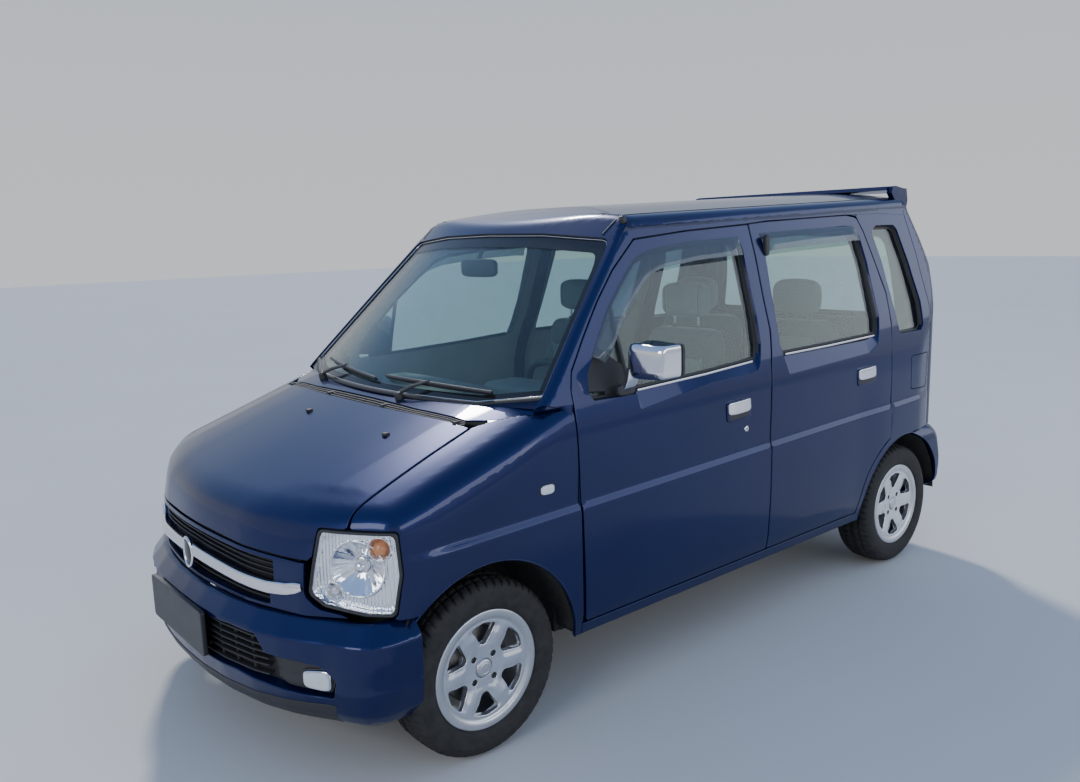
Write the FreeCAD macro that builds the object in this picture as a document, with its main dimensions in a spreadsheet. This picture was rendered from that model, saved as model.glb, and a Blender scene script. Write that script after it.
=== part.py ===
import FreeCAD, Part
import math
import os
from FreeCAD import Vector

# Small wide-body kei-style wagon, five doors, left-hand drive.
# Millimetres, +X forward, +Y to the car's left, +Z up.  The origin is on the
# ground, under the middle of the car's box.

os.makedirs("parts", exist_ok=True)
doc = FreeCAD.newDocument("small_wagon")
sheet = doc.addObject("Spreadsheet::Sheet", "Dims")
size = {}
final = {}


def cell(alias, value):
    """One named size in the sheet."""
    row = len(size) + 1
    sheet.set("A%d" % row, alias)
    sheet.set("B%d" % row, repr(round(float(value), 4)))
    sheet.setAlias("B%d" % row, alias)
    size[alias] = float(value)
    return value


# ------------------------------------------------------------------ main sizes
for alias, value in (
        ("overall_len", 3410.0), ("body_wid", 1575.0), ("wheelbase", 2335.0),
        ("front_axle_x", 1072.5), ("rear_axle_x", -1262.5),
        ("half_track", 685.0), ("axle_z", 270.0),
        ("tyre_rad", 270.0), ("tyre_wid", 165.0), ("bead_rad", 168.0),
        ("flange_rad", 183.0), ("rim_wid", 134.0), ("barrel_rad", 150.0),
        ("hub_hole_rad", 14.3), ("spindle_rad", 14.0), ("kingpin_y", 645.0),
        ("arch_rad", 332.0), ("arch_gap_rad", 372.0),
        ("skin", 22.0), ("rebate", 28.0), ("wall", 72.0), ("roof_wall", 32.0),
        ("door_thick", 62.0), ("gap", 9.0), ("inner_lap", 40.0),
        ("ring_lap", 20.0), ("glass", 5.0),
        ("sill_z", 270.0), ("door_foot_z", 316.0), ("floor_top", 285.0),
        ("floor_thick", 28.0), ("roof_panel_y", 530.0), ("hood_y", 645.0),
        ("screen_rad", 2600.0), ("hood_slope", 0.348), ("body_slope", 0.036),
        ("hood_open_x", 1012.0), ("hood_axis_z", 1006.0),
        ("tailgate_axis_x", -1428.0), ("tailgate_axis_z", 1692.0),
        ("door_axis_y", 793.0), ("front_door_x", 712.0), ("rear_door_x", -257.0),
        ("flap_axis_x", -1296.0)):
    cell(alias, value)
S = size

# --------------------------------------------------------------- outline tables
# Each row is (first, second) or (first_mid, second_mid, first, second) where
# the first pair is the middle point of an arc that ends at the second pair.

# cabin, seen from the side: x, z along the middle of the car
CABIN_SIDE = [(-1500, -400), (-1650, -400), (-1655, 620), (-1652, 1000),
              (-1634, 1250, -1590, 1460), (-1538, 1600), (-1515, 1660, -1455, 1702),
              (-1000, 1730), (-50, 1670), (230, 1612, 455, 1552),
              (1021, 1022), (1150, -400)]
# cabin, half section seen from behind: y, z from the sill to the crown
CABIN_HALF = [(742, -500), (742, 150), (757, 250), (780, 380), (787.5, 600),
              (779, 940), (763, 1035), (608, 1545), (592, 1586, 535, 1608),
              (290, 1637, 0, 1645)]
# whole cabin in plan, half: x, y
CABIN_PLAN = [(1300, 792), (-1100, 792), (-1350, 786, -1500, 762),
              (-1590, 722, -1630, 640), (-1652, 350, -1660, 0)]
# nose in plan, half: x, y from the door to the middle of the grille
NOSE_PLAN = [(500, 792), (1000, 792), (1200, 785, 1362, 757), (1500, 590),
             (1525, 562, 1540, 530), (1612, 280, 1635, 0)]
# nose, half section across the hood: y, z at x = 1300
HOOD_HALF = [(789, -1500), (789, 700), (775, 770), (737, 838, 650, 866),
             (330, 889, 0, 895)]
# nose from the side: x, z
NOSE_SIDE = [(650, -500), (1560, -500), (1620, 200), (1635, 300), (1635, 640),
             (1624, 690), (1612, 766, 1568, 812), (1560, 1300), (650, 1300)]
# front bumper in plan, half, and from the side
BUMPER_PLAN = [(1300, 777), (1396, 775), (1478, 738, 1530, 640),
               (1600, 520), (1672, 270, 1690, 0)]
BUMPER_SIDE = [(1300, 205), (1560, 195), (1640, 205), (1680, 250), (1690, 400),
               (1684, 470), (1655, 507), (1300, 507)]
# rear bumper in plan, half, and from the side
TAIL_PLAN = [(-1300, 784), (-1500, 787), (-1592, 768, -1650, 700),
             (-1692, 380, -1705, 0)]
TAIL_SIDE = [(-1300, 300), (-1660, 290), (-1690, 330), (-1705, 420),
             (-1700, 560), (-1680, 590), (-1655, 605), (-1300, 605)]

FRONT_DOOR = [(704, 690), (708, 915), (708, 1055), (691, 1108), (619, 1194),
              (516, 1310), (421, 1402), (290, 1500), (19, 1523), (-336, 1541),
              (-336, 1425), (-316, 1151), (-283, 1030), (-266, 917),
              (-258, 670), (-252, 316), (694, 316)]
REAR_DOOR = [(-261, 316), (-267, 670), (-276, 917), (-293, 1030), (-326, 1151),
             (-346, 1425), (-346, 1543), (-459, 1551), (-1022, 1570),
             (-1094, 1560), (-1122, 1500), (-1157, 1359), (-1180, 1237),
             (-1163, 1111), (-1132, 969), (-1122, 775), (-1118, 613)]
FRONT_WINDOW = [(-222, 1045), (-245, 1105), (-262, 1210), (-274, 1448),
                (-266, 1494), (19, 1484), (225, 1462), (300, 1436),
                (375, 1372), (470, 1284), (572, 1170), (630, 1095),
                (640, 1040), (625, 1014), (421, 1012), (74, 1024)]
REAR_WINDOW = [(-366, 1052), (-363, 1090), (-408, 1451), (-402, 1504),
               (-1000, 1528), (-1060, 1518), (-1085, 1480), (-1096, 1367),
               (-1080, 1140), (-1057, 1078), (-1016, 1052)]
QUARTER_WINDOW = [(-1228, 1055), (-1219, 1105), (-1218, 1358), (-1192, 1500),
                  (-1238, 1526), (-1382, 1526), (-1405, 1508), (-1437, 1358),
                  (-1452, 1185), (-1434, 1080), (-1406, 1056)]
# half outlines seen from the front or back: y, z
SCREEN_HALF = [(0, 1012), (520, 1012), (728, 1040), (722, 1062), (590, 1488),
               (560, 1508), (300, 1528), (0, 1533)]
TAILGATE_HALF = [(0, 612), (560, 612), (600, 660), (606, 1000), (560, 1400),
                 (520, 1640), (0, 1700)]
BACK_WINDOW_HALF = [(0, 1075), (520, 1075), (548, 1105), (505, 1440),
                    (470, 1500), (0, 1515)]
TAIL_LAMP = [(614, 655), (745, 655), (752, 700), (742, 1010), (618, 1010)]
HEAD_LAMP = [(548, 512), (775, 524), (785, 640), (785, 752), (600, 756),
             (556, 748), (536, 640)]
FLAP = [(-1300, 800), (-1466, 792), (-1480, 806), (-1480, 936), (-1466, 950),
        (-1312, 950), (-1300, 938)]


# ------------------------------------------------------------- shape helpers
def wire(rows, plane):
    """Closed wire of lines and arcs; plane is the pair of axes, xz, yz or xy."""
    def at(a, b):
        return {"xz": Vector(a, 0, b), "yz": Vector(0, a, b), "xy": Vector(a, b, 0)}[plane]
    edges = []
    here = at(*rows[0][-2:])
    for row in rows[1:]:
        there = at(*row[-2:])
        if len(row) == 4:
            edges.append(Part.Arc(here, at(*row[:2]), there).toShape())
        else:
            edges.append(Part.LineSegment(here, there).toShape())
        here = there
    first = at(*rows[0][-2:])
    if (here - first).Length > 1e-6:
        edges.append(Part.LineSegment(here, first).toShape())
    return Part.Wire(edges)


def mirror_rows(rows, flip):
    """Half outline to whole outline; flip is the column that changes sign."""
    out = list(rows)
    for i in range(len(rows) - 1, -1, -1):
        nxt = rows[i + 1] if i + 1 < len(rows) else None
        p = list(rows[i][-2:])
        p[flip] = -p[flip]
        if nxt is not None and len(nxt) == 4:
            m = list(nxt[:2])
            m[flip] = -m[flip]
            out.append(tuple(m + p))
        elif abs(p[flip]) > 1e-6:
            out.append(tuple(p))
    return out


def face(rows, plane, grow=0.0):
    w = wire(rows, plane)
    if abs(grow) > 1e-9:
        for corner in (2, 0):
            try:
                w2 = Part.Face(w).makeOffset2D(grow, corner)
                return Part.Face(w2.Wires[0]) if w2.ShapeType != "Face" else w2
            except Exception:
                continue
        raise SystemExit("outline cannot be offset by %s: %s" % (grow, rows[:3]))
    return Part.Face(w)


def side_prism(rows, low, high, grow=0.0):
    f = face(rows, "xz", grow)
    f.translate(Vector(0, low, 0))
    return f.extrude(Vector(0, high - low, 0))


def cross_prism(rows, low, high, grow=0.0):
    f = face(rows, "yz", grow)
    f.translate(Vector(low, 0, 0))
    return f.extrude(Vector(high - low, 0, 0))


def plan_prism(rows, low, high, grow=0.0):
    f = face(rows, "xy", grow)
    f.translate(Vector(0, 0, low))
    return f.extrude(Vector(0, 0, high - low))


def slanted_prism(rows, x_ref, slope, grow=0.0):
    """Section at x_ref run along a line that falls by slope towards the nose."""
    f = face(rows, "yz", grow)
    f.translate(Vector(-2000, 0, slope * (x_ref + 2000)))
    return f.extrude(Vector(4200, 0, -slope * 4200))


def slab(x0, x1, y0, y1, z0, z1):
    return Part.makeBox(x1 - x0, y1 - y0, z1 - z0, Vector(x0, y0, z0))


def common(first, *others):
    for other in others:
        first = first.common(other)
    return first


def rod(x, y, z, radius, length, direction):
    return Part.makeCylinder(radius, length, Vector(x, y, z), Vector(*direction))


def flip_y(shape):
    return shape.mirror(Vector(0, 0, 0), Vector(0, 1, 0))


def solids(shape):
    """Only the solids of a shape, joined into one compound if there are several."""
    found = [s for s in shape.Solids if s.Volume > 200.0]
    return found[0] if len(found) == 1 else Part.makeCompound(found)


def panel(label, shape):
    """A curved panel whose shape comes from the tables above."""
    obj = doc.addObject("Part::Feature", label)
    obj.Label = label
    obj.Shape = solids(shape.removeSplitter())
    obj.Placement = FreeCAD.Placement()
    final[label] = obj
    return obj


# ------------------------------------------------- the two outer surfaces
def screen_drum(inset):
    """Windscreen surface: a wide drum that lies along the glass's slope."""
    top, foot = Vector(435, 0, 1530), Vector(1000, 0, 1000)
    run = (top - foot).normalize()
    out = Vector(-run.z, 0, run.x)
    if out.x < 0:
        out = out * -1
    radius = S["screen_rad"] - inset
    base = foot - out * S["screen_rad"] - run * 3500
    return Part.makeCylinder(radius, 7000, base, run)


def cabin(inset):
    body = side_prism(CABIN_SIDE, -1000, 1000, -inset)
    body = body.common(slanted_prism(mirror_rows(CABIN_HALF, 0), -300, S["body_slope"], -inset))
    body = body.common(plan_prism(mirror_rows(CABIN_PLAN, 1), -300, 1900, -inset))
    return body.common(screen_drum(inset))


def nose(inset):
    body = side_prism(NOSE_SIDE, -1000, 1000, -inset)
    body = body.common(slanted_prism(mirror_rows(HOOD_HALF, 0), 1300, S["hood_slope"], -inset))
    body = body.common(slanted_prism(mirror_rows(CABIN_HALF, 0), -300, S["body_slope"], -inset))
    return body.common(plan_prism(mirror_rows(NOSE_PLAN, 1), -300, 1900, -inset))


SKIN, REBATE, WALL = S["skin"], S["rebate"], S["wall"]
GAP, LAP, RING = S["gap"], S["inner_lap"], S["ring_lap"]
cabin_out, cabin_skin = cabin(0), cabin(SKIN)
cabin_rebate, cabin_door, cabin_wall = cabin(REBATE), cabin(S["door_thick"]), cabin(WALL)
nose_out, nose_skin = nose(0), nose(SKIN)

# rear door outline with the wheel arch's curve at its lower rear corner
arch_c = Vector(S["rear_axle_x"], 0, S["axle_z"])
dz = S["door_foot_z"] - S["axle_z"]
arch_foot = (arch_c.x + math.sqrt(S["arch_gap_rad"] ** 2 - dz ** 2), S["door_foot_z"])
arch_top = (-1118.0, S["axle_z"] + math.sqrt(S["arch_gap_rad"] ** 2 - (-1118.0 - arch_c.x) ** 2))
turn = 0.5 * (math.atan2(dz, arch_foot[0] - arch_c.x)
              + math.atan2(arch_top[1] - arch_c.z, arch_top[0] - arch_c.x))
arch_mid = (arch_c.x + S["arch_gap_rad"] * math.cos(turn), arch_c.z + S["arch_gap_rad"] * math.sin(turn))
REAR_DOOR = REAR_DOOR[:-1] + [arch_top, arch_mid + arch_foot]

arches = [rod(S[axle], -1000, S["axle_z"], S["arch_rad"], 2000, (0, 1, 0))
          for axle in ("front_axle_x", "rear_axle_x")]
arch_cut = arches[0].fuse(arches[1])

# ------------------------------------------------------------------- doors
DOORS = [("front_door", FRONT_DOOR, FRONT_WINDOW), ("rear_door", REAR_DOOR, REAR_WINDOW)]
left_side = slab(-1800, 900, 350, 900, S["sill_z"], 1800)
side_wall = cabin_out.cut(cabin_wall).common(left_side)
for name, outline, window in DOORS:
    outer = cabin_out.cut(cabin_skin).common(side_prism(outline, 400, 900))
    inner = cabin_skin.cut(cabin_door).common(side_prism(outline, 400, 900, -LAP))
    hole = side_prism(window, 300, 1000)
    door = outer.fuse(inner).cut(hole)
    pane = cabin(20).cut(cabin(20 + S["glass"])).common(side_prism(window, 400, 900))
    for hand in ("left", "right"):
        panel(name + "_" + hand, door if hand == "left" else flip_y(door))
        panel(name + "_glass_" + hand, pane if hand == "left" else flip_y(pane))
    side_wall = side_wall.cut(side_prism(outline, 300, 1000, GAP).cut(cabin_rebate))
    side_wall = side_wall.cut(side_prism(outline, 300, 1000, -RING))

# ---------------------------------------------------- sides, roof, tail, flap
quarter = side_prism(QUARTER_WINDOW, 300, 1000)
tail_hole = cross_prism(mirror_rows(TAILGATE_HALF, 0), -1800, -1400, 7.0)
screen_hole = cross_prism(mirror_rows(SCREEN_HALF, 0), 250, 1200)
side_wall = side_wall.cut(slab(716, 1000, 300, 900, 0, 1012))
side_wall = side_wall.cut(quarter).cut(tail_hole).cut(screen_hole).cut(arch_cut)
side_wall = side_wall.cut(slab(-1800, 800, 0, S["roof_panel_y"], 1400, 1800))
lamp_hole = cross_prism(TAIL_LAMP, -1800, -1500)
lamp = common(cabin_out, lamp_hole).cut(cabin_wall)
side_wall = side_wall.cut(lamp_hole)
flap_skin = cabin_out.cut(cabin(6)).common(side_prism(FLAP, 600, 900))
side_wall = side_wall.cut(side_prism(FLAP, 600, 900, 6.0).cut(cabin(36)))
# room behind for the rear bumper
bumper_room = slab(-1800, -1290, 0, 900, 200, 606)
side_wall = side_wall.cut(bumper_room)
panel("body_side_left", side_wall)
panel("body_side_right", flip_y(side_wall))
panel("fuel_flap", flap_skin)
panel("tail_lamps", Part.makeCompound([solids(lamp), solids(flip_y(lamp))]))
quarter_glass = cabin(20).cut(cabin(20 + S["glass"])).common(side_prism(QUARTER_WINDOW, 400, 900))
panel("quarter_windows", Part.makeCompound([solids(quarter_glass), solids(flip_y(quarter_glass))]))

roof_slab = cabin_out.cut(cabin(S["roof_wall"]))
roof_area = slab(-1420, 700, -S["roof_panel_y"], S["roof_panel_y"], 1480, 1800)
panel("roof_panel", roof_slab.common(roof_area).cut(screen_hole))
# ledge that closes the roof over the tailgate's top edge
gate = cabin_out.cut(cabin(58)).common(cross_prism(mirror_rows(TAILGATE_HALF, 0), -1800, -1432))
back_hole = cross_prism(mirror_rows(BACK_WINDOW_HALF, 0), -1800, -1400)
panel("tailgate", gate.cut(back_hole))
panel("tailgate_glass", cabin(8).cut(cabin(8 + S["glass"])).common(
    cross_prism(mirror_rows(BACK_WINDOW_HALF, 0), -1800, -1440)))
screen = cabin(4).cut(cabin(4 + S["glass"])).common(screen_hole)
panel("windscreen", screen)

# spoiler: a shallow wing over the tailgate's top with a cheek at each end
SPOILER_SIDE = [(-1434, 1684), (-1446, 1701), (-1520, 1705), (-1580, 1696),
                (-1574, 1684), (-1520, 1672)]
CHEEK_SIDE = [(-1445, 1672), (-1455, 1698), (-1578, 1692), (-1590, 1640),
              (-1570, 1560), (-1535, 1548), (-1500, 1610)]
wing = side_prism(SPOILER_SIDE, -560, 560)
cheek = side_prism(CHEEK_SIDE, 556, 582)
spoiler = wing.fuse(cheek).fuse(flip_y(cheek)).cut(cabin_out)
foot = slab(-1500, -1470, -300, 300, 1640, 1696).cut(cabin_out)
panel("roof_spoiler", spoiler.fuse(foot))

# ----------------------------------------------------------- nose panels
hood_area = slab(S["hood_open_x"], 1700, -S["hood_y"], S["hood_y"], 688, 1300)
lamp_block = cross_prism(HEAD_LAMP, 1352, 1600)
lamp_room = cross_prism(HEAD_LAMP, 1344, 1620, 6.0)
lamp_room = lamp_room.fuse(flip_y(lamp_room))
hood = nose_out.cut(nose_skin).common(hood_area).cut(lamp_room)
panel("hood", hood)
head = nose_out.common(lamp_block).cut(slab(1200, 1700, 0, 900, 400, 900).common(nose(95)))
panel("headlamps", Part.makeCompound([solids(head), solids(flip_y(head))]))

fender = nose_out.cut(nose_skin).common(slab(716, 1600, 500, 900, S["sill_z"], 1012))
fender = fender.cut(slab(700, 1700, 0, S["hood_y"] + 6, 600, 1300))
fender = fender.cut(cross_prism(HEAD_LAMP, 1350, 1620, 2.0)).cut(arch_cut)
fender = fender.cut(slab(1290, 1700, 0, 900, 100, 512)).cut(slab(1440, 1700, 0, 900, 100, 800))
panel("front_fenders", Part.makeCompound([solids(fender), solids(flip_y(fender))]))

bumper = side_prism(BUMPER_SIDE, -1000, 1000).common(
    plan_prism(mirror_rows(BUMPER_PLAN, 1), 100, 700))
bumper_core = side_prism([(1200, 100), (1560, 100), (1630, 300), (1625, 440),
                          (1600, 475), (1600, 560), (1200, 560)], -1000, 1000).common(
    plan_prism(mirror_rows(BUMPER_PLAN, 1), 50, 700, -45))
bumper_core = bumper_core.fuse(slab(1200, 1402, -722, 722, 100, 700))
front_bumper = bumper.cut(bumper_core).cut(arches[0])
intake = slab(1500, 1800, -330, 330, 235, 300)
fog = rod(1400, 608, 340, 44, 400, (1, 0, 0))
front_bumper = front_bumper.cut(intake).cut(fog).cut(flip_y(fog))
panel("front_bumper", front_bumper)

tail = side_prism(TAIL_SIDE, -1000, 1000).common(
    plan_prism(mirror_rows(TAIL_PLAN, 1), 100, 800))
tail_core = side_prism([(-1200, 200), (-1590, 200), (-1640, 340), (-1640, 560),
                        (-1610, 640), (-1200, 640)], -1000, 1000).common(
    plan_prism(mirror_rows(TAIL_PLAN, 1), 50, 800, -40))
tail_step = slab(-1650, -1200, -800, 800, 590, 700).common(cabin_out)
rear_bumper = tail.cut(tail_core).cut(arches[1].fuse(rod(S["rear_axle_x"], -1000, S["axle_z"], 340, 2000, (0, 1, 0))))
rear_bumper = rear_bumper.cut(tail_step)
panel("rear_bumper", rear_bumper)

# grille: body-colour end caps, two dark slots, bright bar between them
grille = nose(3).cut(nose(48)).common(slab(1400, 1700, -528, 528, 514, 682)).cut(lamp_room)
for low, high in ((524, 572), (622, 672)):
    grille = grille.cut(nose(3).cut(nose(30)).common(slab(1400, 1700, -470, 470, low, high)))
panel("grille", grille)

cowl_under = nose_out.cut(nose(30)).common(slab(850, S["hood_open_x"] - 6, -640, 640, 930, 1300))
panel("cowl_panel", cowl_under.common(screen_drum(-2).fuse(slab(990, 1100, -640, 640, 800, 1100))).cut(
    screen_hole.common(screen_drum(-4))).cut(side_wall).cut(flip_y(side_wall)))


# ------------------------------------------------- boxes and tubes by the sheet
def block(name, x0, x1, y0, y1, z0, z1):
    """A box whose corner and edges are named cells."""
    obj = doc.addObject("Part::Box", name)
    for prop, alias, value in (("Length", "_len", x1 - x0), ("Width", "_wid", y1 - y0),
                               ("Height", "_hei", z1 - z0), ("Placement.Base.x", "_low_x", x0),
                               ("Placement.Base.y", "_low_y", y0), ("Placement.Base.z", "_low_z", z0)):
        cell(name + alias, value)
        obj.setExpression(prop, "Dims." + name + alias)
    return obj


def tube(name, start, end, radius):
    """A round bar from start to end whose length and radius are named cells."""
    a, b = Vector(*start), Vector(*end)
    obj = doc.addObject("Part::Cylinder", name)
    cell(name + "_long", (b - a).Length)
    cell(name + "_rad", radius)
    obj.setExpression("Height", "Dims." + name + "_long")
    obj.setExpression("Radius", "Dims." + name + "_rad")
    obj.Placement = FreeCAD.Placement(a, FreeCAD.Rotation(Vector(0, 0, 1), b - a))
    return obj


def join(label, *pieces):
    if len(pieces) == 1:
        obj = pieces[0]
    else:
        obj = doc.addObject("Part::MultiFuse", label)
        obj.Shapes = list(pieces)
    obj.Label = label
    final[label] = obj
    return obj


def carve(label, base, *tools):
    """base with the tools taken away, as a boolean of the document."""
    tool = tools[0]
    if len(tools) > 1:
        tool = doc.addObject("Part::MultiFuse", label + "_tools")
        tool.Shapes = list(tools)
    obj = doc.addObject("Part::Cut", label)
    obj.Base, obj.Tool = base, tool
    final.pop(base.Label, None)
    obj.Label = label
    final[label] = obj
    return obj


# floor with wheel houses behind, sills inboard and a centre tunnel
floor_top, floor_low = S["floor_top"], S["floor_top"] - S["floor_thick"]
FLOOR = [  # name, x0, x1, y0, y1, z0, z1
    ("floor_front", -880, 716, -680, 680, floor_low, floor_top),
    ("floor_tunnel", -630, 700, -90, 90, floor_top, 345),
    ("floor_riser", -880, -862, -476, 476, floor_low, 358),
    ("floor_rear", -1575, -862, -476, 476, 330, 358)]
join("floor_pan", *[block(*row) for row in FLOOR])
WALL_AHEAD = [
    ("firewall_toe", 716, 740, -676, 676, floor_low, 962),
    ("firewall_scuttle", 735, 985, -600, 600, 930, 950)]
join("firewall", *[block(*row) for row in WALL_AHEAD])
join("load_floor", block("load_deck", -1575, -1195, -476, 476, 520, 545))
TAIL = [
    ("tail_wall", -1600, -1575, -540, 540, 268, 590),
    ("tail_hook", -1630, -1560, 330, 342, 205, 286)]
tail_sum = doc.addObject("Part::MultiFuse", "tail_sum")
tail_sum.Shapes = [block(*row) for row in TAIL]
carve("tail_panel", tail_sum, tube("tow_hole_rear", (-1603, 300, 232), (-1603, 380, 232), 15))
houses = []
for hand, s in (("left", 1), ("right", -1)):
    one = doc.addObject("Part::MultiFuse", "house_" + hand)
    one.Shapes = [block("house_%s_%s" % (hand, bit), x0, x1, min(s * ya, s * yb), max(s * ya, s * yb), z0, z1)
                  for bit, x0, x1, ya, yb, z0, z1 in (
                      ("side", -1575, -893, 476, 500, 330, 640),
                      ("top", -1490, -893, 490, 680, 618, 640),
                      ("front", -915, -893, 490, 676, 275, 640))]
    houses.append(one)
both_houses = doc.addObject("Part::Compound", "wheel_houses")
both_houses.Links = houses
both_houses.Label = "wheel_houses"
final["wheel_houses"] = both_houses

FRONT_FRAME = [
    ("rail_left", 740, 1500, 370, 440, 330, 420),
    ("rail_right", 740, 1500, -440, -370, 330, 420),
    ("lamp_carrier", 1470, 1500, -470, 470, 290, 330),
    ("lamp_carrier_top", 1470, 1500, -470, 470, 640, 690),
    ("carrier_left", 1470, 1500, 440, 470, 290, 690),
    ("carrier_right", 1470, 1500, -470, -440, 290, 690),
    ("tower_left", 1000, 1145, 470, 620, 800, 830),
    ("tower_right", 1000, 1145, -620, -470, 800, 830),
    ("apron_left", 740, 1500, 440, 470, 380, 730),
    ("apron_right", 740, 1500, -470, -440, 380, 730),
    ("brace_left", 1000, 1145, 440, 470, 700, 830),
    ("brace_right", 1000, 1145, -470, -440, 700, 830),
    ("tow_tab_front", 1500, 1589, -372, -360, 150, 300),
    ("tow_tab_stay", 1480, 1520, -400, -360, 290, 360)]
frame_sum = doc.addObject("Part::MultiFuse", "front_frame_sum")
frame_sum.Shapes = [block(*row) for row in FRONT_FRAME]
carve("front_frame", frame_sum, tube("tow_hole_front", (1566, -400, 172), (1566, -330, 172), 15))

radiator = join("radiator", block("radiator_core", 1434, 1464, -300, 330, 335, 640))
engine = join("engine", block("engine_block", 1130, 1400, -340, 330, 330, 760))

# front suspension: beam, lower arms and struts
BEAM = [("beam_cross", 1020, 1100, -390, 390, 195, 262),
        ("beam_stay_left", 740, 1030, 330, 390, 240, 262),
        ("beam_stay_right", 740, 1030, -390, -330, 240, 262),
        ("arm_left", 1050, 1095, 380, 672, 168, 190),
        ("arm_right", 1050, 1095, -672, -380, 168, 190),
        ("arm_root_left", 1030, 1100, 350, 392, 168, 215),
        ("arm_root_right", 1030, 1100, -392, -350, 168, 215)]
join("front_subframe", *[block(*row) for row in BEAM])
struts = []
for hand, s in (("left", 1), ("right", -1)):
    leg = tube("strut_leg_" + hand, (1072.5, s * 558, 366), (1072.5, s * 558, 800), 20)
    arm = block("strut_arm_" + hand, 1050, 1095, min(s * 545, s * 668), max(s * 545, s * 668), 366, 386)
    one = doc.addObject("Part::MultiFuse", "strut_" + hand)
    one.Shapes = [leg, arm]
    struts.append(one)
both = doc.addObject("Part::Compound", "front_struts")
both.Links = struts
both.Label = "front_struts"
final["front_struts"] = both

# rear axle beam, links, spindles and springs
axle_x, axle_z = S["rear_axle_x"], S["axle_z"]
AXLE = [tube("axle_beam", (axle_x, -590, axle_z), (axle_x, 590, axle_z), 30),
        tube("axle_spindle_left", (axle_x, 580, axle_z), (axle_x, 722, axle_z), S["spindle_rad"]),
        tube("axle_spindle_right", (axle_x, -722, axle_z), (axle_x, -580, axle_z), S["spindle_rad"]),
        tube("drum_left", (axle_x, 590, axle_z), (axle_x, 636, axle_z), 105),
        tube("drum_right", (axle_x, -636, axle_z), (axle_x, -590, axle_z), 105),
        block("link_left", -1262, -850, 400, 440, 230, 257),
        block("link_right", -1262, -850, -440, -400, 230, 257)]
join("rear_axle", *AXLE)

# exhaust and tank below the floor
EXHAUST = [("pipe_front", (1010, -190, 225), (-700, -190, 225), 21),
           ("pipe_silencer", (-690, -190, 215), (-1060, -190, 215), 42),
           ("pipe_over", (-1050, -190, 225), (-1140, -190, 225), 21)]
ex = [tube(*row) for row in EXHAUST]
ex.append(tube("pipe_rear", (-1330, -230, 215), (-1640, -230, 215), 45))
ex.append(block("pipe_strap", -1345, -1125, -250, -180, 200, 226))
join("exhaust", *ex)
join("fuel_tank", block("tank_body", -840, -420, 100, 560, 175, 257))

# cabin: dashboard with column tube, seats
column_a, column_b = (560, 330, 800), (398, 330, 893)
DASH = [("dash_top", 470, 716, -640, 640, 905, 965),
        ("dash_face", 500, 716, -640, 640, 640, 905),
        ("dash_binnacle", 462, 640, 170, 500, 960, 1022),
        ("dash_centre", 440, 520, -130, 130, 480, 900)]
dash = [block(*row) for row in DASH]
dash.append(tube("dash_column", column_a, column_b, 26))
join("dashboard", *dash)

SEATS = [  # name, x_back, x_front, y0, y1
    ("front_seat_left", -265, 235, 85, 555), ("front_seat_right", -265, 235, -555, -85)]
seat_pair = []
for name, xb, xf, y0, y1 in SEATS:
    bits = [block(name + "_frame", xb + 20, xf - 40, y0 + 60, y1 - 60, floor_top, 430),
            block(name + "_cushion", xb, xf, y0, y1, 430, 640),
            block(name + "_back", xb - 110, xb + 20, y0 + 10, y1 - 10, 560, 1150),
            block(name + "_post", xb - 60, xb - 40, 0.5 * (y0 + y1) - 60, 0.5 * (y0 + y1) + 60, 1150, 1180),
            block(name + "_headrest", xb - 100, xb - 10, 0.5 * (y0 + y1) - 130, 0.5 * (y0 + y1) + 130, 1172, 1330)]
    one = doc.addObject("Part::MultiFuse", name)
    one.Shapes = bits
    seat_pair.append(one)
seats = doc.addObject("Part::Compound", "front_seats")
seats.Links = seat_pair
seats.Label = "front_seats"
final["front_seats"] = seats
REAR_SEAT = [("bench_frame", -856, -640, -460, 460, floor_top, 430),
             ("bench_cushion", -1080, -560, -466, 466, 430, 620),
             ("bench_back", -1190, -1060, -540, 540, 645, 1130),
             ("bench_foot", -1180, -1060, -466, 466, 600, 650),
             ("bench_rest_left", -1180, -1085, 190, 450, 1130, 1300),
             ("bench_rest_right", -1180, -1085, -450, -190, 1130, 1300)]
join("rear_seat", *[block(*row) for row in REAR_SEAT])

# blank number plates
plates = doc.addObject("Part::Compound", "number_plates")
plates.Links = [block("plate_front", 1690.2, 1705, -220, 220, 330, 470),
                block("plate_rear", -1690, -1664, -220, 220, 700, 840)]
plates.Label = "number_plates"

# windscreen wipers: two arms that lie along the foot of the glass
wiper_parts = []
for i, (x0, y0, x1, y1) in enumerate(((1002, 10, 850, -560), (960, 560, 930, 60))):
    z0, z1 = 1010, 1062
    wiper_parts.append(tube("wiper_%d" % i, (x0 + 18, y0, z0 + 12), (x1 + 60, y1, z1 - 10), 8))


# -------------------------------------------------------- turned wheel parts
def origin_plane(body, role):
    for f in body.Origin.OriginFeatures:
        if f.Role == role:
            return f


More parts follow.
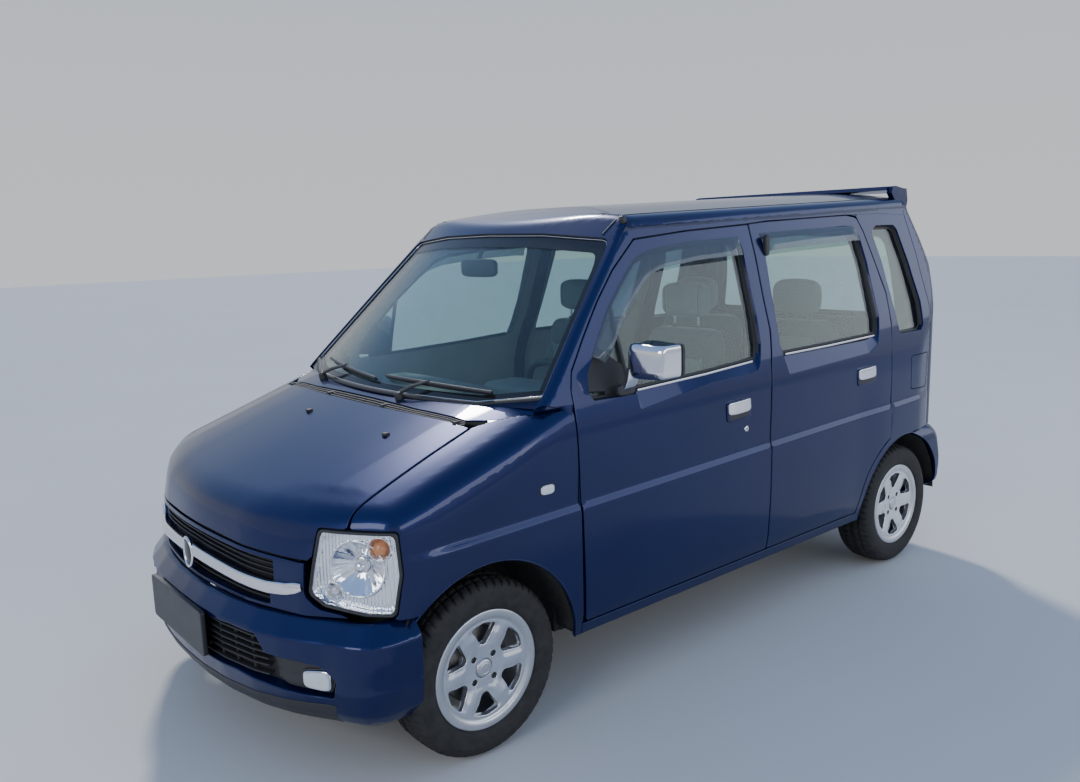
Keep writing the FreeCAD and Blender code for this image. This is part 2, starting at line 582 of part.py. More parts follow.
def outline_sketch(body, name, plane, rows, tag):
    """Closed outline whose every corner is held by two named cells."""
    sk = body.newObject("Sketcher::SketchObject", name)
    sk.AttachmentSupport = [(origin_plane(body, plane), "")]
    sk.MapMode = "FlatFace"
    pts = [Vector(a, b, 0) for a, b in rows]
    n = len(pts)
    sk.addGeometry([Part.LineSegment(pts[i], pts[(i + 1) % n]) for i in range(n)], False)
    import Sketcher
    cons = [Sketcher.Constraint("Coincident", i, 2, (i + 1) % n, 1) for i in range(n)]
    sk.addConstraint(cons)
    for i, (a, b) in enumerate(rows):
        for kind, letter, value in (("DistanceX", "a", a), ("DistanceY", "b", b)):
            alias = "%s_%s%d_pt" % (tag, letter, i)
            if alias not in size:
                cell(alias, value)
            k = sk.addConstraint(Sketcher.Constraint(kind, -1, 1, i, 1, value))
            sk.renameConstraint(k, "%s_%d" % (letter, i))
            sk.setExpression("Constraints.%s_%d" % (letter, i), "Dims." + alias)
    return sk


def turned(label, rows, tag):
    """A body turned about its own Y axis; rows are radius, offset outwards."""
    body = doc.addObject("PartDesign::Body", label)
    sk = outline_sketch(body, label + "_outline", "XY_Plane", rows, tag)
    rev = body.newObject("PartDesign::Revolution", label + "_turn")
    rev.Profile = sk
    rev.ReferenceAxis = (sk, ["V_Axis"])
    rev.Angle = 360.0
    body.Label = label
    return body, rev


half_rim, half_tyre = S["rim_wid"] / 2, S["tyre_wid"] / 2
RIM = [  # radius, offset outwards from the wheel's middle plane
    (S["hub_hole_rad"], 18), (S["hub_hole_rad"], 60), (58, 60), (70, 66), (150, 66),
    (160, 72), (S["flange_rad"], 74), (S["flange_rad"], half_rim - 2), (S["bead_rad"], half_rim - 8),
    (S["bead_rad"], 8 - half_rim), (S["flange_rad"], 2 - half_rim), (S["flange_rad"], -70),
    (165, -70), (155, -60), (155, 34), (140, 44), (70, 40), (60, 18)]
TYRE = [(S["bead_rad"], 58), (S["flange_rad"] + 0.5, 64), (S["flange_rad"] + 4, 76), (226, half_tyre),
        (250, 79), (263, 62), (S["tyre_rad"], 30), (S["tyre_rad"], -30), (263, -62), (250, -79),
        (226, -half_tyre), (S["flange_rad"] + 4, -76), (S["flange_rad"] + 0.5, -64), (S["bead_rad"], -58)]
WINDOW = [(82, 20), (136, 46), (136, -46), (82, -20)]   # one gap between two spokes: x, z
WHEELS = [  # name, axle, side
    ("front_left", "front_axle_x", 1), ("front_right", "front_axle_x", -1),
    ("rear_left", "rear_axle_x", 1), ("rear_right", "rear_axle_x", -1)]
for name, axle, s in WHEELS:
    for kind, rows in (("rim", RIM), ("tyre", TYRE)):
        label = kind + "_" + name
        body, last = turned(label, rows, kind + "_cut")
        doc.recompute()
        if kind == "rim":
            sk = outline_sketch(body, label + "_gap", "XZ_Plane", WINDOW, "spoke_gap")
            cut = body.newObject("PartDesign::Pocket", label + "_window")
            cut.Profile = sk
            cut.Type = "ThroughAll"
            cut.Midplane = True
            pat = body.newObject("PartDesign::PolarPattern", label + "_windows")
            pat.Originals = [cut]
            pat.Axis = (origin_plane(body, "Y_Axis"), "")
            pat.Angle = 360.0
            pat.Occurrences = 6
            body.Tip = pat
        if s > 0:
            turn = FreeCAD.Rotation()
        else:
            turn = FreeCAD.Rotation(Vector(0, 0, 1), 180)
        body.Placement = FreeCAD.Placement(Vector(S[axle], s * S["half_track"], S["axle_z"]), turn)
        final[label] = body

# knuckles: upright inside the wheel, spindle, steering arm
for hand, s in (("left", 1), ("right", -1)):
    kx, ky = S["front_axle_x"], s * S["kingpin_y"]
    bits = [tube("upright_" + hand, (kx, ky, 196), (kx, ky, 360), 24),
            tube("hub_" + hand, (kx, s * 620, 270), (kx, s * 678, 270), 44),
            tube("spindle_" + hand, (kx, s * 650, 270), (kx, s * 722, 270), S["spindle_rad"]),
            block("steer_arm_" + hand, kx - 98, kx, min(ky, ky + s * 14) - 8, max(ky, ky + s * 14) - 6, 215, 235)]
    join("knuckle_" + hand, *bits)

# ------------------------------------------- steering wheel in its own plane
axis_dir = (Vector(*column_b) - Vector(*column_a)).normalize()
wheel_c = Vector(*column_b) + axis_dir * 38
to_wheel = FreeCAD.Rotation(Vector(0, 0, 1), axis_dir)
rim_ring = doc.addObject("Part::Torus", "steer_rim")
cell("steer_ring_rad", 182)
cell("steer_grip_rad", 15)
rim_ring.setExpression("Radius1", "Dims.steer_ring_rad")
rim_ring.setExpression("Radius2", "Dims.steer_grip_rad")
rim_ring.Placement = FreeCAD.Placement(wheel_c + axis_dir * 14, to_wheel)
hub_pad = tube("steer_pad", tuple(wheel_c - axis_dir * 30), tuple(wheel_c + axis_dir * 20), 62)
spokes = []
for i, (deg) in enumerate((0, 180, 270)):
    local = to_wheel.multVec(Vector(math.cos(math.radians(deg)), math.sin(math.radians(deg)), 0))
    spokes.append(tube("steer_spoke_%d" % i, tuple(wheel_c), tuple(wheel_c + local * 176 + axis_dir * 12), 12))
join("steering_wheel", rim_ring, hub_pad, *spokes)

# door mirrors: stalk off the door's corner and a squared housing
for hand, s in (("left", 1), ("right", -1)):
    def m(a, b):
        return (min(s * a, s * b), max(s * a, s * b))
    shell = block("mirror_shell_" + hand, 398, 520, *m(800, 942), 1056, 1190)
    stalk = block("mirror_stalk_" + hand, 470, 530, *m(764, 806), 1030, 1072)
    join("door_mirror_" + hand, shell, stalk)

doc.recompute()
# what touches a curved panel is trimmed to it
mirror_fix = []
for hand in ("left", "right"):
    fin = final["door_mirror_" + hand]
    door_shape = final["front_door_" + hand].Shape
    obj = doc.addObject("Part::Cut", "door_mirror_cut_" + hand)
    obj.Base, obj.Tool = fin, final["front_door_" + hand]
    mirror_fix.append((hand, obj))
for hand, obj in mirror_fix:
    final["door_mirror_" + hand].Label = "door_mirror_blank_" + hand
    obj.Label = "door_mirror_" + hand
    final["door_mirror_" + hand] = obj
wipers = doc.addObject("Part::Compound", "wiper_pair")
wipers.Links = wiper_parts
wiper_cut = doc.addObject("Part::Cut", "windscreen_wipers")
wiper_cut.Base, wiper_cut.Tool = wipers, final["windscreen"]
wiper_cut.Label = "windscreen_wipers"
final["windscreen_wipers"] = wiper_cut
final["number_plates"] = plates
doc.recompute()

# ------------------------------------------------------- checks and writing
bad = [o.Name for o in doc.Objects if "Invalid" in o.State or "Error" in o.State]
if bad:
    raise SystemExit("failed objects: %s" % bad)
for label, obj in final.items():
    if obj.Shape.isNull() or not obj.Shape.isValid() or not obj.Shape.Solids:
        raise SystemExit("bad shape: " + label)
for old in os.listdir("parts"):
    if old.endswith(".step"):
        os.remove(os.path.join("parts", old))
for label, obj in sorted(final.items()):
    box = obj.Shape.BoundBox
    print("%-22s solids %d  vol %8.4f m3  x %7.0f %7.0f  y %6.0f %6.0f  z %6.0f %6.0f" % (
        label, len(obj.Shape.Solids), obj.Shape.Volume / 1e9, box.XMin, box.XMax,
        box.YMin, box.YMax, box.ZMin, box.ZMax))
    obj.Shape.exportStep(os.path.join("parts", label + ".step"))
print(len(final), "nodes")
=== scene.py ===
import math

import bmesh
import bpy
import numpy as np
from mathutils import Matrix, Vector
from mathutils.bvhtree import BVHTree
from mathutils.geometry import delaunay_2d_cdt
from mathutils.kdtree import KDTree


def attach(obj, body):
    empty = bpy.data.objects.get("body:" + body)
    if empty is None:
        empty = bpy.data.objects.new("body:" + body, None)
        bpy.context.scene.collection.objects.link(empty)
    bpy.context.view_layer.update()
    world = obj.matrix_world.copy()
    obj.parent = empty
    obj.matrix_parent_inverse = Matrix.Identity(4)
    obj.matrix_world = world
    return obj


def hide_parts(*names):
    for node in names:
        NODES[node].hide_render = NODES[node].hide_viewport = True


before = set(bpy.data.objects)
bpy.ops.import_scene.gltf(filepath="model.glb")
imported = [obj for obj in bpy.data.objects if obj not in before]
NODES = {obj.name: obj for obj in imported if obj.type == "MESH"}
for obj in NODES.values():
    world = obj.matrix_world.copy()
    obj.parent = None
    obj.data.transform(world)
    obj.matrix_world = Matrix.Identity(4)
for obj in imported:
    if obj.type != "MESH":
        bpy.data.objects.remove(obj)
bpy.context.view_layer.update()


# ------------------------------------------------------------------ materials
def material(name):
    m = bpy.data.materials.new(name)
    m.use_nodes = True
    m.node_tree.nodes.clear()
    return m


class Nodes:
    """Short hand for building a node tree."""

    def __init__(self, mat):
        self.t = mat.node_tree
        self.out = self.t.nodes.new("ShaderNodeOutputMaterial")

    def add(self, kind, ins=None, **props):
        n = self.t.nodes.new("ShaderNode" + kind)
        for k, v in props.items():
            setattr(n, k, v)
        for k, v in (ins or {}).items():
            s = n.inputs[k]
            if isinstance(v, bpy.types.NodeSocket):
                self.t.links.new(v, s)
            else:
                s.default_value = v
        return n

    def link(self, a, b):
        self.t.links.new(a, b)

    def coords(self):
        return self.add("TexCoord").outputs["Object"]

    def noise(self, scale, detail=3.0, rough=0.5, vector=None, stretch=None):
        v = vector or self.coords()
        if stretch:
            v = self.add("Mapping", {"Vector": v, "Scale": stretch}).outputs[0]
        return self.add("TexNoise", {"Vector": v, "Scale": scale, "Detail": detail,
                                     "Roughness": rough}).outputs["Fac"]

    def ramp(self, fac, stops):
        r = self.add("ValToRGB", {"Fac": fac})
        e = r.color_ramp.elements
        while len(e) < len(stops):
            e.new(0.5)
        for i, (pos, col) in enumerate(stops):
            e[i].position = pos
            e[i].color = (*col, 1) if len(col) == 3 else col
        return r.outputs["Color"]

    def math(self, op, a, b=0.0, c=None, clamp=False):
        n = self.add("Math", operation=op, use_clamp=clamp)
        for i, v in enumerate((a, b, c)):
            if v is None:
                continue
            if isinstance(v, bpy.types.NodeSocket):
                self.link(v, n.inputs[i])
            else:
                n.inputs[i].default_value = v
        return n.outputs[0]

    def mix(self, fac, a, b, blend="MIX"):
        n = self.add("Mix", data_type="RGBA", blend_type=blend)
        for s, v in ((n.inputs[0], fac), (n.inputs[6], a), (n.inputs[7], b)):
            if isinstance(v, bpy.types.NodeSocket):
                self.link(v, s)
            elif isinstance(v, (float, int)):
                s.default_value = v
            else:
                s.default_value = (*v, 1) if len(v) == 3 else v
        return n.outputs[2]

    def bump(self, height, strength=0.2, distance=0.001, normal=None):
        ins = {"Height": height, "Strength": strength, "Distance": distance}
        if normal is not None:
            ins["Normal"] = normal
        return self.add("Bump", ins).outputs[0]

    def surface(self, **ins):
        p = self.add("BsdfPrincipled", {k.replace("_", " "): v for k, v in ins.items()})
        self.link(p.outputs[0], self.out.inputs["Surface"])
        return p


def grained(name, low, high, rough=(0.5, 0.7), scale=900.0, bump=0.25, distance=0.0004,
            metallic=0.0, wear=0.0, spec=0.5):
    """Moulded plastic, cast metal and the like: fine grain with a slow drift of tone."""
    m = material(name)
    n = Nodes(m)
    co = n.coords()
    slow = n.noise(9.0, 4.0, 0.6, co)
    fine = n.noise(scale, 2.0, 0.6, co)
    col = n.mix(n.math("MULTIPLY", slow, 1.0), low, high)
    if wear:
        spots = n.ramp(n.noise(46.0, 6.0, 0.7, co), [(0.55, (0, 0, 0)), (0.75, (1, 1, 1))])
        col = n.mix(n.math("MULTIPLY", spots, wear), col, tuple(min(1, c * 1.9 + 0.03) for c in high))
    rg = n.math("MULTIPLY_ADD", slow, rough[1] - rough[0], rough[0])
    n.surface(Base_Color=col, Roughness=rg, Metallic=metallic, Specular_IOR_Level=spec,
              Normal=n.bump(fine, bump, distance))
    return m


def paint(name, deep, light, rough=0.28, coat=1.0):
    """Metallic paint under clear coat: fine flake, faint orange peel, dusty low parts."""
    m = material(name)
    n = Nodes(m)
    co = n.coords()
    flake = n.add("TexVoronoi", {"Vector": co, "Scale": 2600.0}, feature="F1").outputs["Color"]
    spark = n.math("MULTIPLY", n.add("SeparateColor", {"Color": flake}).outputs[0], 0.22)
    drift = n.noise(1.3, 3.0, 0.5, co)
    z = n.add("SeparateXYZ", {"Vector": co}).outputs["Z"]
    col = n.mix(n.math("ADD", spark, n.math("MULTIPLY", drift, 0.55)), deep, light)
    # road film: thin, only low down, broken up by noise
    low = n.math("MULTIPLY", n.math("SUBTRACT", 0.42, z, clamp=True), 2.0, clamp=True)
    film = n.math("MULTIPLY", low, n.ramp(n.noise(21.0, 6.0, 0.65, co), [(0.38, (0, 0, 0)), (0.7, (1, 1, 1))]))
    col = n.mix(n.math("MULTIPLY", film, 0.22), col, (0.12, 0.105, 0.09))
    peel = n.noise(330.0, 2.0, 0.5, co)
    rg = n.math("ADD", n.math("MULTIPLY_ADD", film, 0.35, rough), n.math("MULTIPLY", spark, 0.25))
    crough = n.math("MULTIPLY_ADD", n.noise(5.0, 3.0, 0.6, co), 0.02, 0.012)
    n.surface(Base_Color=col, Metallic=0.62, Roughness=rg, Coat_Weight=coat, Coat_Roughness=0.03,
              Coat_Normal=n.bump(peel, 0.035, 0.0004), Specular_IOR_Level=0.15)
    del crough
    return m


def pane(name, tint=(0.80, 0.90, 0.88), keep=0.93, rough=0.0, milk=0.006, milk_tone=(0.6, 0.62, 0.6)):
    """Thin glass: clear with a Fresnel mirror and a trace of dust."""
    m = material(name)
    n = Nodes(m)
    co = n.coords()
    dust = n.ramp(n.noise(14.0, 5.0, 0.6, co), [(0.45, (0, 0, 0)), (0.85, (1, 1, 1))])
    clear = n.add("BsdfTransparent", {"Color": (*[c * keep for c in tint], 1)})
    gloss = n.add("BsdfGlossy", {"Color": (1, 1, 1, 1), "Roughness": rough})
    haze = n.add("BsdfDiffuse", {"Color": (*milk_tone, 1)})
    face = n.add("LayerWeight", {"Blend": 0.5}).outputs["Facing"]
    shine = n.math("MULTIPLY_ADD", n.math("POWER", face, 4.5), 0.85, 0.035, clamp=True)
    one = n.add("MixShader", {0: shine, 1: clear.outputs[0], 2: gloss.outputs[0]})
    two = n.add("MixShader", {0: n.math("MULTIPLY_ADD", dust, 0.015, milk), 1: one.outputs[0], 2: haze.outputs[0]})
    n.link(two.outputs[0], n.out.inputs["Surface"])
    return m


def chrome(name, tone=(0.82, 0.82, 0.84), rough=0.06, brushed=0.0):
    m = material(name)
    n = Nodes(m)
    co = n.coords()
    smear = n.noise(28.0, 5.0, 0.6, co)
    col = n.mix(smear, tuple(c * 0.9 for c in tone), tone)
    rg = n.math("MULTIPLY_ADD", n.ramp(smear, [(0.35, (0, 0, 0)), (0.8, (1, 1, 1))]), 0.10, rough)
    nrm = n.bump(n.noise(700.0, 2.0, 0.5, co), 0.03 + brushed, 0.0003)
    n.surface(Base_Color=col, Metallic=1.0, Roughness=rg, Normal=nrm)
    return m


def cloth(name, low, high, weave=1150.0, bump=0.3, stripe=0.0):
    """Woven seat cloth with thread relief, melange and a soft sheen."""
    m = material(name)
    n = Nodes(m)
    co = n.coords()
    sx = n.add("SeparateXYZ", {"Vector": co})
    a = n.math("SINE", n.math("MULTIPLY", n.math("ADD", sx.outputs["X"], sx.outputs["Z"]), weave * 3.0))
    b = n.math("SINE", n.math("MULTIPLY", n.math("SUBTRACT", sx.outputs["Y"], n.math("MULTIPLY", sx.outputs["Z"], 0.35)), weave * 3.0))
    thread = n.math("MULTIPLY_ADD", n.math("MULTIPLY", a, b), 0.5, 0.5)
    blotch = n.noise(60.0, 5.0, 0.7, co)
    slow = n.noise(5.0, 3.0, 0.6, co)
    fac = n.math("ADD", n.math("MULTIPLY", blotch, 0.6), n.math("MULTIPLY", slow, 0.4))
    col = n.mix(fac, low, high)
    col = n.mix(n.math("MULTIPLY", thread, 0.22), col, tuple(c * 0.55 for c in low))
    n.surface(Base_Color=col, Roughness=0.92, Sheen_Weight=0.35, Sheen_Roughness=0.4,
              Specular_IOR_Level=0.25, Normal=n.bump(n.math("ADD", thread, n.math("MULTIPLY", blotch, 0.4)), bump, 0.0006))
    return m


def build_materials():
    M = {}
    M["paint"] = paint("deep_blue_metallic", (0.0027, 0.0070, 0.044), (0.0075, 0.0205, 0.112), coat=0.50)
    M["paint_in"] = paint("deep_blue_inner", (0.004, 0.007, 0.034), (0.008, 0.014, 0.060), rough=0.42, coat=0.35)
    M["glass"] = pane("window_glass")
    M["screen"] = pane("windscreen_glass", (0.84, 0.94, 0.92), 0.95)
    M["visor"] = pane("visor_plastic", (0.60, 0.64, 0.69), 0.86, milk=0.115, milk_tone=(0.42, 0.48, 0.55))
    M["lens"] = pane("lamp_lens", (0.97, 0.98, 1.0), 0.98)
    M["chrome"] = chrome("bright_chrome")
    M["reflector"] = chrome("lamp_reflector", (0.93, 0.94, 0.96), 0.03)
    M["seal"] = grained("seal_rubber", (0.012, 0.012, 0.013), (0.026, 0.026, 0.028), (0.45, 0.62), 700, 0.2)
    M["black"] = grained("black_trim", (0.014, 0.014, 0.016), (0.034, 0.034, 0.037), (0.42, 0.60), 1300, 0.35)
    M["gloss_black"] = grained("gloss_black", (0.008, 0.008, 0.009), (0.016, 0.016, 0.018), (0.12, 0.2), 300, 0.03)
    M["under"] = grained("underbody_black", (0.012, 0.012, 0.012), (0.045, 0.042, 0.038), (0.7, 0.95), 220, 0.6, 0.0015, wear=0.5)
    M["dash"] = grained("dash_plastic", (0.10, 0.11, 0.12), (0.16, 0.17, 0.18), (0.5, 0.66), 800, 0.5)
    M["dash_low"] = grained("dash_plastic_low", (0.17, 0.18, 0.18), (0.25, 0.26, 0.26), (0.55, 0.7), 800, 0.5)
    M["liner"] = grained("head_lining", (0.42, 0.43, 0.42), (0.55, 0.56, 0.54), (0.85, 0.98), 420, 0.28, 0.001)
    M["carpet"] = cloth("floor_carpet", (0.035, 0.038, 0.042), (0.075, 0.08, 0.085), 420, 0.8)
    M["cloth"] = cloth("seat_cloth", (0.155, 0.19, 0.20), (0.27, 0.32, 0.33))
    M["cloth_dark"] = cloth("seat_cloth_side", (0.085, 0.10, 0.11), (0.14, 0.165, 0.17))
    M["piping"] = grained("seam_thread", (0.05, 0.055, 0.06), (0.09, 0.1, 0.1), (0.8, 0.95), 1500, 0.7)
    M["rubber"] = tyre_rubber("tyre_rubber")
    M["alloy"] = alloy("alloy_lacquer")
    M["alloy_cut"] = chrome("alloy_machined", (0.80, 0.81, 0.83), 0.20, 0.10)
    M["dark_metal"] = grained("cast_metal", (0.05, 0.05, 0.05), (0.13, 0.125, 0.12), (0.45, 0.7), 300, 0.6, 0.001, metallic=0.7, wear=0.5)
    M["steel"] = grained("steel_pipe", (0.16, 0.15, 0.14), (0.34, 0.32, 0.30), (0.35, 0.6), 240, 0.3, 0.0006, metallic=0.9, wear=0.4)
    M["plate"] = grained("blank_plate", (0.012, 0.013, 0.015), (0.022, 0.023, 0.026), (0.35, 0.5), 400, 0.15)
    M["amber"] = lit_plastic("amber_lens", (0.72, 0.25, 0.06))
    M["red"] = lit_plastic("red_lens", (0.55, 0.012, 0.015))
    M["clear_tail"] = lit_plastic("clear_tail_lens", (0.75, 0.76, 0.78))
    M["gauge"] = grained("gauge_face", (0.75, 0.76, 0.74), (0.82, 0.83, 0.8), (0.4, 0.5), 500, 0.1)
    M["mirror_glass"] = chrome("mirror_glass", (0.7, 0.72, 0.74), 0.01)
    return M


def lit_plastic(name, tone):
    """Ribbed clear-coloured lens plastic."""
    m = material(name)
    n = Nodes(m)
    co = n.coords()
    z = n.add("SeparateXYZ", {"Vector": co}).outputs["Z"]
    rib = n.math("SINE", n.math("MULTIPLY", z, 900.0))
    col = n.mix(n.noise(30.0, 3.0, 0.5, co), tuple(c * 0.75 for c in tone), tone)
    n.surface(Base_Color=col, Roughness=0.14, Coat_Weight=0.6, Coat_Roughness=0.04,
              Subsurface_Weight=0.15, Normal=n.bump(rib, 0.25, 0.001))
    return m


def tyre_rubber(name):
    m = material(name)
    n = Nodes(m)
    co = n.coords()
    fine = n.noise(1100.0, 2.0, 0.5, co)
    dusty = n.ramp(n.noise(26.0, 6.0, 0.65, co), [(0.35, (0, 0, 0)), (0.8, (1, 1, 1))])
    col = n.mix(n.math("MULTIPLY", dusty, 0.6), (0.014, 0.014, 0.014), (0.062, 0.057, 0.05))
    n.surface(Base_Color=col, Roughness=n.math("MULTIPLY_ADD", dusty, 0.2, 0.66),
              Specular_IOR_Level=0.35, Normal=n.bump(fine, 0.35, 0.0005))
    return m


def alloy(name):
    m = material(name)
    n = Nodes(m)
    co = n.coords()
    grain = n.noise(900.0, 2.0, 0.5, co)
    dust = n.ramp(n.noise(34.0, 6.0, 0.7, co), [(0.5, (0, 0, 0)), (0.85, (1, 1, 1))])
    col = n.mix(grain, (0.48, 0.49, 0.51), (0.66, 0.67, 0.69))
    col = n.mix(n.math("MULTIPLY", dust, 0.4), col, (0.24, 0.21, 0.18))
    n.surface(Base_Color=col, Metallic=0.85, Roughness=n.math("MULTIPLY_ADD", dust, 0.25, 0.30),
              Coat_Weight=0.4, Coat_Roughness=0.1, Normal=n.bump(grain, 0.06, 0.0003))
    return m


M = build_materials()


# ------------------------------------------------------------- curve helpers
def curve(rows, n=1600, scale=0.001):
    """Smooth single-valued curve through rows of (place, value), as a function."""
    rows = sorted((r[0] * scale, r[1] * scale) for r in rows)
    t = np.array([r[0] for r in rows])
    v = np.array([r[1] for r in rows])
    h, s = np.diff(t), np.diff(v) / np.diff(t)
    m = np.zeros(len(t))
    m[0], m[-1] = s[0], s[-1]
    for i in range(1, len(t) - 1):
        if s[i - 1] * s[i] > 0:
            m[i] = 3 * (h[i - 1] + h[i]) / ((2 * h[i] + h[i - 1]) / s[i - 1] + (h[i] + 2 * h[i - 1]) / s[i])
    tt = np.linspace(t[0], t[-1], n)
    k = np.clip(np.searchsorted(t, tt, side="right") - 1, 0, len(h) - 1)
    u = (tt - t[k]) / h[k]
    out = ((1 + 2 * u) * (1 - u) ** 2 * v[k] + u * (1 - u) ** 2 * h[k] * m[k]
           + u * u * (3 - 2 * u) * v[k + 1] + u * u * (u - 1) * h[k] * m[k + 1])
    return lambda x: np.interp(x, tt, out)


def even(rows):
    """Rows of a curve that is the same on both sides of zero."""
    return [(-a, b) for a, b in rows if a > 0] + list(rows)


def smax(a, b, k):
    h = np.maximum(k - np.abs(a - b), 0.0) / k
    return np.maximum(a, b) + h * h * k * 0.25


def smoothstep(t):
    t = np.clip(t, 0.0, 1.0)
    return t * t * (3 - 2 * t)


# ------------------------------------------------------------- body surfaces
SIDE_W = curve([(-800, 742), (150, 742), (250, 757), (380, 780), (600, 787.5), (800, 786), (940, 779),
                (1035, 763), (1290, 685.5), (1545, 608), (1900, 500)])
ROOF_Z = curve(even([(0, 1645), (290, 1637), (535, 1608), (650, 1585), (900, 1530)]))
CAB_PLAN = curve([(-1800, 760), (-1600, 752), (-1500, 762), (-1350, 786), (-1100, 792), (1900, 792)])
REAR_PLAN = curve(even([(0, 1660), (350, 1652), (640, 1630), (722, 1590), (762, 1500), (800, 1440), (1000, 1400)]))
REAR_SIDE = curve([(-800, 1650), (620, 1655), (1000, 1652), (1250, 1634), (1460, 1590), (1600, 1538),
                   (1660, 1515), (1702, 1455), (1760, 1200)])
TOP_SIDE = curve([(-1800, 1700), (-1455, 1704), (-1000, 1730), (-50, 1670), (230, 1612), (455, 1552), (1021, 1022), (1200, 850)])
NOSE_W = curve([(-2500, 789), (700, 789), (770, 776), (838, 762), (900, 748), (1400, 700)])
HOOD_Z = curve(even([(0, 895), (330, 889), (520, 877), (650, 863), (740, 846), (900, 815)]))
NOSE_PLAN_Y = curve([(0, 792), (1000, 792), (1200, 788), (1365, 768), (1800, 700)])
NOSE_PLAN_X = curve(even([(0, 1635), (280, 1612), (530, 1540), (600, 1512), (900, 1400)]))
NOSE_SIDE_X = curve([(-900, 1560), (200, 1620), (300, 1635), (640, 1635), (690, 1627), (766, 1608), (812, 1572),
                     (840, 1520), (1500, 1000)])
RUN = np.array([-0.565, 0.53]) / math.hypot(0.565, 0.53)
SCREEN_N = np.array([RUN[1], -RUN[0]])
SCREEN_R = 2.6
SKIN = 0.002          # how far the painted skins stand off the frame's surface
LINE = curve([(-1700, 765), (-1474, 755), (-345, 720), (704, 690), (1323, 674), (1700, 668)])


def drum(p):
    a = (p[:, 0] - 1.0) * SCREEN_N[0] + (p[:, 2] - 1.0) * SCREEN_N[1]
    return np.sqrt((a + SCREEN_R) ** 2 + p[:, 1] ** 2) - SCREEN_R


def step_out(p):
    """A flat ledge under the character line; the panel above it is slightly hollow along the doors."""
    z = p[:, 2] - LINE(p[:, 0])
    t = np.clip((z + 0.004) / 0.021, 0.0, 1.0)
    ledge = 0.0098 * (1 - 0.8 * t - 0.2 * smoothstep(t))
    hollow = 0.0073 * smoothstep((p[:, 0] + 1.10) / 0.25) * (1 - smoothstep((z - 0.020) / 0.28))
    return ledge - hollow


def turn_parts(p):
    """The side and the rear apart, for finding the corner between them."""
    x, y, z = p[:, 0], np.abs(p[:, 1]), p[:, 2]
    zs = z + 0.036 * (x + 0.3)
    side = (y - SIDE_W(zs) - SKIN - step_out(p)) * 0.97
    plan = y - CAB_PLAN(x) - SKIN - step_out(p)
    return smax(side, plan, 0.006), smax(-x - REAR_PLAN(y) - SKIN, -x - REAR_SIDE(z) - SKIN, 0.02)


def turn_line(z):
    p = np.stack([np.full(len(z), -1.53), np.full(len(z), 0.68), z], axis=1)
    e = 1e-4
    for _ in range(40):
        a, b = turn_parts(p)
        ax, bx = turn_parts(p + np.array([e, 0, 0]))
        ay, by = turn_parts(p + np.array([0, e, 0]))
        j11, j12, j21, j22 = (ax - a) / e, (ay - a) / e, (bx - b) / e, (by - b) / e
        det = j11 * j22 - j12 * j21
        det = np.where(np.abs(det) < 1e-3, 1e-3, det)
        dx = (a * j22 - b * j12) / det
        dy = (b * j11 - a * j21) / det
        p[:, 0] -= np.clip(dx, -0.03, 0.03)
        p[:, 1] -= np.clip(dy, -0.03, 0.03)
    return p


def f_cabin(p, screen=0.007):
    x, y, z = p[:, 0], np.abs(p[:, 1]), p[:, 2]
    zs = z + 0.036 * (x + 0.3)
    side = (y - SIDE_W(zs) - SKIN - step_out(p)) * 0.97
    plan = y - CAB_PLAN(x) - SKIN - step_out(p)
    top = smax((zs - ROOF_Z(y) - SKIN), (z - TOP_SIDE(x) - SKIN) * 0.95, 0.02)
    rear = smax(-x - REAR_PLAN(y) - SKIN, -x - REAR_SIDE(z) - SKIN, 0.02)
    body = smax(smax(side, plan, 0.006), top, 0.022)
    body = smax(body, rear, 0.012)
    return smax(body, drum(p) - screen, 0.015)


def f_screen(p):
    return drum(p) + 0.0035


def f_nose(p):
    x, y, z = p[:, 0], np.abs(p[:, 1]), p[:, 2]
    zs = z + 0.036 * (x + 0.3)
    zh = z + 0.348 * (x - 1.3)
    step = step_out(p) * (1 - smoothstep((x - 1.18) / 0.19))
    side = (y - SIDE_W(zs) - SKIN - step) * 0.97
    shoulder = y - NOSE_W(zh) - SKIN - step
    crease = 0.075 * (np.sqrt(np.maximum(y - 0.508, 0) ** 2 + 0.00006) - 0.0077)
    hood = (zh - HOOD_Z(y) + crease - SKIN) * 0.94
    plan = y - NOSE_PLAN_Y(x) - SKIN - step
    diag = (x - 1.365) * 0.786 + (y - 0.770) * 0.618 - SKIN
    front = x - (NOSE_PLAN_X(y) + NOSE_SIDE_X(z) - 1.635) - SKIN
    f = smax(smax(side, shoulder, 0.006), smax(plan, diag, 0.03), 0.012)
    f = smax(f, hood, 0.055)
    return smax(f, front, 0.035)


def f_off(f, d):
    return lambda p: f(p) - d


def grad(f, p, e=0.0012):
    g = np.zeros_like(p)
    for i in range(3):
        q = p.copy()
        q[:, i] += e
        r = p.copy()
        r[:, i] -= e
        g[:, i] = f(q) - f(r)
    return g / np.maximum(np.linalg.norm(g, axis=1), 1e-12)[:, None]


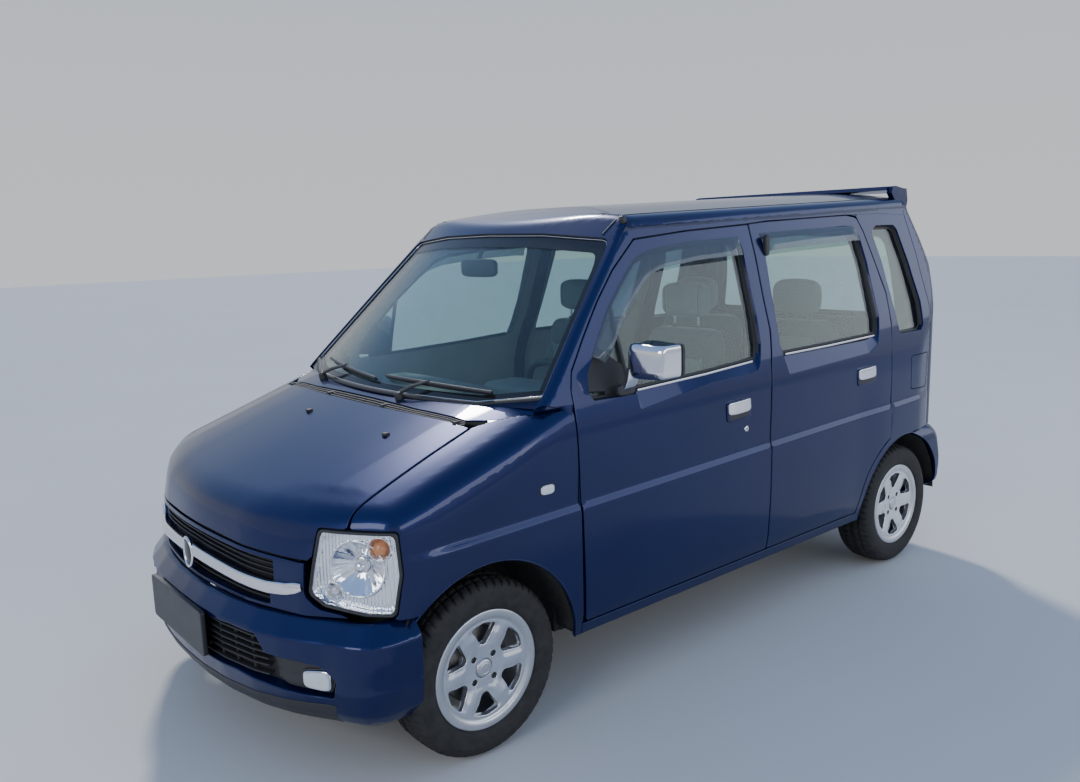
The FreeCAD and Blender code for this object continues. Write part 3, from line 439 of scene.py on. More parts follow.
def cast(f, p, d, lo=-1.4, hi=1.4):
    """Where the line p + t d enters the body, coming from the low end of t."""
    p = np.asarray(p, float)
    d = np.asarray(d, float)
    d = d / np.linalg.norm(d)
    ts = np.linspace(lo, hi, 57)
    a = np.full(len(p), lo)
    b = np.full(len(p), hi)
    found = np.zeros(len(p), bool)
    prev = f(p + lo * d)
    for t0, t1 in zip(ts[:-1], ts[1:]):
        now = f(p + t1 * d)
        hit = (~found) & (prev > 0) & (now <= 0)
        a[hit], b[hit] = t0, t1
        found |= hit
        prev = now
    for _ in range(26):
        m = 0.5 * (a + b)
        out = f(p + m[:, None] * d) > 0
        a = np.where(out, m, a)
        b = np.where(out, b, m)
    return p + b[:, None] * d


def settle(f, p, n=6):
    """Moves points near the surface onto it."""
    p = p.copy()
    for _ in range(n):
        g = grad(f, p)
        v = f(p)
        e = 0.002
        slope = (f(p + g * e) - v) / e
        p -= g * (v / np.where(np.abs(slope) < 0.2, 0.2, slope))[:, None]
    return p


# ------------------------------------------------------------- outline tools
def rounded(rows, radius=0.012, step=0.012, counts=None, closed=True, scale=0.001, bend=5):
    """Outline with rounded corners, cut into short runs. A row may hold its own radius."""
    pts = [np.array(r[:2], float) * scale for r in rows]
    rads = [r[2] * scale if len(r) > 2 else radius for r in rows]
    n = len(pts)
    out, used = [], []
    corner = []
    for i in range(n):
        a, b, c = pts[i - 1], pts[i], pts[(i + 1) % n]
        if not closed and i in (0, n - 1):
            corner.append((b, b, b))
            continue
        u, v = a - b, c - b
        lu, lv = np.linalg.norm(u), np.linalg.norm(v)
        cosang = np.clip(np.dot(u, v) / (lu * lv), -1, 1)
        ang = math.acos(cosang)
        t = min(rads[i] / max(math.tan(ang / 2), 1e-3), 0.46 * lu, 0.46 * lv)
        corner.append((b + u / lu * t, b, b + v / lv * t))
    for i in range(n):
        p0, p1, p2 = corner[i]
        for k in range(bend + 1):
            s = k / bend
            out.append((1 - s) ** 2 * p0 + 2 * s * (1 - s) * p1 + s * s * p2)
        if not closed and i == n - 1:
            break
        nxt = corner[(i + 1) % n][0]
        if counts is None:
            m = max(1, int(math.ceil(np.linalg.norm(nxt - p2) / step)))
        else:
            m = counts[len(used)]
        used.append(m)
        for k in range(1, m):
            out.append(p2 + (nxt - p2) * k / m)
    return np.array(out), used


def clean(loop, tol=1e-5):
    keep = [0]
    for i in range(1, len(loop)):
        if np.linalg.norm(loop[i] - loop[keep[-1]]) > tol:
            keep.append(i)
    if np.linalg.norm(loop[keep[-1]] - loop[0]) < tol:
        keep.pop()
    return loop[keep]


def area2(q):
    return 0.5 * float(np.sum(q[:, 0] * np.roll(q[:, 1], -1) - np.roll(q[:, 0], -1) * q[:, 1]))


def grow(rows, d):
    """Outline rows moved outwards by d millimetres, corner by corner."""
    q = np.array([r[:2] for r in rows], float)
    if area2(q) < 0:
        d = -d
    n = len(q)
    out = []
    for i in range(n):
        a, b, c = q[i - 1], q[i], q[(i + 1) % n]
        u = (b - a) / np.linalg.norm(b - a)
        v = (c - b) / np.linalg.norm(c - b)
        nu, nv = np.array([u[1], -u[0]]), np.array([v[1], -v[0]])
        m = nu + nv
        m = m / max(np.dot(m, m) / 2, 0.35)
        out.append((b[0] + m[0] * d, b[1] + m[1] * d) + tuple(rows[i][2:]))
    return out


def inside(q, poly):
    """Which points of q lie in the polygon."""
    x, y = q[:, 0][:, None], q[:, 1][:, None]
    a, b = poly, np.roll(poly, -1, axis=0)
    cond = (a[:, 1][None] > y) != (b[:, 1][None] > y)
    with np.errstate(divide="ignore", invalid="ignore"):
        xi = a[:, 0][None] + (y - a[:, 1][None]) * (b[:, 0] - a[:, 0])[None] / (b[:, 1] - a[:, 1])[None]
    return (np.sum(cond & (x < xi), axis=1) % 2) == 1


def edge_distance(q, poly):
    a, b = poly, np.roll(poly, -1, axis=0)
    best = np.full(len(q), 1e9)
    for i in range(0, len(q), 4000):
        p = q[i:i + 4000][:, None, :]
        ab = (b - a)[None]
        t = np.clip(np.sum((p - a[None]) * ab, axis=2) / np.maximum(np.sum(ab * ab, axis=2), 1e-12), 0, 1)
        d = np.linalg.norm(p - (a[None] + t[..., None] * ab), axis=2)
        best[i:i + 4000] = d.min(axis=1)
    return best


# ------------------------------------------------------------- mesh gathering
class Shell:
    """Collects faces with their own normals and materials, then becomes one piece."""

    def __init__(self):
        self.v, self.n, self.f, self.m, self.count = [], [], [], [], 0

    def add(self, verts, normals, faces, mat):
        verts = np.asarray(verts, float)
        normals = np.asarray(normals, float)
        self.v.append(verts)
        self.n.append(normals)
        for face in faces:
            self.f.append(tuple(int(i) + self.count for i in face))
            self.m.append(mat)
        self.count += len(verts)

    def strip(self, a, b, na, nb, mat, closed=True, flip=False):
        """Faces between two rows of points."""
        n = len(a)
        faces = []
        last = n if closed else n - 1
        for i in range(last):
            j = (i + 1) % n
            q = (i, j, n + j, n + i)
            faces.append(q[::-1] if flip else q)
        verts = np.vstack([a, b])
        # turn each face so that it looks along its normals
        nn = np.vstack([na, nb])
        fixed = []
        for q in faces:
            p = verts[list(q)]
            g = np.cross(p[2] - p[0], p[3] - p[1])
            fixed.append(q if np.dot(g, nn[list(q)].sum(axis=0)) >= 0 else q[::-1])
        self.add(verts, nn, fixed, mat)

    def ribbon(self, rows, mat, closed=False, normals=None, flip=False):
        """Smooth sheet through rows of points; rows is (m, n, 3)."""
        rows = np.asarray(rows, float)
        m, n = rows.shape[:2]
        if normals is None:
            du = np.gradient(rows, axis=1) if not closed else (np.roll(rows, -1, 1) - np.roll(rows, 1, 1))
            dv = np.gradient(rows, axis=0)
            normals = np.cross(du, dv)
            ln = np.linalg.norm(normals, axis=2)[..., None]
            normals = normals / np.maximum(ln, 1e-12)
            if flip:
                normals = -normals
        faces = []
        wrap = n if closed else n - 1
        for i in range(m - 1):
            for j in range(wrap):
                k = (j + 1) % n
                faces.append((i * n + j, i * n + k, (i + 1) * n + k, (i + 1) * n + j))
        verts = rows.reshape(-1, 3)
        nn = np.asarray(normals).reshape(-1, 3)
        p = verts[np.array(faces)]
        g = np.cross(p[:, 2] - p[:, 0], p[:, 3] - p[:, 1])
        s = np.sum(g * nn[np.array(faces)].sum(axis=1), axis=1)
        faces = [q if s[i] >= 0 else q[::-1] for i, q in enumerate(faces)]
        self.add(verts, nn, faces, mat)

    def mirrored(self):
        o = Shell()
        o.v = [v * np.array([1, -1, 1]) for v in self.v]
        o.n = [v * np.array([1, -1, 1]) for v in self.n]
        o.f = [f[::-1] for f in self.f]
        o.m = list(self.m)
        o.count = self.count
        return o

    def both(self):
        o = self.mirrored()
        for v, n in zip(list(o.v), list(o.n)):
            self.v.append(v)
            self.n.append(n)
        for f, m in zip(o.f, o.m):
            self.f.append(tuple(i + self.count for i in f))
            self.m.append(m)
        self.count += o.count
        return self

    def piece(self, name, body, slot=None, replaces=(), shade=True):
        verts = np.vstack(self.v)
        normals = np.vstack(self.n)
        me = bpy.data.meshes.new(name)
        me.from_pydata(verts.tolist(), [], self.f)
        names = []
        index = []
        for key in self.m:
            if key not in names:
                names.append(key)
            index.append(names.index(key))
        for key in names:
            me.materials.append(M[key])
        me.polygons.foreach_set("material_index", index)
        me.polygons.foreach_set("use_smooth", [shade] * len(me.polygons))
        me.update()
        if shade:
            ln = np.linalg.norm(normals, axis=1)
            normals[ln < 1e-6] = (0, 0, 1)
            me.normals_split_custom_set_from_vertices(normals.tolist())
        ob = bpy.data.objects.new(name, me)
        bpy.context.scene.collection.objects.link(ob)
        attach(ob, body)
        if replaces:
            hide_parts(*replaces)
        return ob


def basis(d):
    d = np.asarray(d, float) / np.linalg.norm(d)
    e1 = np.cross(d, (0, 0, 1.0))
    if np.linalg.norm(e1) < 0.3:
        e1 = np.array([1.0, 0, 0]) - d * d[0]
    e1 /= np.linalg.norm(e1)
    return e1, np.cross(e1, d), d


def uv_patch(sh, fn, nfn, loops, mat, spacing=0.02, hems=None, extra=None, hem_mat=None, curl=0.0028, depth=0.014,
             keep_off=0.0042):
    """A sheet over a flat outline. fn carries flat points to their place, nfn gives normals there.
    loops[0] is the outside, the rest are holes; each edge rolls over by curl and goes down depth."""
    rims2, rings = [], []
    for k, loop in enumerate(loops):
        q = clean(np.asarray(loop, float))
        t = np.roll(q, -1, 0) - np.roll(q, 1, 0)
        t /= np.maximum(np.linalg.norm(t, axis=1), 1e-9)[:, None]
        o = np.stack([t[:, 1], -t[:, 0]], axis=1) * (1.0 if area2(q) > 0 else -1.0)
        if k > 0:
            o = -o
        c = curl if hems is None or hems[k] is None else hems[k][0]
        if hems is not None and hems[k] is None:
            c = 0.0
        rim2 = q - o * c
        rim = fn(rim2)
        nrm = nfn(rim2)
        out = fn(rim2 + o * 0.0012) - rim
        out -= nrm * np.sum(out * nrm, axis=1)[:, None]
        out /= np.maximum(np.linalg.norm(out, axis=1), 1e-9)[:, None]
        rims2.append(rim2)
        rings.append((rim, out, nrm, c))
    outer = rims2[0]
    lo, hi = outer.min(0), outer.max(0)
    nx, ny = int((hi[0] - lo[0]) / spacing) + 2, int((hi[1] - lo[1]) / (spacing * 0.866)) + 2
    gx, gy = np.meshgrid(np.arange(nx), np.arange(ny))
    grid = np.stack([lo[0] + (gx + 0.5 * (gy % 2)) * spacing, lo[1] + gy * spacing * 0.866], axis=2).reshape(-1, 2)
    if extra is not None and len(extra):
        feature = np.asarray(extra, float)
        keep = np.ones(len(grid), bool)
        for i in range(0, len(grid), 2000):
            dd = np.linalg.norm(grid[i:i + 2000][:, None] - feature[None], axis=2).min(axis=1)
            keep[i:i + 2000] = dd > spacing * 0.5
        grid = np.vstack([grid[keep], feature])
    ok = inside(grid, outer)
    for hole in rims2[1:]:
        ok &= ~inside(grid, hole)
    grid = grid[ok]
    gap = np.full(len(grid), 1e9)
    for r in rims2:
        gap = np.minimum(gap, edge_distance(grid, r))
    grid = grid[gap > keep_off]
    pts, edges, base = [], [], 0
    for r in rims2:
        pts.append(r)
        edges += [(base + i, base + (i + 1) % len(r)) for i in range(len(r))]
        base += len(r)
    pts.append(grid)
    res = delaunay_2d_cdt([Vector(p) for p in np.vstack(pts)], edges, [], 0, 1e-7)
    v2 = np.array([(p.x, p.y) for p in res[0]])
    tris = np.array([t for t in res[2] if len(t) == 3], int)
    cen = v2[tris].mean(axis=1)
    ok = inside(cen, outer)
    for hole in rims2[1:]:
        ok &= ~inside(cen, hole)
    tris = tris[ok]
    used = np.unique(tris)
    remap = np.full(len(v2), -1)
    remap[used] = np.arange(len(used))
    v2, tris = v2[used], remap[tris]
    v3 = fn(v2)
    nn = nfn(v2)
    g = np.cross(v3[tris[:, 1]] - v3[tris[:, 0]], v3[tris[:, 2]] - v3[tris[:, 0]])
    s = np.sum(g * nn[tris].sum(axis=1), axis=1)
    tris = np.where((s >= 0)[:, None], tris, tris[:, ::-1])
    sh.add(v3, nn, tris, mat)
    ends = []
    for k, (rim, out, nrm, c) in enumerate(rings):
        if hems is not None and hems[k] is None:
            ends.append((rim, out, nrm))
            continue
        dep = depth if hems is None else hems[k][1]
        prev, pn = rim, nrm
        for a in (0.5, 1.0, math.pi / 2):
            cur = rim + out * c * math.sin(a) - nrm * c * (1 - math.cos(a))
            cn = nrm * math.cos(a) + out * math.sin(a)
            sh.strip(prev, cur, pn, cn, mat)
            prev, pn = cur, cn
        end = prev
        if dep > c + 1e-5:
            end = rim + out * c - nrm * dep
            sh.strip(prev, end, out, out, hem_mat or mat)
        ends.append((end, out, nrm))
    return ends


def patch(sh, f, d, loops, mat, lines=(), inward=False, far=-2.3, **kw):
    """A painted skin: the part of surface f inside loops[0] and outside the rest, seen along d."""
    e1, e2, d = basis(d)
    sign = -1.0 if inward else 1.0

    def fn(q):
        return cast(f, q[:, :1] * e1 + q[:, 1:] * e2 + d * far, d, 0.0, 3.2)

    def nfn(q):
        return grad(f, fn(q)) * sign

    flat = [np.stack([np.asarray(l) @ e1, np.asarray(l) @ e2], axis=1) for l in loops]
    extra = [np.stack([np.asarray(l) @ e1, np.asarray(l) @ e2], axis=1) for l in lines]
    return uv_patch(sh, fn, nfn, flat, mat, extra=np.vstack(extra) if extra else None, **kw)


def flat_normals(fn, flip=False, e=0.0009):
    """Normals of a carried sheet, from its own slopes."""
    def nfn(q):
        a = fn(q + np.array([e, 0])) - fn(q - np.array([e, 0]))
        b = fn(q + np.array([0, e])) - fn(q - np.array([0, e]))
        n = np.cross(a, b)
        n /= np.maximum(np.linalg.norm(n, axis=1), 1e-12)[:, None]
        return -n if flip else n
    return nfn


def matched(a_rows, b_rows, radius=0.01, step=0.012):
    """Two outlines with the same number of points, in step with each other."""
    a, used = rounded(a_rows, radius, step)
    b, _ = rounded(b_rows, radius, step, counts=used)
    keep = [0]
    for i in range(1, len(a)):
        if np.linalg.norm(a[i] - a[keep[-1]]) > 3e-5:
            keep.append(i)
    if np.linalg.norm(a[keep[-1]] - a[0]) < 3e-5:
        keep.pop()
    return a[keep], b[keep]


def sheet(sh, rows, mat, closed=False, toward=None, away=None, flip=False):
    """Smooth sheet through rows of points; normals face the given place. mat may be a function of (row, column)."""
    rows = np.asarray(rows, float)
    m, n = rows.shape[:2]
    du = (np.roll(rows, -1, 1) - np.roll(rows, 1, 1)) if closed else np.gradient(rows, axis=1)
    dv = np.gradient(rows, axis=0)
    nrm = np.cross(du, dv)
    nrm /= np.maximum(np.linalg.norm(nrm, axis=2)[..., None], 1e-12)
    if toward is not None:
        if np.sum(nrm * (np.asarray(toward) - rows)) < 0:
            nrm = -nrm
    elif away is not None:
        if np.sum(nrm * (rows - np.asarray(away))) < 0:
            nrm = -nrm
    elif flip:
        nrm = -nrm
    groups = {}
    wrap = n if closed else n - 1
    for i in range(m - 1):
        for j in range(wrap):
            k = (j + 1) % n
            key = mat(i, j) if callable(mat) else mat
            groups.setdefault(key, []).append((i * n + j, i * n + k, (i + 1) * n + k, (i + 1) * n + j))
    verts, nn = rows.reshape(-1, 3), nrm.reshape(-1, 3)
    for key, faces in groups.items():
        fa = np.array(faces)
        p = verts[fa]
        g = np.cross(p[:, 2] - p[:, 0], p[:, 3] - p[:, 1])
        s = np.sum(g * nn[fa].sum(axis=1), axis=1)
        fixed = [tuple(q) if s[i] >= 0 else tuple(q[::-1]) for i, q in enumerate(fa)]
        used = np.unique(fa)
        remap = {int(u): i for i, u in enumerate(used)}
        sh.add(verts[used], nn[used], [tuple(remap[int(v)] for v in f) for f in fixed], key)
    return nrm


def sweep(sh, path, profile, mat, normal=(0, 0, 1), closed=False, round_profile=True, caps=True, scale=None):
    """A profile of (side, up) points carried along a path; up follows the given normal."""
    path = np.asarray(path, float)
    n = len(path)
    t = np.gradient(path, axis=0) if not closed else np.roll(path, -1, 0) - np.roll(path, 1, 0)
    t /= np.maximum(np.linalg.norm(t, axis=1), 1e-12)[:, None]
    up = np.broadcast_to(np.asarray(normal, float), (n, 3)).copy()
    up -= t * np.sum(up * t, axis=1)[:, None]
    up /= np.maximum(np.linalg.norm(up, axis=1), 1e-12)[:, None]
    side = np.cross(t, up)
    pr = np.asarray(profile, float)
    sc = np.ones(n) if scale is None else np.asarray(scale, float)
    rows = path[:, None, :] + sc[:, None, None] * (side[:, None, :] * pr[None, :, :1] + up[:, None, :] * pr[None, :, 1:])
    cen = path.mean(axis=0)
    if closed:
        rows = np.concatenate([rows, rows[:1]], axis=0)
    m, k = rows.shape[:2]
    mid = rows.mean(axis=1)[:, None, :]
    du = np.roll(rows, -1, 1) - np.roll(rows, 1, 1)
    dv = np.gradient(rows, axis=0)
    nrm = np.cross(du, dv)
    nrm /= np.maximum(np.linalg.norm(nrm, axis=2)[..., None], 1e-12)
    if np.sum(nrm * (rows - mid)) < 0:
        nrm = -nrm
    faces = []
    for i in range(m - 1):
        for j in range(k):
            jj = (j + 1) % k
            faces.append((i * k + j, i * k + jj, (i + 1) * k + jj, (i + 1) * k + j))
    verts, nn = rows.reshape(-1, 3), nrm.reshape(-1, 3)
    fa = np.array(faces)
    p = verts[fa]
    g = np.cross(p[:, 2] - p[:, 0], p[:, 3] - p[:, 1])
    s = np.sum(g * nn[fa].sum(axis=1), axis=1)
    sh.add(verts, nn, [tuple(q) if s[i] >= 0 else tuple(q[::-1]) for i, q in enumerate(fa)], mat)
    if caps and not closed:
        for row, d in ((rows[0], -t[0]), (rows[-1], t[-1])):
            c = row.mean(axis=0)
            vs = np.vstack([row, c])
            fs = []
            for j in range(k):
                jj = (j + 1) % k
                g = np.cross(row[jj] - row[j], c - row[j])
                fs.append((j, jj, k) if np.dot(g, d) > 0 else (jj, j, k))
            sh.add(vs, np.tile(d, (k + 1, 1)), fs, mat)
    del cen
    return rows


def oval(a, b, n=16, e=1.0):
    """Rounded profile, half sizes a and b; e below 1 makes it squarer."""
    out = []
    for i in range(n):
        t = 2 * math.pi * i / n
        c, s = math.cos(t), math.sin(t)
        out.append((a * math.copysign(abs(c) ** e, c), b * math.copysign(abs(s) ** e, s)))
    return out


def block(sh, centre, half, mat, e=0.3, n=28, axes=None, shape=None):
    """A crowned body: a box with its edges and corners drawn round. shape may bend its points."""
    u = np.linspace(-math.pi / 2, math.pi / 2, n)
    v = np.linspace(-math.pi, math.pi, 2 * n + 1)[:-1]
    # closer rows where the surface turns
    u = u + 0.18 * np.sin(4 * u) * 0.5
    v = v - 0.10 * np.sin(4 * v)
    uu, vv = np.meshgrid(u, v, indexing="ij")

    def pw(x, k):
        return np.sign(x) * np.abs(x) ** k
    p = np.stack([pw(np.cos(uu), e) * pw(np.cos(vv), e), pw(np.cos(uu), e) * pw(np.sin(vv), e), pw(np.sin(uu), e)], axis=2)
    p = p * np.asarray(half)
    if shape is not None:
        p = shape(p)
    if axes is not None:
        p = p @ np.asarray(axes)
    p = p + np.asarray(centre)
    du = np.roll(p, -1, 1) - np.roll(p, 1, 1)
    dv = np.gradient(p, axis=0)
    nrm = np.cross(du, dv)
    nrm /= np.maximum(np.linalg.norm(nrm, axis=2)[..., None], 1e-12)
    if np.sum(nrm * (p - np.asarray(centre))) < 0:
        nrm = -nrm
    nrm[0] = nrm[1].mean(axis=0)
    nrm[-1] = nrm[-2].mean(axis=0)
    m, k = p.shape[:2]
    faces = []
    for i in range(m - 1):
        for j in range(k):
            jj = (j + 1) % k
            if i == 0:
                faces.append((i * k, (i + 1) * k + jj, (i + 1) * k + j))
            elif i == m - 2:
                faces.append((i * k + j, i * k + jj, (i + 1) * k))
            else:
                faces.append((i * k + j, i * k + jj, (i + 1) * k + jj, (i + 1) * k + j))
    verts, nn = p.reshape(-1, 3), nrm.reshape(-1, 3)
    fixed = []
    for f in faces:
        q = verts[list(f)]
        g = np.cross(q[1] - q[0], q[2] - q[0]) if len(f) == 3 else np.cross(q[2] - q[0], q[3] - q[1])
        fixed.append(f if np.dot(g, nn[list(f)].sum(axis=0)) >= 0 else f[::-1])
    sh.add(verts, nn, fixed, mat)


def lathe(sh, centre, axis, rows, mat, n=48, flip=False, span=(0, 2 * math.pi), bump=None):
    """Rows of (radius, along) turned about an axis."""
    e1, e2, ax = basis(axis)
    closed = abs(span[1] - span[0] - 2 * math.pi) < 1e-6
    th = np.linspace(span[0], span[1], n + 1)[:-1] if closed else np.linspace(span[0], span[1], n)
    rows = np.asarray(rows, float)
    r = rows[:, 0][:, None] * np.ones(len(th))[None]
    h = rows[:, 1][:, None] * np.ones(len(th))[None]
    if bump is not None:
        r, h = bump(r, h, th[None, :])
    p = (np.asarray(centre) + (r * np.cos(th))[..., None] * e1 + (r * np.sin(th))[..., None] * e2 + h[..., None] * ax)
    sheet(sh, p, mat, closed=closed, flip=flip)
    return p


def at_side(rows2, f=f_cabin, hand=1):
    """x, z outline on the left side of the body."""
    p = np.stack([rows2[:, 0], np.full(len(rows2), 1.3), rows2[:, 1]], axis=1)
    return cast(f, p, (0, -1, 0), 0.0, 1.25)


def at_top(rows2, f=f_cabin):
    p = np.stack([rows2[:, 0], rows2[:, 1], np.full(len(rows2), 2.2)], axis=1)
    return cast(f, p, (0, 0, -1), 0.0, 2.0)


def at_front(rows2, f=f_cabin, x=2.2):
    """y, z outline seen from the front."""
    p = np.stack([np.full(len(rows2), x), rows2[:, 0], rows2[:, 1]], axis=1)
    return cast(f, p, (-1, 0, 0), 0.0, 2.6)


def at_back(rows2, f=f_cabin):
    p = np.stack([np.full(len(rows2), -2.2), rows2[:, 0], rows2[:, 1]], axis=1)
    return cast(f, p, (1, 0, 0), 0.0, 1.6)


def resample(line, n):
    """n points evenly along a polyline."""
    line = np.asarray(line, float)
    seg = np.linalg.norm(np.diff(line, axis=0), axis=1)
    s = np.concatenate([[0], np.cumsum(seg)])
    t = np.linspace(0, s[-1], n)
    return np.stack([np.interp(t, s, line[:, i]) for i in range(line.shape[1])], axis=1)


def between(sh, f, a, b, mat, rows=7, hem_a=None, hem_b=None, hem_mat=None, inset=0.0028):
    """A skin that runs from edge line a to edge line b over surface f."""
    sheet = []
    for k in range(rows):
        t = k / (rows - 1)
        sheet.append(settle(f, a * (1 - t) + b * t))
    sheet = np.array(sheet)
    nrm = np.array([grad(f, r) for r in sheet])
    sh.ribbon(sheet, mat, normals=nrm)
    for row, n, nxt, hem in ((sheet[0], nrm[0], sheet[1], hem_a), (sheet[-1], nrm[-1], sheet[-2], hem_b)):
        if not hem:
            continue
        out = row - nxt
        out -= n * np.sum(out * n, axis=1)[:, None]
        out /= np.maximum(np.linalg.norm(out, axis=1), 1e-9)[:, None]
        prev, pn = row, n
        c = inset
        for ang in (0.5, 1.0, math.pi / 2):
            cur = row + out * c * math.sin(ang) - n * c * (1 - math.cos(ang))
            cn = n * math.cos(ang) + out * math.sin(ang)
            sh.strip(prev, cur, pn, cn, mat, closed=False)
            prev, pn = cur, cn
        end = row + out * c - n * hem
        sh.strip(prev, end, out, out, hem_mat or mat, closed=False)
    return sheet, nrm


# ------------------------------------------------------------------ outlines, mm
FRONT_DOOR = [(704, 690), (708, 915), (708, 1055), (691, 1108), (619, 1194), (516, 1310), (421, 1402),
              (290, 1500, 30), (19, 1523, 60), (-336, 1541, 5), (-336, 1425), (-316, 1151), (-283, 1030), (-266, 917),
              (-258, 670), (-252, 316, 5), (694, 316, 14)]
ARC = [(-1262.5 + 372 * math.cos(math.radians(a)), 270 + 372 * math.sin(math.radians(a)))
       for a in (67.2, 60, 52.5, 45, 37.5, 30, 22.5, 15, 7.1)]
REAR_DOOR = [(-261, 316, 5), (-267, 670), (-276, 917), (-293, 1030), (-326, 1151), (-346, 1425), (-346, 1543, 5),
             (-459, 1551), (-1022, 1570), (-1094, 1560, 34), (-1122, 1500), (-1157, 1359), (-1180, 1237),
             (-1163, 1111), (-1132, 969), (-1122, 775)] + ARC
FRONT_A = [(-222, 1040, 26), (-245, 1105), (-262, 1210), (-274, 1448, 20), (-266, 1494, 26), (19, 1484), (225, 1462),
           (300, 1436), (375, 1372), (470, 1284), (572, 1170), (630, 1095), (640, 1040), (625, 1014, 8),
           (434, 1010, 3), (428, 958, 14), (74, 1001), (-150, 1006, 20), (-204, 1014, 20)]
FRONT_B = [(-219, 1060, 20), (-242, 1105), (-259, 1210), (-271, 1448, 18), (-262, 1490, 24), (19, 1480), (223, 1458),
           (297, 1433), (372, 1369), (467, 1281), (568, 1167), (625, 1093), (634, 1041), (622, 1019, 8),
           (430, 1018, 3), (424, 1017, 6), (74, 1030), (-150, 1041, 8), (-204, 1046, 12)]
REAR_A = [(-392, 976, 16), (-370, 1050, 10), (-363, 1090), (-408, 1451, 18), (-402, 1504, 26), (-1000, 1528), (-1060, 1518, 30),
          (-1085, 1480), (-1096, 1367), (-1080, 1140), (-1057, 1078, 30), (-1034, 1030, 20), (-961, 999)]
REAR_B = [(-389, 1046, 8), (-370, 1060, 10), (-366, 1090), (-411, 1451, 16), (-405, 1500, 24), (-1000, 1524), (-1056, 1514, 28),
          (-1081, 1478), (-1092, 1367), (-1076, 1140), (-1052, 1082, 24), (-1018, 1060, 16), (-961, 1052)]
QUARTER = [(-1228, 1055, 14), (-1219, 1105), (-1218, 1358), (-1192, 1500, 22), (-1238, 1526, 20), (-1382, 1526, 22),
           (-1405, 1508), (-1437, 1358), (-1452, 1185), (-1434, 1080, 20), (-1406, 1056, 14)]
FLAP = [(-1300, 800, 18), (-1466, 792, 16), (-1480, 936, 16), (-1466, 950, 16), (-1312, 950, 16), (-1300, 938, 16)]
SCREEN = [(0, 1012), (520, 1012), (728, 1040, 26), (722, 1062, 20), (584, 1506, 44), (300, 1528), (0, 1533)]
TAILGATE = [(0, 612), (560, 612, 16), (600, 660), (606, 1000), (560, 1400), (520, 1640, 20), (0, 1700)]
BACK_WINDOW = [(0, 1075), (520, 1075, 30), (548, 1105, 26), (505, 1440), (470, 1500, 34), (0, 1515)]
TAIL_LAMP = [(614, 655, 10), (745, 655, 20), (752, 700), (742, 1010, 20), (618, 1010, 10)]
ARCH_R = 0.335


def matched_many(*sets, radius=0.01, step=0.014):
    a, used = rounded(sets[0], radius, step)
    rest = [rounded(r, radius, step, counts=used)[0] for r in sets[1:]]
    keep = [0]
    for i in range(1, len(a)):
        if np.linalg.norm(a[i] - a[keep[-1]]) > 3e-5:
            keep.append(i)
    if np.linalg.norm(a[keep[-1]] - a[0]) < 3e-5:
        keep.pop()
    return [a[keep]] + [r[keep] for r in rest]


def sunk(rows2, depth, f=f_cabin):
    """Side outline, carried inwards by depth."""
    p = at_side(rows2, f)
    n = grad(f, p)
    return p - n * (depth[:, None] if isinstance(depth, np.ndarray) else depth)


def line_rows(x0, x1, f, step=0.02, offs=(-0.010, -0.004, -0.002, 0.0065, 0.015, 0.0172, 0.024)):
    """Extra points along the character line, so that its step is crisp."""
    out = []
    for o in offs:
        x = np.arange(x0, x1, step)
        out.append(at_side(np.stack([x, LINE(x) + o], axis=1), f))
    return out


def make_door(rows, a_rows, b_rows, x0, x1):
    sh = Shell()
    outer, inner = matched_many(grow(rows, 2.0), grow(rows, -20.0), radius=0.008, step=0.02)
    A, B, C, D = matched_many(a_rows, b_rows, grow(b_rows, -8.0), grow(b_rows, -4.0), radius=0.016, step=0.014)
    ends = patch(sh, f_cabin, (0, -1, 0), [at_side(outer), at_side(A)], "paint", lines=line_rows(x0, x1, f_cabin),
                 spacing=0.021, hems=[(0.0026, 0.018), (0.002, 0.002)])
    hem, lip = ends[0][0], ends[1][0]
    wide = np.linalg.norm(A - B, axis=1)
    band = smoothstep((wide - 0.008) / 0.018)
    b3 = sunk(B, 0.0200 - 0.0060 * band)
    mid = lip * 0.62 + b3 * 0.38
    cen = b3.mean(axis=0) + np.array([0, 0.05, 0])
    edge = band > 0.3

    def tone(i, j):
        return "paint" if (edge[j] or i == 0) else "black"
    sheet(sh, [lip, mid, b3], tone, closed=True, toward=cen)
    c3 = sunk(C, 0.0212)
    ledge = b3 * 0.5 + c3 * 0.5 + np.array([0, 0.0012, 0])
    sheet(sh, [b3, ledge, c3], "seal", closed=True, toward=cen + np.array([0, 0.2, 0]))
    d3, e3 = sunk(C, 0.030), sunk(D, 0.052)
    sheet(sh, [c3, d3, e3], "black", closed=True, toward=cen - np.array([0, 0.08, 0]))
    # hem, flange and wall to the inner card
    f3, g3 = sunk(inner, 0.018), sunk(inner, 0.052)
    inn = f_off(f_cabin, -0.052)
    nh = -grad(f_cabin, hem + 0)
    sh.strip(hem, f3, nh, nh, "paint_in")
    out = f3 - f3.mean(axis=0)
    out[:, 1] = 0
    out /= np.linalg.norm(out, axis=1)[:, None]
    sh.strip(f3, g3, out, out, "paint_in")
    patch(sh, inn, (0, -1, 0), [at_side(inner, inn), at_side(D, inn)], "dash_low", inward=True, spacing=0.045,
          hems=[None, None])
    return sh, b3


def strip_along(sh, rows2, depth, profile, mat, f=f_cabin, step=0.02):
    p = at_side(resample(np.array(rows2) * 0.001, max(3, int(np.linalg.norm(np.diff(np.array(rows2), axis=0), axis=1).sum() * 0.001 / step))), f)
    n = grad(f, p)
    sweep(sh, p - n * depth, profile, mat, normal=(0, 1, 0))


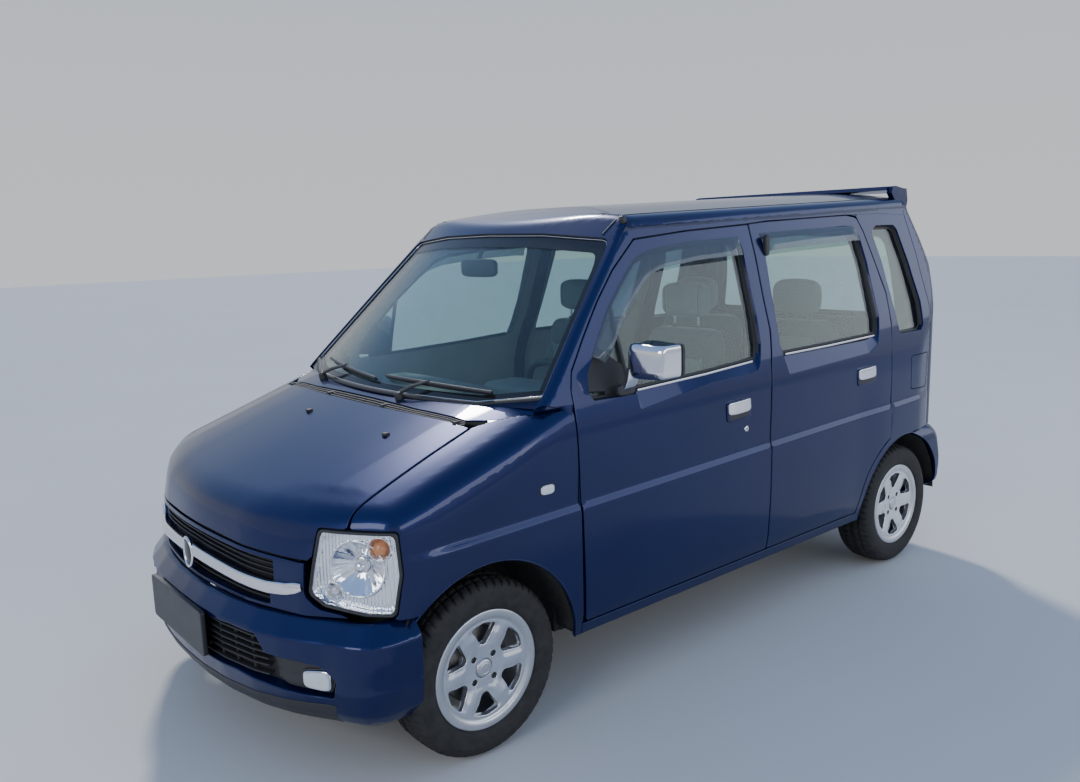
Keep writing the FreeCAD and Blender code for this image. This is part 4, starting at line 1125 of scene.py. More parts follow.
# ------------------------------------------------------------------ doors
front, _ = make_door(FRONT_DOOR, FRONT_A, FRONT_B, -0.30, 0.71)
rear, _ = make_door(REAR_DOOR, REAR_A, REAR_B, -1.14, -0.25)
# bright belt strips and black wipe seals along the foot of each window
strip_along(front, [(421, 1021), (74, 1033), (-190, 1048)], 0.0120, oval(0.0042, 0.0030, 12, 0.7), "chrome")
strip_along(rear, [(-394, 1053), (-690, 1057), (-1030, 1066)], 0.0120, oval(0.0042, 0.0030, 12, 0.7), "chrome")
strip_along(front, [(560, 1030), (421, 1030), (74, 1042), (-205, 1058)], 0.0195, oval(0.0070, 0.0035, 12, 0.7), "seal")
strip_along(rear, [(-380, 1062), (-690, 1066), (-1046, 1076)], 0.0195, oval(0.0070, 0.0035, 12, 0.7), "seal")
# upright division bar and corner sail behind the front pillar
bar = at_side(resample(np.array([(0.452, 1.022), (0.452, 1.298)]), 12))
sweep(front, bar - np.array([0, 0.0195, 0]), oval(0.008, 0.005, 12, 0.6), "black", normal=(0, 1, 0))
sail2, _ = rounded([(640, 1040, 8), (455, 1020, 4), (455, 1100, 10), (560, 1176, 10), (628, 1098, 10)], 0.008, 0.02)
patch(front, f_off(f_cabin, -0.0165), (0, -1, 0), [at_side(sail2, f_off(f_cabin, -0.0165))], "black", spacing=0.03,
      hems=[(0.0015, 0.005)])


def handle(sh, x, z, tilt):
    """Pull handle: bright cover over a finger scoop in a bright rim; the scoop is a black patch, painted shade under
    the cover.
    """
    p = at_side(np.array([(x, z)]))[0]
    n = grad(f_cabin, p[None])[0]
    t = np.array([math.cos(tilt), 0, math.sin(tilt)])
    t -= n * np.dot(t, n)
    t /= np.linalg.norm(t)
    u = np.cross(n, t)
    if u[2] < 0:
        u = -u
    ax = np.array([t, n, u])
    block(sh, p + n * 0.0010, (0.069, 0.0030, 0.037), "paint", e=0.35, n=16, axes=ax)

    def arch(q):
        q = q.copy()
        q[..., 1] += 0.010 * (1 - (q[..., 0] / 0.064) ** 2)
        return q
    block(sh, p + n * 0.0035 + u * 0.014, (0.064, 0.0070, 0.0225), "chrome", e=0.28, n=20, axes=ax, shape=arch)
    # black patch under the cover: painted shade standing in for the shadowed finger scoop, which is really body colour
    block(sh, p + n * 0.0024 - u * 0.0175, (0.059, 0.0024, 0.0125), "black", e=0.45, n=14, axes=ax)


handle(front, -0.072, 0.884, -0.05)
handle(rear, -0.930, 0.905, -0.05)
lock = at_side(np.array([(-0.118, 0.808)]))[0]
ln = grad(f_cabin, lock[None])[0]
lathe(front, lock, ln, [(0.0001, 0.0035), (0.006, 0.0036), (0.0105, 0.0030), (0.0115, 0.0), (0.0115, -0.004)], "chrome", n=20)
block(front, lock + ln * 0.004, (0.0012, 0.0008, 0.005), "black", e=0.4, n=8)


def visor(sh, top2, low2):
    """Tinted rain guard over a window: a curved strip with its own thickness."""
    n = 40
    top, low = resample(np.array(top2) * 0.001, n), resample(np.array(low2) * 0.001, n)
    t3, l3 = at_side(top), at_side(low)
    nt = grad(f_cabin, t3)
    rows = []
    for k in range(7):
        s = k / 6
        stand = 0.0015 + 0.0165 * (1 - (1 - s) ** 2.2)
        rows.append(t3 * (1 - s) + l3 * s + nt * stand)
    ends = np.minimum(np.arange(n), np.arange(n)[::-1]) / 2.0
    soft = smoothstep(ends)[None, :, None]
    rows = np.array(rows)
    flat = np.array([t3 * (1 - k / 6) + l3 * k / 6 + nt * 0.0012 for k in range(7)])
    rows = rows * (0.25 + 0.75 * soft) + flat * (0.75 - 0.75 * soft)
    inner = rows - nt[None] * 0.0022
    mid = rows.mean(axis=(0, 1))
    sheet(sh, rows, "visor", away=mid - np.array([0, 0.3, 0]))
    sheet(sh, inner, "visor", toward=mid - np.array([0, 0.3, 0]))
    for a, b in ((rows[0], inner[0]), (rows[-1], inner[-1]), (rows[:, 0], inner[:, 0]), (rows[:, -1], inner[:, -1])):
        sheet(sh, [a, b], "visor", away=mid)


visor_front = Shell()
visor(visor_front, [(596, 1146), (478, 1290), (384, 1378), (305, 1442), (228, 1468), (19, 1490), (-264, 1499)],
      [(548, 1120), (424, 1262), (342, 1330), (276, 1376), (206, 1398), (14, 1418), (-262, 1429)])
visor_rear = Shell()
visor(visor_rear, [(-398, 1509), (-700, 1520), (-1062, 1527)], [(-404, 1437), (-700, 1450), (-1076, 1462)])
cap_at = at_side(np.array([(-0.404, 1.462)]))[0]
block(visor_rear, cap_at + np.array([-0.006, 0.010, 0]), (0.012, 0.010, 0.040), "black", e=0.5, n=14)

# ------------------------------------------------------------------ mirrors
mirror = Shell()


def mirror_form(p):
    """Drawn in towards the outer end, creased level across the front."""
    q = p.copy()
    out = np.clip((q[..., 1] + 0.069) / 0.138, 0, 1)
    q[..., 0] *= 1 - 0.26 * out ** 3
    q[..., 2] *= 1 - 0.08 * out ** 2
    q[..., 0] += np.where(q[..., 0] > 0, -0.30 * np.abs(q[..., 2] + 0.004), 0)
    return q


block(mirror, (0.464, 0.871, 1.1300), (0.068, 0.069, 0.0570), "chrome", e=0.20, n=44, shape=mirror_form)
block(mirror, (0.3960, 0.869, 1.130), (0.004, 0.059, 0.045), "mirror_glass", e=0.22, n=20)
block(mirror, (0.4005, 0.870, 1.130), (0.006, 0.064, 0.051), "black", e=0.22, n=20)
sweep(mirror, resample(np.array([(0.500, 0.776, 1.040), (0.500, 0.794, 1.052), (0.500, 0.806, 1.076), (0.498, 0.812, 1.104)]), 14),
      oval(0.026, 0.0125, 18, 0.5), "chrome", normal=(0, 1, 0))
block(mirror, (0.500, 0.774, 1.034), (0.038, 0.014, 0.018), "black", e=0.5, n=18)

for hand in ("left", "right"):
    m = hand == "right"
    for sh, name in ((front, "front"), (rear, "rear")):
        s = sh.mirrored() if m else sh
        s.piece("%s_door_skin_%s" % (name, hand), "%s_door_%s" % (name, hand), "body_paint",
                ["%s_door_%s" % (name, hand)])
    for sh, name in ((visor_front, "front"), (visor_rear, "rear")):
        s = sh.mirrored() if m else sh
        s.piece("%s_rain_guard_%s" % (name, hand), "%s_door_%s" % (name, hand), "glass")
    s = mirror.mirrored() if m else mirror
    s.piece("door_mirror_shell_%s" % hand, "front_door_%s" % hand, "chrome_trim", ["door_mirror_%s" % hand])

# ------------------------------------------------------------------ fixed skins of the sides
GF, GR = grow(FRONT_DOOR, 7.0), grow(REAR_DOOR, 7.0)


def mm(rows):
    return np.array([r[:2] for r in rows], float) * 0.001


def arc_pts(cx, r, a0, a1, n, cz=0.27):
    a = np.radians(np.linspace(a0, a1, n))
    return np.stack([cx + r * np.cos(a), cz + r * np.sin(a)], axis=1)


def side_skin(with_flap):
    sh = Shell()
    top = np.array([(-1.1062, 1.5775), (-1.30, 1.579), (-1.498, 1.572)])
    up = mm(GR[9:16])[::-1]                       # foot of the pillar to the top of the door opening
    door_arc = arc_pts(-1.2625, 0.365, 8.0, 66.5, 12)
    wheel = arc_pts(-1.2625, ARCH_R, 96.5, 0.4, 30)
    ring = np.vstack([
        [(0.7095, 0.2725), (0.7095, 0.3085)],
        resample(np.array([(0.69, 0.3085), (-0.880, 0.3085)]), 60), [(-0.9005, 0.3105)],
        door_arc, up, top,
        resample(np.array([(-1.52, 1.40), (-1.522, 0.6075)]), 30),
        resample(np.array([(-1.50, 0.6075), (-1.318, 0.6075)]), 8),
        wheel, resample(np.array([(-0.915, 0.2725), (0.69, 0.2725)]), 60)])
    Q, QB, QC = matched_many(QUARTER, grow(QUARTER, -3.0), grow(QUARTER, -11.0), radius=0.014, step=0.014)
    loops = [at_side(ring), at_side(Q)]
    hems = [(0.0028, 0.014), (0.002, 0.002)]
    if with_flap:
        F, _ = rounded(grow(FLAP, 1.5), 0.016, 0.012)
        loops.append(at_side(F))
        hems.append((0.0014, 0.006))
    ends = patch(sh, f_cabin, (0, -1, 0), loops, "paint", lines=line_rows(-1.53, -1.10, f_cabin), spacing=0.020, hems=hems)
    lip = ends[1][0]
    b3, c3 = sunk(QB, 0.0195), sunk(QC, 0.0212)
    cen = b3.mean(axis=0) + np.array([0, 0.05, 0])
    sheet(sh, [lip, lip * 0.7 + b3 * 0.3, b3], lambda i, j: "paint" if i == 0 else "black", closed=True, toward=cen)
    sheet(sh, [b3, c3], "seal", closed=True, toward=cen + np.array([0, 0.3, 0]))
    # rolled lip of the wheel opening
    p = at_side(arc_pts(-1.2625, ARCH_R + 0.002, 99.5, 0.4, 50))
    sweep(sh, p - np.array([0, 0.005, 0]), oval(0.0035, 0.006, 12), "paint", normal=(0, 1, 0))
    return sh


def pillar_and_rail():
    """Front pillar and roof rail: from the door openings to the windscreen and the roof seam."""
    sh = Shell()
    door1 = np.vstack([[(0.7150, 1.014)], mm(GF[2:7]), mm(GF[7:8])])       # up the pillar
    door2 = np.vstack([mm(GF[7:9]), [(-0.33, 1.5482)], mm(GR[7:9]), [(-1.075, 1.5755), (-1.1062, 1.5775), (-1.30, 1.579), (-1.498, 1.572)]])
    edge = rounded(grow(SCREEN, 3.0), 0.024, 0.012, closed=False)[0]
    i0 = int(np.argmax(edge[:, 0]))
    side = edge[i0:]
    keep = side[(side[:, 1] > 1.030) & (side[:, 0] > 0.559)]
    s3 = at_front(keep)
    s3 = np.vstack([[(0.846, 0.729, 1.010)], s3])
    a1 = at_side(resample(door1, 46))
    b1 = settle(f_cabin, resample(s3, 46))
    corner = b1[-1]
    b2 = settle(f_cabin, resample(np.vstack([corner, [(0.40, 0.552, 1.545), (0.0, 0.55, 1.59), (-0.7, 0.55, 1.62), (-1.505, 0.55, 1.63)]]), 70))
    a2 = at_side(resample(door2, 70))
    between(sh, f_cabin, a1, b1, "paint", rows=9, hem_a=0.014, hem_b=0.010)
    # foot of the pillar, down to the fender and the cowl
    foot = settle(f_cabin, np.array([a1[0] * (1 - t) + b1[0] * t for t in np.linspace(0, 1, 14)]))
    root = at_top(resample(np.array([(0.7150, 0.778), (0.76, 0.749), (0.80, 0.739), (0.838, 0.722)]), 14), f_nose)
    root[0] = np.array([0.7150, foot[0][1] - 0.001, 1.004])
    half_way = 0.5 * (foot + root) - np.array([0, 0.0, 0.0])
    sheet(sh, [foot, half_way, root - np.array([0, 0.003, 0.001])], "paint", toward=np.array([1.6, 1.6, 2.0]))
    sill_a = at_front(resample(np.array([(0.56, 1.0145), (0.64, 1.024), (0.70, 1.034), (0.7285, 1.040)]), 12), f_screen)
    sill_b = at_top(resample(np.array([(0.948, 0.640), (0.905, 0.668), (0.866, 0.692), (0.838, 0.722)]), 12), f_off(f_nose, -0.0015))
    sheet(sh, [sill_a, 0.5 * (sill_a + sill_b) - np.array([0, 0, 0.004]), sill_b], "paint", toward=np.array([1.6, 1.6, 2.0]))
    between(sh, f_cabin, a2, b2, "paint", rows=9, hem_a=0.014, hem_b=None)
    return sh, b2


rail, seam = pillar_and_rail()


def corner_skin():
    """Rear corner round to the tailgate, cut out for the tail lamp."""
    sh = Shell()
    side = at_side(resample(np.array([(-1.522, 0.6075), (-1.52, 1.40), (-1.498, 1.572)]), 46))
    top = settle(f_cabin, resample(np.vstack([side[-1], seam[-1], [(-1.53, 0.527, 1.632)]]), 10))
    gate = at_back(resample(np.array([(0.526, 1.632), (0.565, 1.40), (0.611, 1.018)]), 26))
    lamp = at_back(resample(np.array([(0.611, 1.0135), (0.735, 1.0135), (0.7445, 1.006), (0.7555, 0.70), (0.748, 0.653),
                                      (0.612, 0.652), (0.603, 0.640)]), 46))
    low = at_back(resample(np.array([(0.603, 0.6075), (0.74, 0.6075)]), 8))
    ring = np.vstack([side, top[1:], gate[1:], lamp, low])
    turn = turn_line(np.arange(0.625, 1.60, 0.012))
    turn = turn[(turn[:, 0] > -1.64) & (turn[:, 0] < -1.46) & (turn[:, 1] > 0.56) & (turn[:, 1] < 0.80)]
    rows = [settle(f_cabin, turn + np.array(o)) for o in ((0, 0, 0), (0.0035, 0, 0), (0.008, 0, 0), (0, -0.0035, 0), (0, -0.008, 0))]
    patch(sh, f_cabin, (1, -1, -0.25), [ring], "paint", spacing=0.02, hems=[(0.0024, 0.012)],
          lines=rows + [settle(f_cabin, np.stack([np.full(8, -1.53), np.full(8, 0.76), np.full(8, 0.765 + o)], axis=1)) for o in (-0.004, 0.0)])
    return sh


corner = corner_skin()
left = side_skin(True)
right = side_skin(False).mirrored()
rail.both()
corner.both()
left.piece("side_skin_left", "body", "body_paint")
right.piece("side_skin_right", "body", "body_paint")
rail.piece("pillar_and_rail_skin", "body", "body_paint")
corner.piece("rear_corner_skin", "body", "body_paint")

flap = Shell()
fl, _ = rounded(grow(FLAP, -1.5), 0.016, 0.012)
patch(flap, f_cabin, (0, -1, 0), [at_side(fl)], "paint", spacing=0.02, hems=[(0.0014, 0.005)])
flap.piece("fuel_flap_skin", "fuel_flap", "body_paint", ["fuel_flap"])

# roof skin, down to the windscreen's top edge
roof = Shell()
head2 = rounded(grow(SCREEN, 3.0), 0.024, 0.012, closed=False)[0]
head2 = head2[(head2[:, 0] < 0.559) & (head2[:, 1] > 1.4)]
head3 = at_front(np.vstack([[(0.559, seam[0][2])], head2]))
head3[0] = seam[0]
back2 = np.array([(-1.503, 0.52), (-1.480, 0.3), (-1.440, 0.12), (-1.438, 0.0)])
back3 = at_top(back2)
fore = np.vstack([(head3[1:] * np.array([1, -1, 1])), head3[1:][::-1]])
ring = np.vstack([seam, back3[:-1], back3[-1:], (back3[:-1] * np.array([1, -1, 1]))[::-1], (seam * np.array([1, -1, 1]))[::-1], fore])
patch(roof, f_cabin, (-0.25, 0, -1), [ring], "paint", spacing=0.020, hems=[None])
for s in (1, -1):
    path = resample(seam[(seam[:, 0] < 0.375)], 90) * np.array([1, s, 1])
    sweep(roof, path + grad(f_cabin, path) * 0.0002, oval(0.0042, 0.0016, 8), "seal", normal=(0, 0, 1))
mast = settle(f_cabin, np.array([[0.300, 0.575, 1.553]]))[0]
mast_n = grad(f_cabin, mast[None])[0]
lathe(roof, mast, mast_n, [(0.0001, 0.017), (0.006, 0.0165), (0.009, 0.012), (0.012, 0.003), (0.0135, -0.003)], "black", n=20)
roof.piece("roof_skin", "body", "body_paint")

# ------------------------------------------------------------------ nose
LAMP = np.array([(1.499, 0.590, 0.760), (1.362, 0.772, 0.760), (1.357, 0.777, 0.640), (1.365, 0.758, 0.524),
                 (1.419, 0.690, 0.5225), (1.493, 0.597, 0.543), (1.526, 0.561, 0.576)])
LAMP_ROUND = (1.0, 1.0, 1.0, 1.0, 1.0, 1.2, 1.4)
LAMP_D = np.array([-0.79, -0.61, 0.0])
LAMP_C = np.array([1.4335, 0.676, 0.6343])


def lamp_flat(rows):
    e1, e2, d = basis(LAMP_D)
    return np.stack([rows @ e1, rows @ e2], axis=1)


def lamp_loop(grow_mm, radius=0.016, step=0.012):
    q = lamp_flat(LAMP) * 1000.0
    rows = [(x, y, radius * 1000 * k) for (x, y), k in zip(q, LAMP_ROUND)]
    return rounded(grow(rows, grow_mm), radius, step)[0]


def lamp_3d(q, back=0.0, f=None):
    e1, e2, d = basis(LAMP_D)
    p = cast(f or f_nose, q[:, :1] * e1 + q[:, 1:] * e2 + d * -2.6, d, 0.0, 3.0)
    return p + d * back


LAMP_OUT = lamp_3d(lamp_loop(3.0))


def lamp_edge(zsel):
    """Part of the lamp's outline, as points on the skin."""
    return LAMP_OUT[zsel(LAMP_OUT)]


def order(p, axis, rising=True):
    i = np.argsort(p[:, axis])
    return p[i] if rising else p[i[::-1]]


GAP_LINE = np.array([(1.000, 0.6200), (1.060, 0.6225), (1.150, 0.6270), (1.231, 0.6340), (1.304, 0.6415), (1.350, 0.6470),
                     (1.385, 0.6515), (1.406, 0.6545)])
GAP_DROP = np.array([(1.4170, 0.6555, 0.8070), (1.4270, 0.6570, 0.7975), (1.4345, 0.6592, 0.7880), (1.4400, 0.6615, 0.7775),
                     (1.4435, 0.6625, 0.7690)])
GAP_SIDE = np.array([-0.61, 0.79, 0.0]) * 0.0027


def gap_drop(s):
    """The gap's last stretch, steeply down to the headlamp."""
    return cast(f_nose, GAP_DROP + s * GAP_SIDE - LAMP_D * 0.5, LAMP_D, 0.0, 1.5)


def shoulder_rows(offs=(-0.009, -0.0035, 0.0, 0.0035, 0.009)):
    """Extra points along the fender's shoulder crease."""
    z = np.linspace(0.66, 0.97, 600)
    at = []
    for v in np.arange(0.80, 1.32, 0.012):
        over = SIDE_W(z + 0.036 * (v + 0.3)) > NOSE_W(z + 0.348 * (v - 1.3))
        if over.any():
            at.append((v, z[np.argmax(over)]))
    at = np.array(at)
    return [at_side(at + np.array([0.0, o]), f_nose) for o in offs]


def fender_side():
    sh = Shell()
    rear_edge = at_side(resample(np.array([(0.7113, 0.2725), (0.7113, 0.69), (0.7150, 0.915), (0.7150, 1.014)]), 36), f_nose)
    top = at_top(resample(np.array([(0.76, 0.752), (0.80, 0.742), (0.84, 0.724), (0.862, 0.700), (0.93, 0.655), (0.985, 0.626), (1.0, 0.6215)]), 16), f_nose)
    gap = at_top(resample(GAP_LINE + np.array([0, 0.0027]), 40), f_nose)
    drop = gap_drop(1)
    up = lamp_edge(lambda p: (p[:, 2] > 0.7575) & (p[:, 1] > 0.670))
    out = lamp_edge(lambda p: (p[:, 2] <= 0.7575) & (p[:, 2] >= 0.522) & (p[:, 1] > 0.70))
    up, out = order(up, 1), order(out, 2, False)
    end = at_side(np.array([(1.372, 0.5165)]), f_nose)
    low = at_side(resample(np.array([(1.362, 0.5125), (1.309, 0.5125)]), 5), f_nose)
    wheel = at_side(arc_pts(1.0725, ARCH_R, 46.0, 179.6, 40), f_nose)
    ring = np.vstack([rear_edge, top, gap[1:], drop, up, out, end, low, wheel])
    patch(sh, f_nose, (0, -1, -0.8), [ring], "paint", lines=line_rows(0.72, 1.372, f_nose, 0.013) + shoulder_rows(), spacing=0.018,
          hems=[(0.0028, 0.014)])
    p = at_side(arc_pts(1.0725, ARCH_R + 0.002, 43.5, 179.6, 56), f_nose)
    sweep(sh, p - np.array([0, 0.005, 0]), oval(0.0035, 0.006, 12), "paint", normal=(0, 1, 0))
    # small clear side marker
    c = at_side(np.array([(0.843, 0.776)]), f_nose)[0]
    n = grad(f_nose, c[None])[0]
    ax = np.array([(1, 0, 0), n, np.cross((1, 0, 0), n)])
    block(sh, c, (0.029, 0.003, 0.017), "black", e=0.55, n=16, axes=ax)
    block(sh, c + n * 0.001, (0.026, 0.0075, 0.0145), "clear_tail", e=0.6, n=20, axes=ax)
    return sh


fender = fender_side()
fender.both()
fender.piece("front_fender_skins", "body", "body_paint", ["front_fenders"])

# hood
hood = Shell()
rear_row = at_top(resample(np.array([(1.0525, 0.0), (1.0505, 0.15), (1.043, 0.30), (1.030, 0.44), (1.0115, 0.568), (1.0015, 0.6135)]), 30), f_nose)
side_row = at_top(resample(GAP_LINE - np.array([0, 0.0027]), 40), f_nose)
drop = gap_drop(-1)
lamp_top = order(lamp_edge(lambda p: (p[:, 2] > 0.757) & (p[:, 1] < 0.655)), 1, False)
lamp_in = order(lamp_edge(lambda p: (p[:, 2] <= 0.757) & (p[:, 2] > 0.676) & (p[:, 1] < 0.62)), 2, False)
front_row = at_front(resample(np.array([(0.560, 0.668), (0.44, 0.6735), (0.31, 0.6785), (0.15, 0.6855), (0.0, 0.688)]), 30), f_nose)
half = np.vstack([rear_row[1:], side_row[1:], drop, lamp_top, lamp_in, front_row])
ring = np.vstack([rear_row[:1], half, (half[:-1] * np.array([1, -1, 1]))[::-1]])
crease = [np.stack([np.linspace(1.06, 1.50, 30), np.full(30, s * (0.508 + o)), np.zeros(30)], axis=1) for s in (1, -1) for o in (-0.008, 0.0, 0.008, 0.018)]
crease = [at_top(c[:, :2], f_nose) for c in crease]
lipz = []
for k, dz in enumerate((-0.012, 0.0, 0.012)):
    y = np.linspace(-0.55, 0.55, 60)
    lipz.append(at_front(np.stack([y, 0.822 - 0.05 * (y / 0.55) ** 2 + dz], axis=1), f_nose))
patch(hood, f_nose, (-0.62, 0, -0.79), [ring], "paint", lines=crease + lipz, spacing=0.024, hems=[(0.0028, 0.014)])
for y in (-0.111, 0.40):
    c = at_top(np.array([(1.160, y)]), f_nose)[0]
    block(hood, c + np.array([0, 0, 0.003]), (0.011, 0.010, 0.006), "black", e=0.5, n=12)
hood.piece("hood_skin", "hood", "body_paint", ["hood"])

# headlamps: bezel, clear lens, faceted bright bowl, lamps inside
def headlamp():
    sh = Shell()
    e1, e2, d = basis(LAMP_D)
    flat_rows = [(x * 1000, y * 1000, 18 * k) for (x, y), k in zip(lamp_flat(LAMP), LAMP_ROUND)]
    o, i = matched_many(flat_rows, grow(flat_rows, -8.0), radius=0.018, step=0.012)
    o3, i3, b3 = lamp_3d(o, 0.0), lamp_3d(i, 0.001), lamp_3d(o, 0.014)
    mid = lamp_3d(0.5 * (o + i), -0.0015)
    sheet(sh, [b3, o3, mid, i3, lamp_3d(i, 0.010)], "black", closed=True, away=lamp_3d(o, 0.2).mean(axis=0))
    patch(sh, f_off(f_nose, -0.0005), LAMP_D, [lamp_3d(i)], "lens", spacing=0.02, hems=[(0.001, 0.003)])
    c2 = lamp_flat(LAMP_C[None])[0]
    g = lamp_loop(-9.0)
    side = 1.0 if lamp_3d((c2 + np.array([0.05, 0.0]))[None])[0][1] > lamp_3d(c2[None])[0][1] else -1.0
    zc = c2 + np.array([-0.004 * side, 0.014])          # main dish
    za = c2 + np.array([0.062 * side, 0.074])           # turn lamp, high and outboard
    zs = c2 + np.array([-0.078 * side, -0.054])         # side lamp, low and inboard

    def bowl(q):
        p = cast(f_nose, q[:, :1] * e1 + q[:, 1:] * e2 + d * -2.6, d, 0.0, 3.0)
        deep = 0.026 + 0.0016 * np.cos(q[:, 0] * 2 * math.pi / 0.0105)
        for c0, r0, dep in ((zc, 0.078, 0.064), (za, 0.031, 0.050), (zs, 0.026, 0.048)):
            r = np.linalg.norm(q - c0, axis=1)
            th = np.arctan2(q[:, 1] - c0[1], q[:, 0] - c0[0])
            dish = dep - (dep - 0.020) * np.clip(r / r0, 0, 1) ** 2 - 0.0012 * np.abs(np.sin(th * 9.0)) * smoothstep((r / r0 - 0.3) / 0.3)
            w = 1 - smoothstep((r - r0) / 0.004)
            deep = deep * (1 - w) + dish * w
        return p + d * deep[:, None]
    ends = uv_patch(sh, bowl, flat_normals(bowl, False), [g], "reflector", spacing=0.0048, hems=[None])
    rim = ends[0][0]
    sheet(sh, [lamp_3d(g, 0.006), rim], "reflector", closed=True, toward=lamp_3d(g, 0.03).mean(axis=0))
    # thin rings round the dishes, the main bulb's cover, an amber bulb and a small clear one
    for c0, r0, mat, rb, dep in ((zc, 0.079, "chrome", 0.0185, 0.056), (za, 0.032, "amber", 0.0190, 0.040), (zs, 0.027, "clear_tail", 0.0125, 0.042)):
        t = np.linspace(0, 2 * math.pi, 49)[:-1]
        loop = c0 + r0 * np.stack([np.cos(t), np.sin(t)], axis=1)
        sweep(sh, lamp_3d(loop, 0.0205), oval(0.0022, 0.0022, 8), "reflector", normal=tuple(-d), closed=True)
        p = lamp_3d(c0[None])[0]
        lathe(sh, p + d * dep, -d, [(0.0001, rb * 1.55), (rb * 0.55, rb * 1.45), (rb * 0.9, rb * 1.1), (rb, rb * 0.6), (rb * 0.98, 0.0), (rb * 1.15, -0.002)], mat, n=28)
    return sh


lamp = headlamp()
lamp.both()
lamp.piece("headlamp_units", "body", "lamp_lens", ["headlamps"])


# grille, on the nose's front surface: flat places are (y, z)
def face_at(recess=0.0):
    def fn(q):
        y, z = q[:, 0], q[:, 1]
        ahead = NOSE_PLAN_X(np.abs(y)) + NOSE_SIDE_X(z) - 1.635
        slant = 1.365 + (0.770 - np.abs(y)) * 0.618 / 0.786
        x = -smax(-ahead, -slant, 0.012) + SKIN - recess
        return np.stack([x, y, z], axis=1)
    return fn


def facing(fn):
    nfn = flat_normals(fn)
    probe = nfn(np.array([[0.1, 0.6]]))
    return nfn if probe[0, 0] > 0 else flat_normals(fn, True)


grille = Shell()


def top_z(y):
    return 0.681 - 0.0175 * (np.abs(y) / 0.56) ** 1.3


EDGE = np.array([(0.5535, 0.606), (0.5525, 0.580), (0.5570, 0.566), (0.5740, 0.5490), (0.5920, 0.5345), (0.6400, 0.5235), (0.6560, 0.5135)])
y = np.linspace(-0.556, 0.556, 60)
frame_loop = np.vstack([np.stack([y, top_z(y)], axis=1), EDGE,
                        np.stack([y[::-1], np.full(60, 0.5135)], axis=1), EDGE[::-1] * np.array([-1, 1])])
y = np.linspace(-0.448, 0.448, 60)
y_low = np.linspace(-0.428, 0.428, 60)
bar_mid = lambda v: np.interp(np.abs(v), [0, 0.135, 0.343, 0.432, 0.50, 0.542], [0.600, 0.5935, 0.5805, 0.5775, 0.582, 0.592])
slot_a = np.vstack([np.stack([y, top_z(y) - 0.012], axis=1), np.stack([y[::-1], bar_mid(y[::-1]) + 0.010], axis=1)])
slot_b = np.vstack([np.stack([y_low, bar_mid(y_low) - 0.010], axis=1), np.stack([y_low[::-1], np.full(60, 0.5235)], axis=1)])
fn = face_at(0.0)
ends = uv_patch(grille, fn, facing(fn), [frame_loop, slot_a, slot_b], "paint", spacing=0.012,
                hems=[(0.002, 0.012), (0.0022, 0.022), (0.0022, 0.022)])
back = np.array([(-0.51, 0.516), (0.51, 0.516), (0.51, 0.67), (-0.51, 0.67)])
back = resample(np.vstack([back, back[:1]]), 160)[:-1]
fn = face_at(0.034)
uv_patch(grille, fn, facing(fn), [back], "black", spacing=0.04, hems=[None])
for k in range(3):
    for lo_f, hi_f in ((lambda v: bar_mid(v) + 0.012, lambda v: top_z(v) - 0.014), (lambda v: np.full_like(v, 0.5255), lambda v: bar_mid(v) - 0.012)):
        t = (k + 1) / 4
        y = np.linspace(-0.447, 0.447, 60) if lo_f(np.zeros(1))[0] > 0.56 else np.linspace(-0.427, 0.427, 60)
        z = lo_f(y) * (1 - t) + hi_f(y) * t
        p = face_at(0.020)(np.stack([y, z], axis=1))
        sweep(grille, p, [(-0.0018, -0.007), (0.0018, -0.007), (0.0026, 0.006), (0, 0.009), (-0.0026, 0.006)], "black", normal=(1, 0, 0.25))
# bright bar, flattened at its outer ends
y = np.linspace(-0.552, 0.552, 110)
p = face_at(-0.0040)(np.stack([y, np.interp(np.abs(y), [0, 0.135, 0.343, 0.432, 0.50, 0.552], [0.600, 0.5935, 0.5805, 0.5770, 0.583, 0.597])], axis=1))
size = np.interp(np.abs(y), [0, 0.48, 0.535, 0.552], [1, 1, 0.86, 0.55])
sweep(grille, p, [(a * 1.02, b) for a, b in oval(0.0185, 0.0105, 20, 0.62)], "chrome", normal=(1, 0, 0.05), scale=size)
# bare badge: a plain bright ring round a dark, slightly crowned field
c = face_at(-0.014)(np.array([[0.0, 0.586]]))[0]
ring_p = np.array([(c[0] - 2.2 * (0.034 * math.cos(t)) ** 2, 0.034 * math.cos(t), c[2] + 0.046 * math.sin(t)) for t in np.linspace(0, 2 * math.pi, 49)[:-1]])
sweep(grille, ring_p, oval(0.0055, 0.0050, 14), "chrome", normal=(1, 0, 0), closed=True)
block(grille, c - np.array([0.004, 0, 0]), (0.008, 0.032, 0.044), "gloss_black", e=0.9, n=22)
block(grille, c - np.array([0.012, 0, 0]), (0.008, 0.020, 0.034), "black", e=0.9, n=14)
grille.piece("grille_unit", "body", "black_plastic", ["grille"])


# ------------------------------------------------------------------ bumpers: plan curve carried down a profile
def smooth_rows(rows, n=400, passes=60):
    p = resample(np.array(rows, float), n)
    for _ in range(passes):
        q = p.copy()
        q[1:-1] = 0.25 * p[:-2] + 0.5 * p[1:-1] + 0.25 * p[2:]
        p = q
    return resample(p, n)


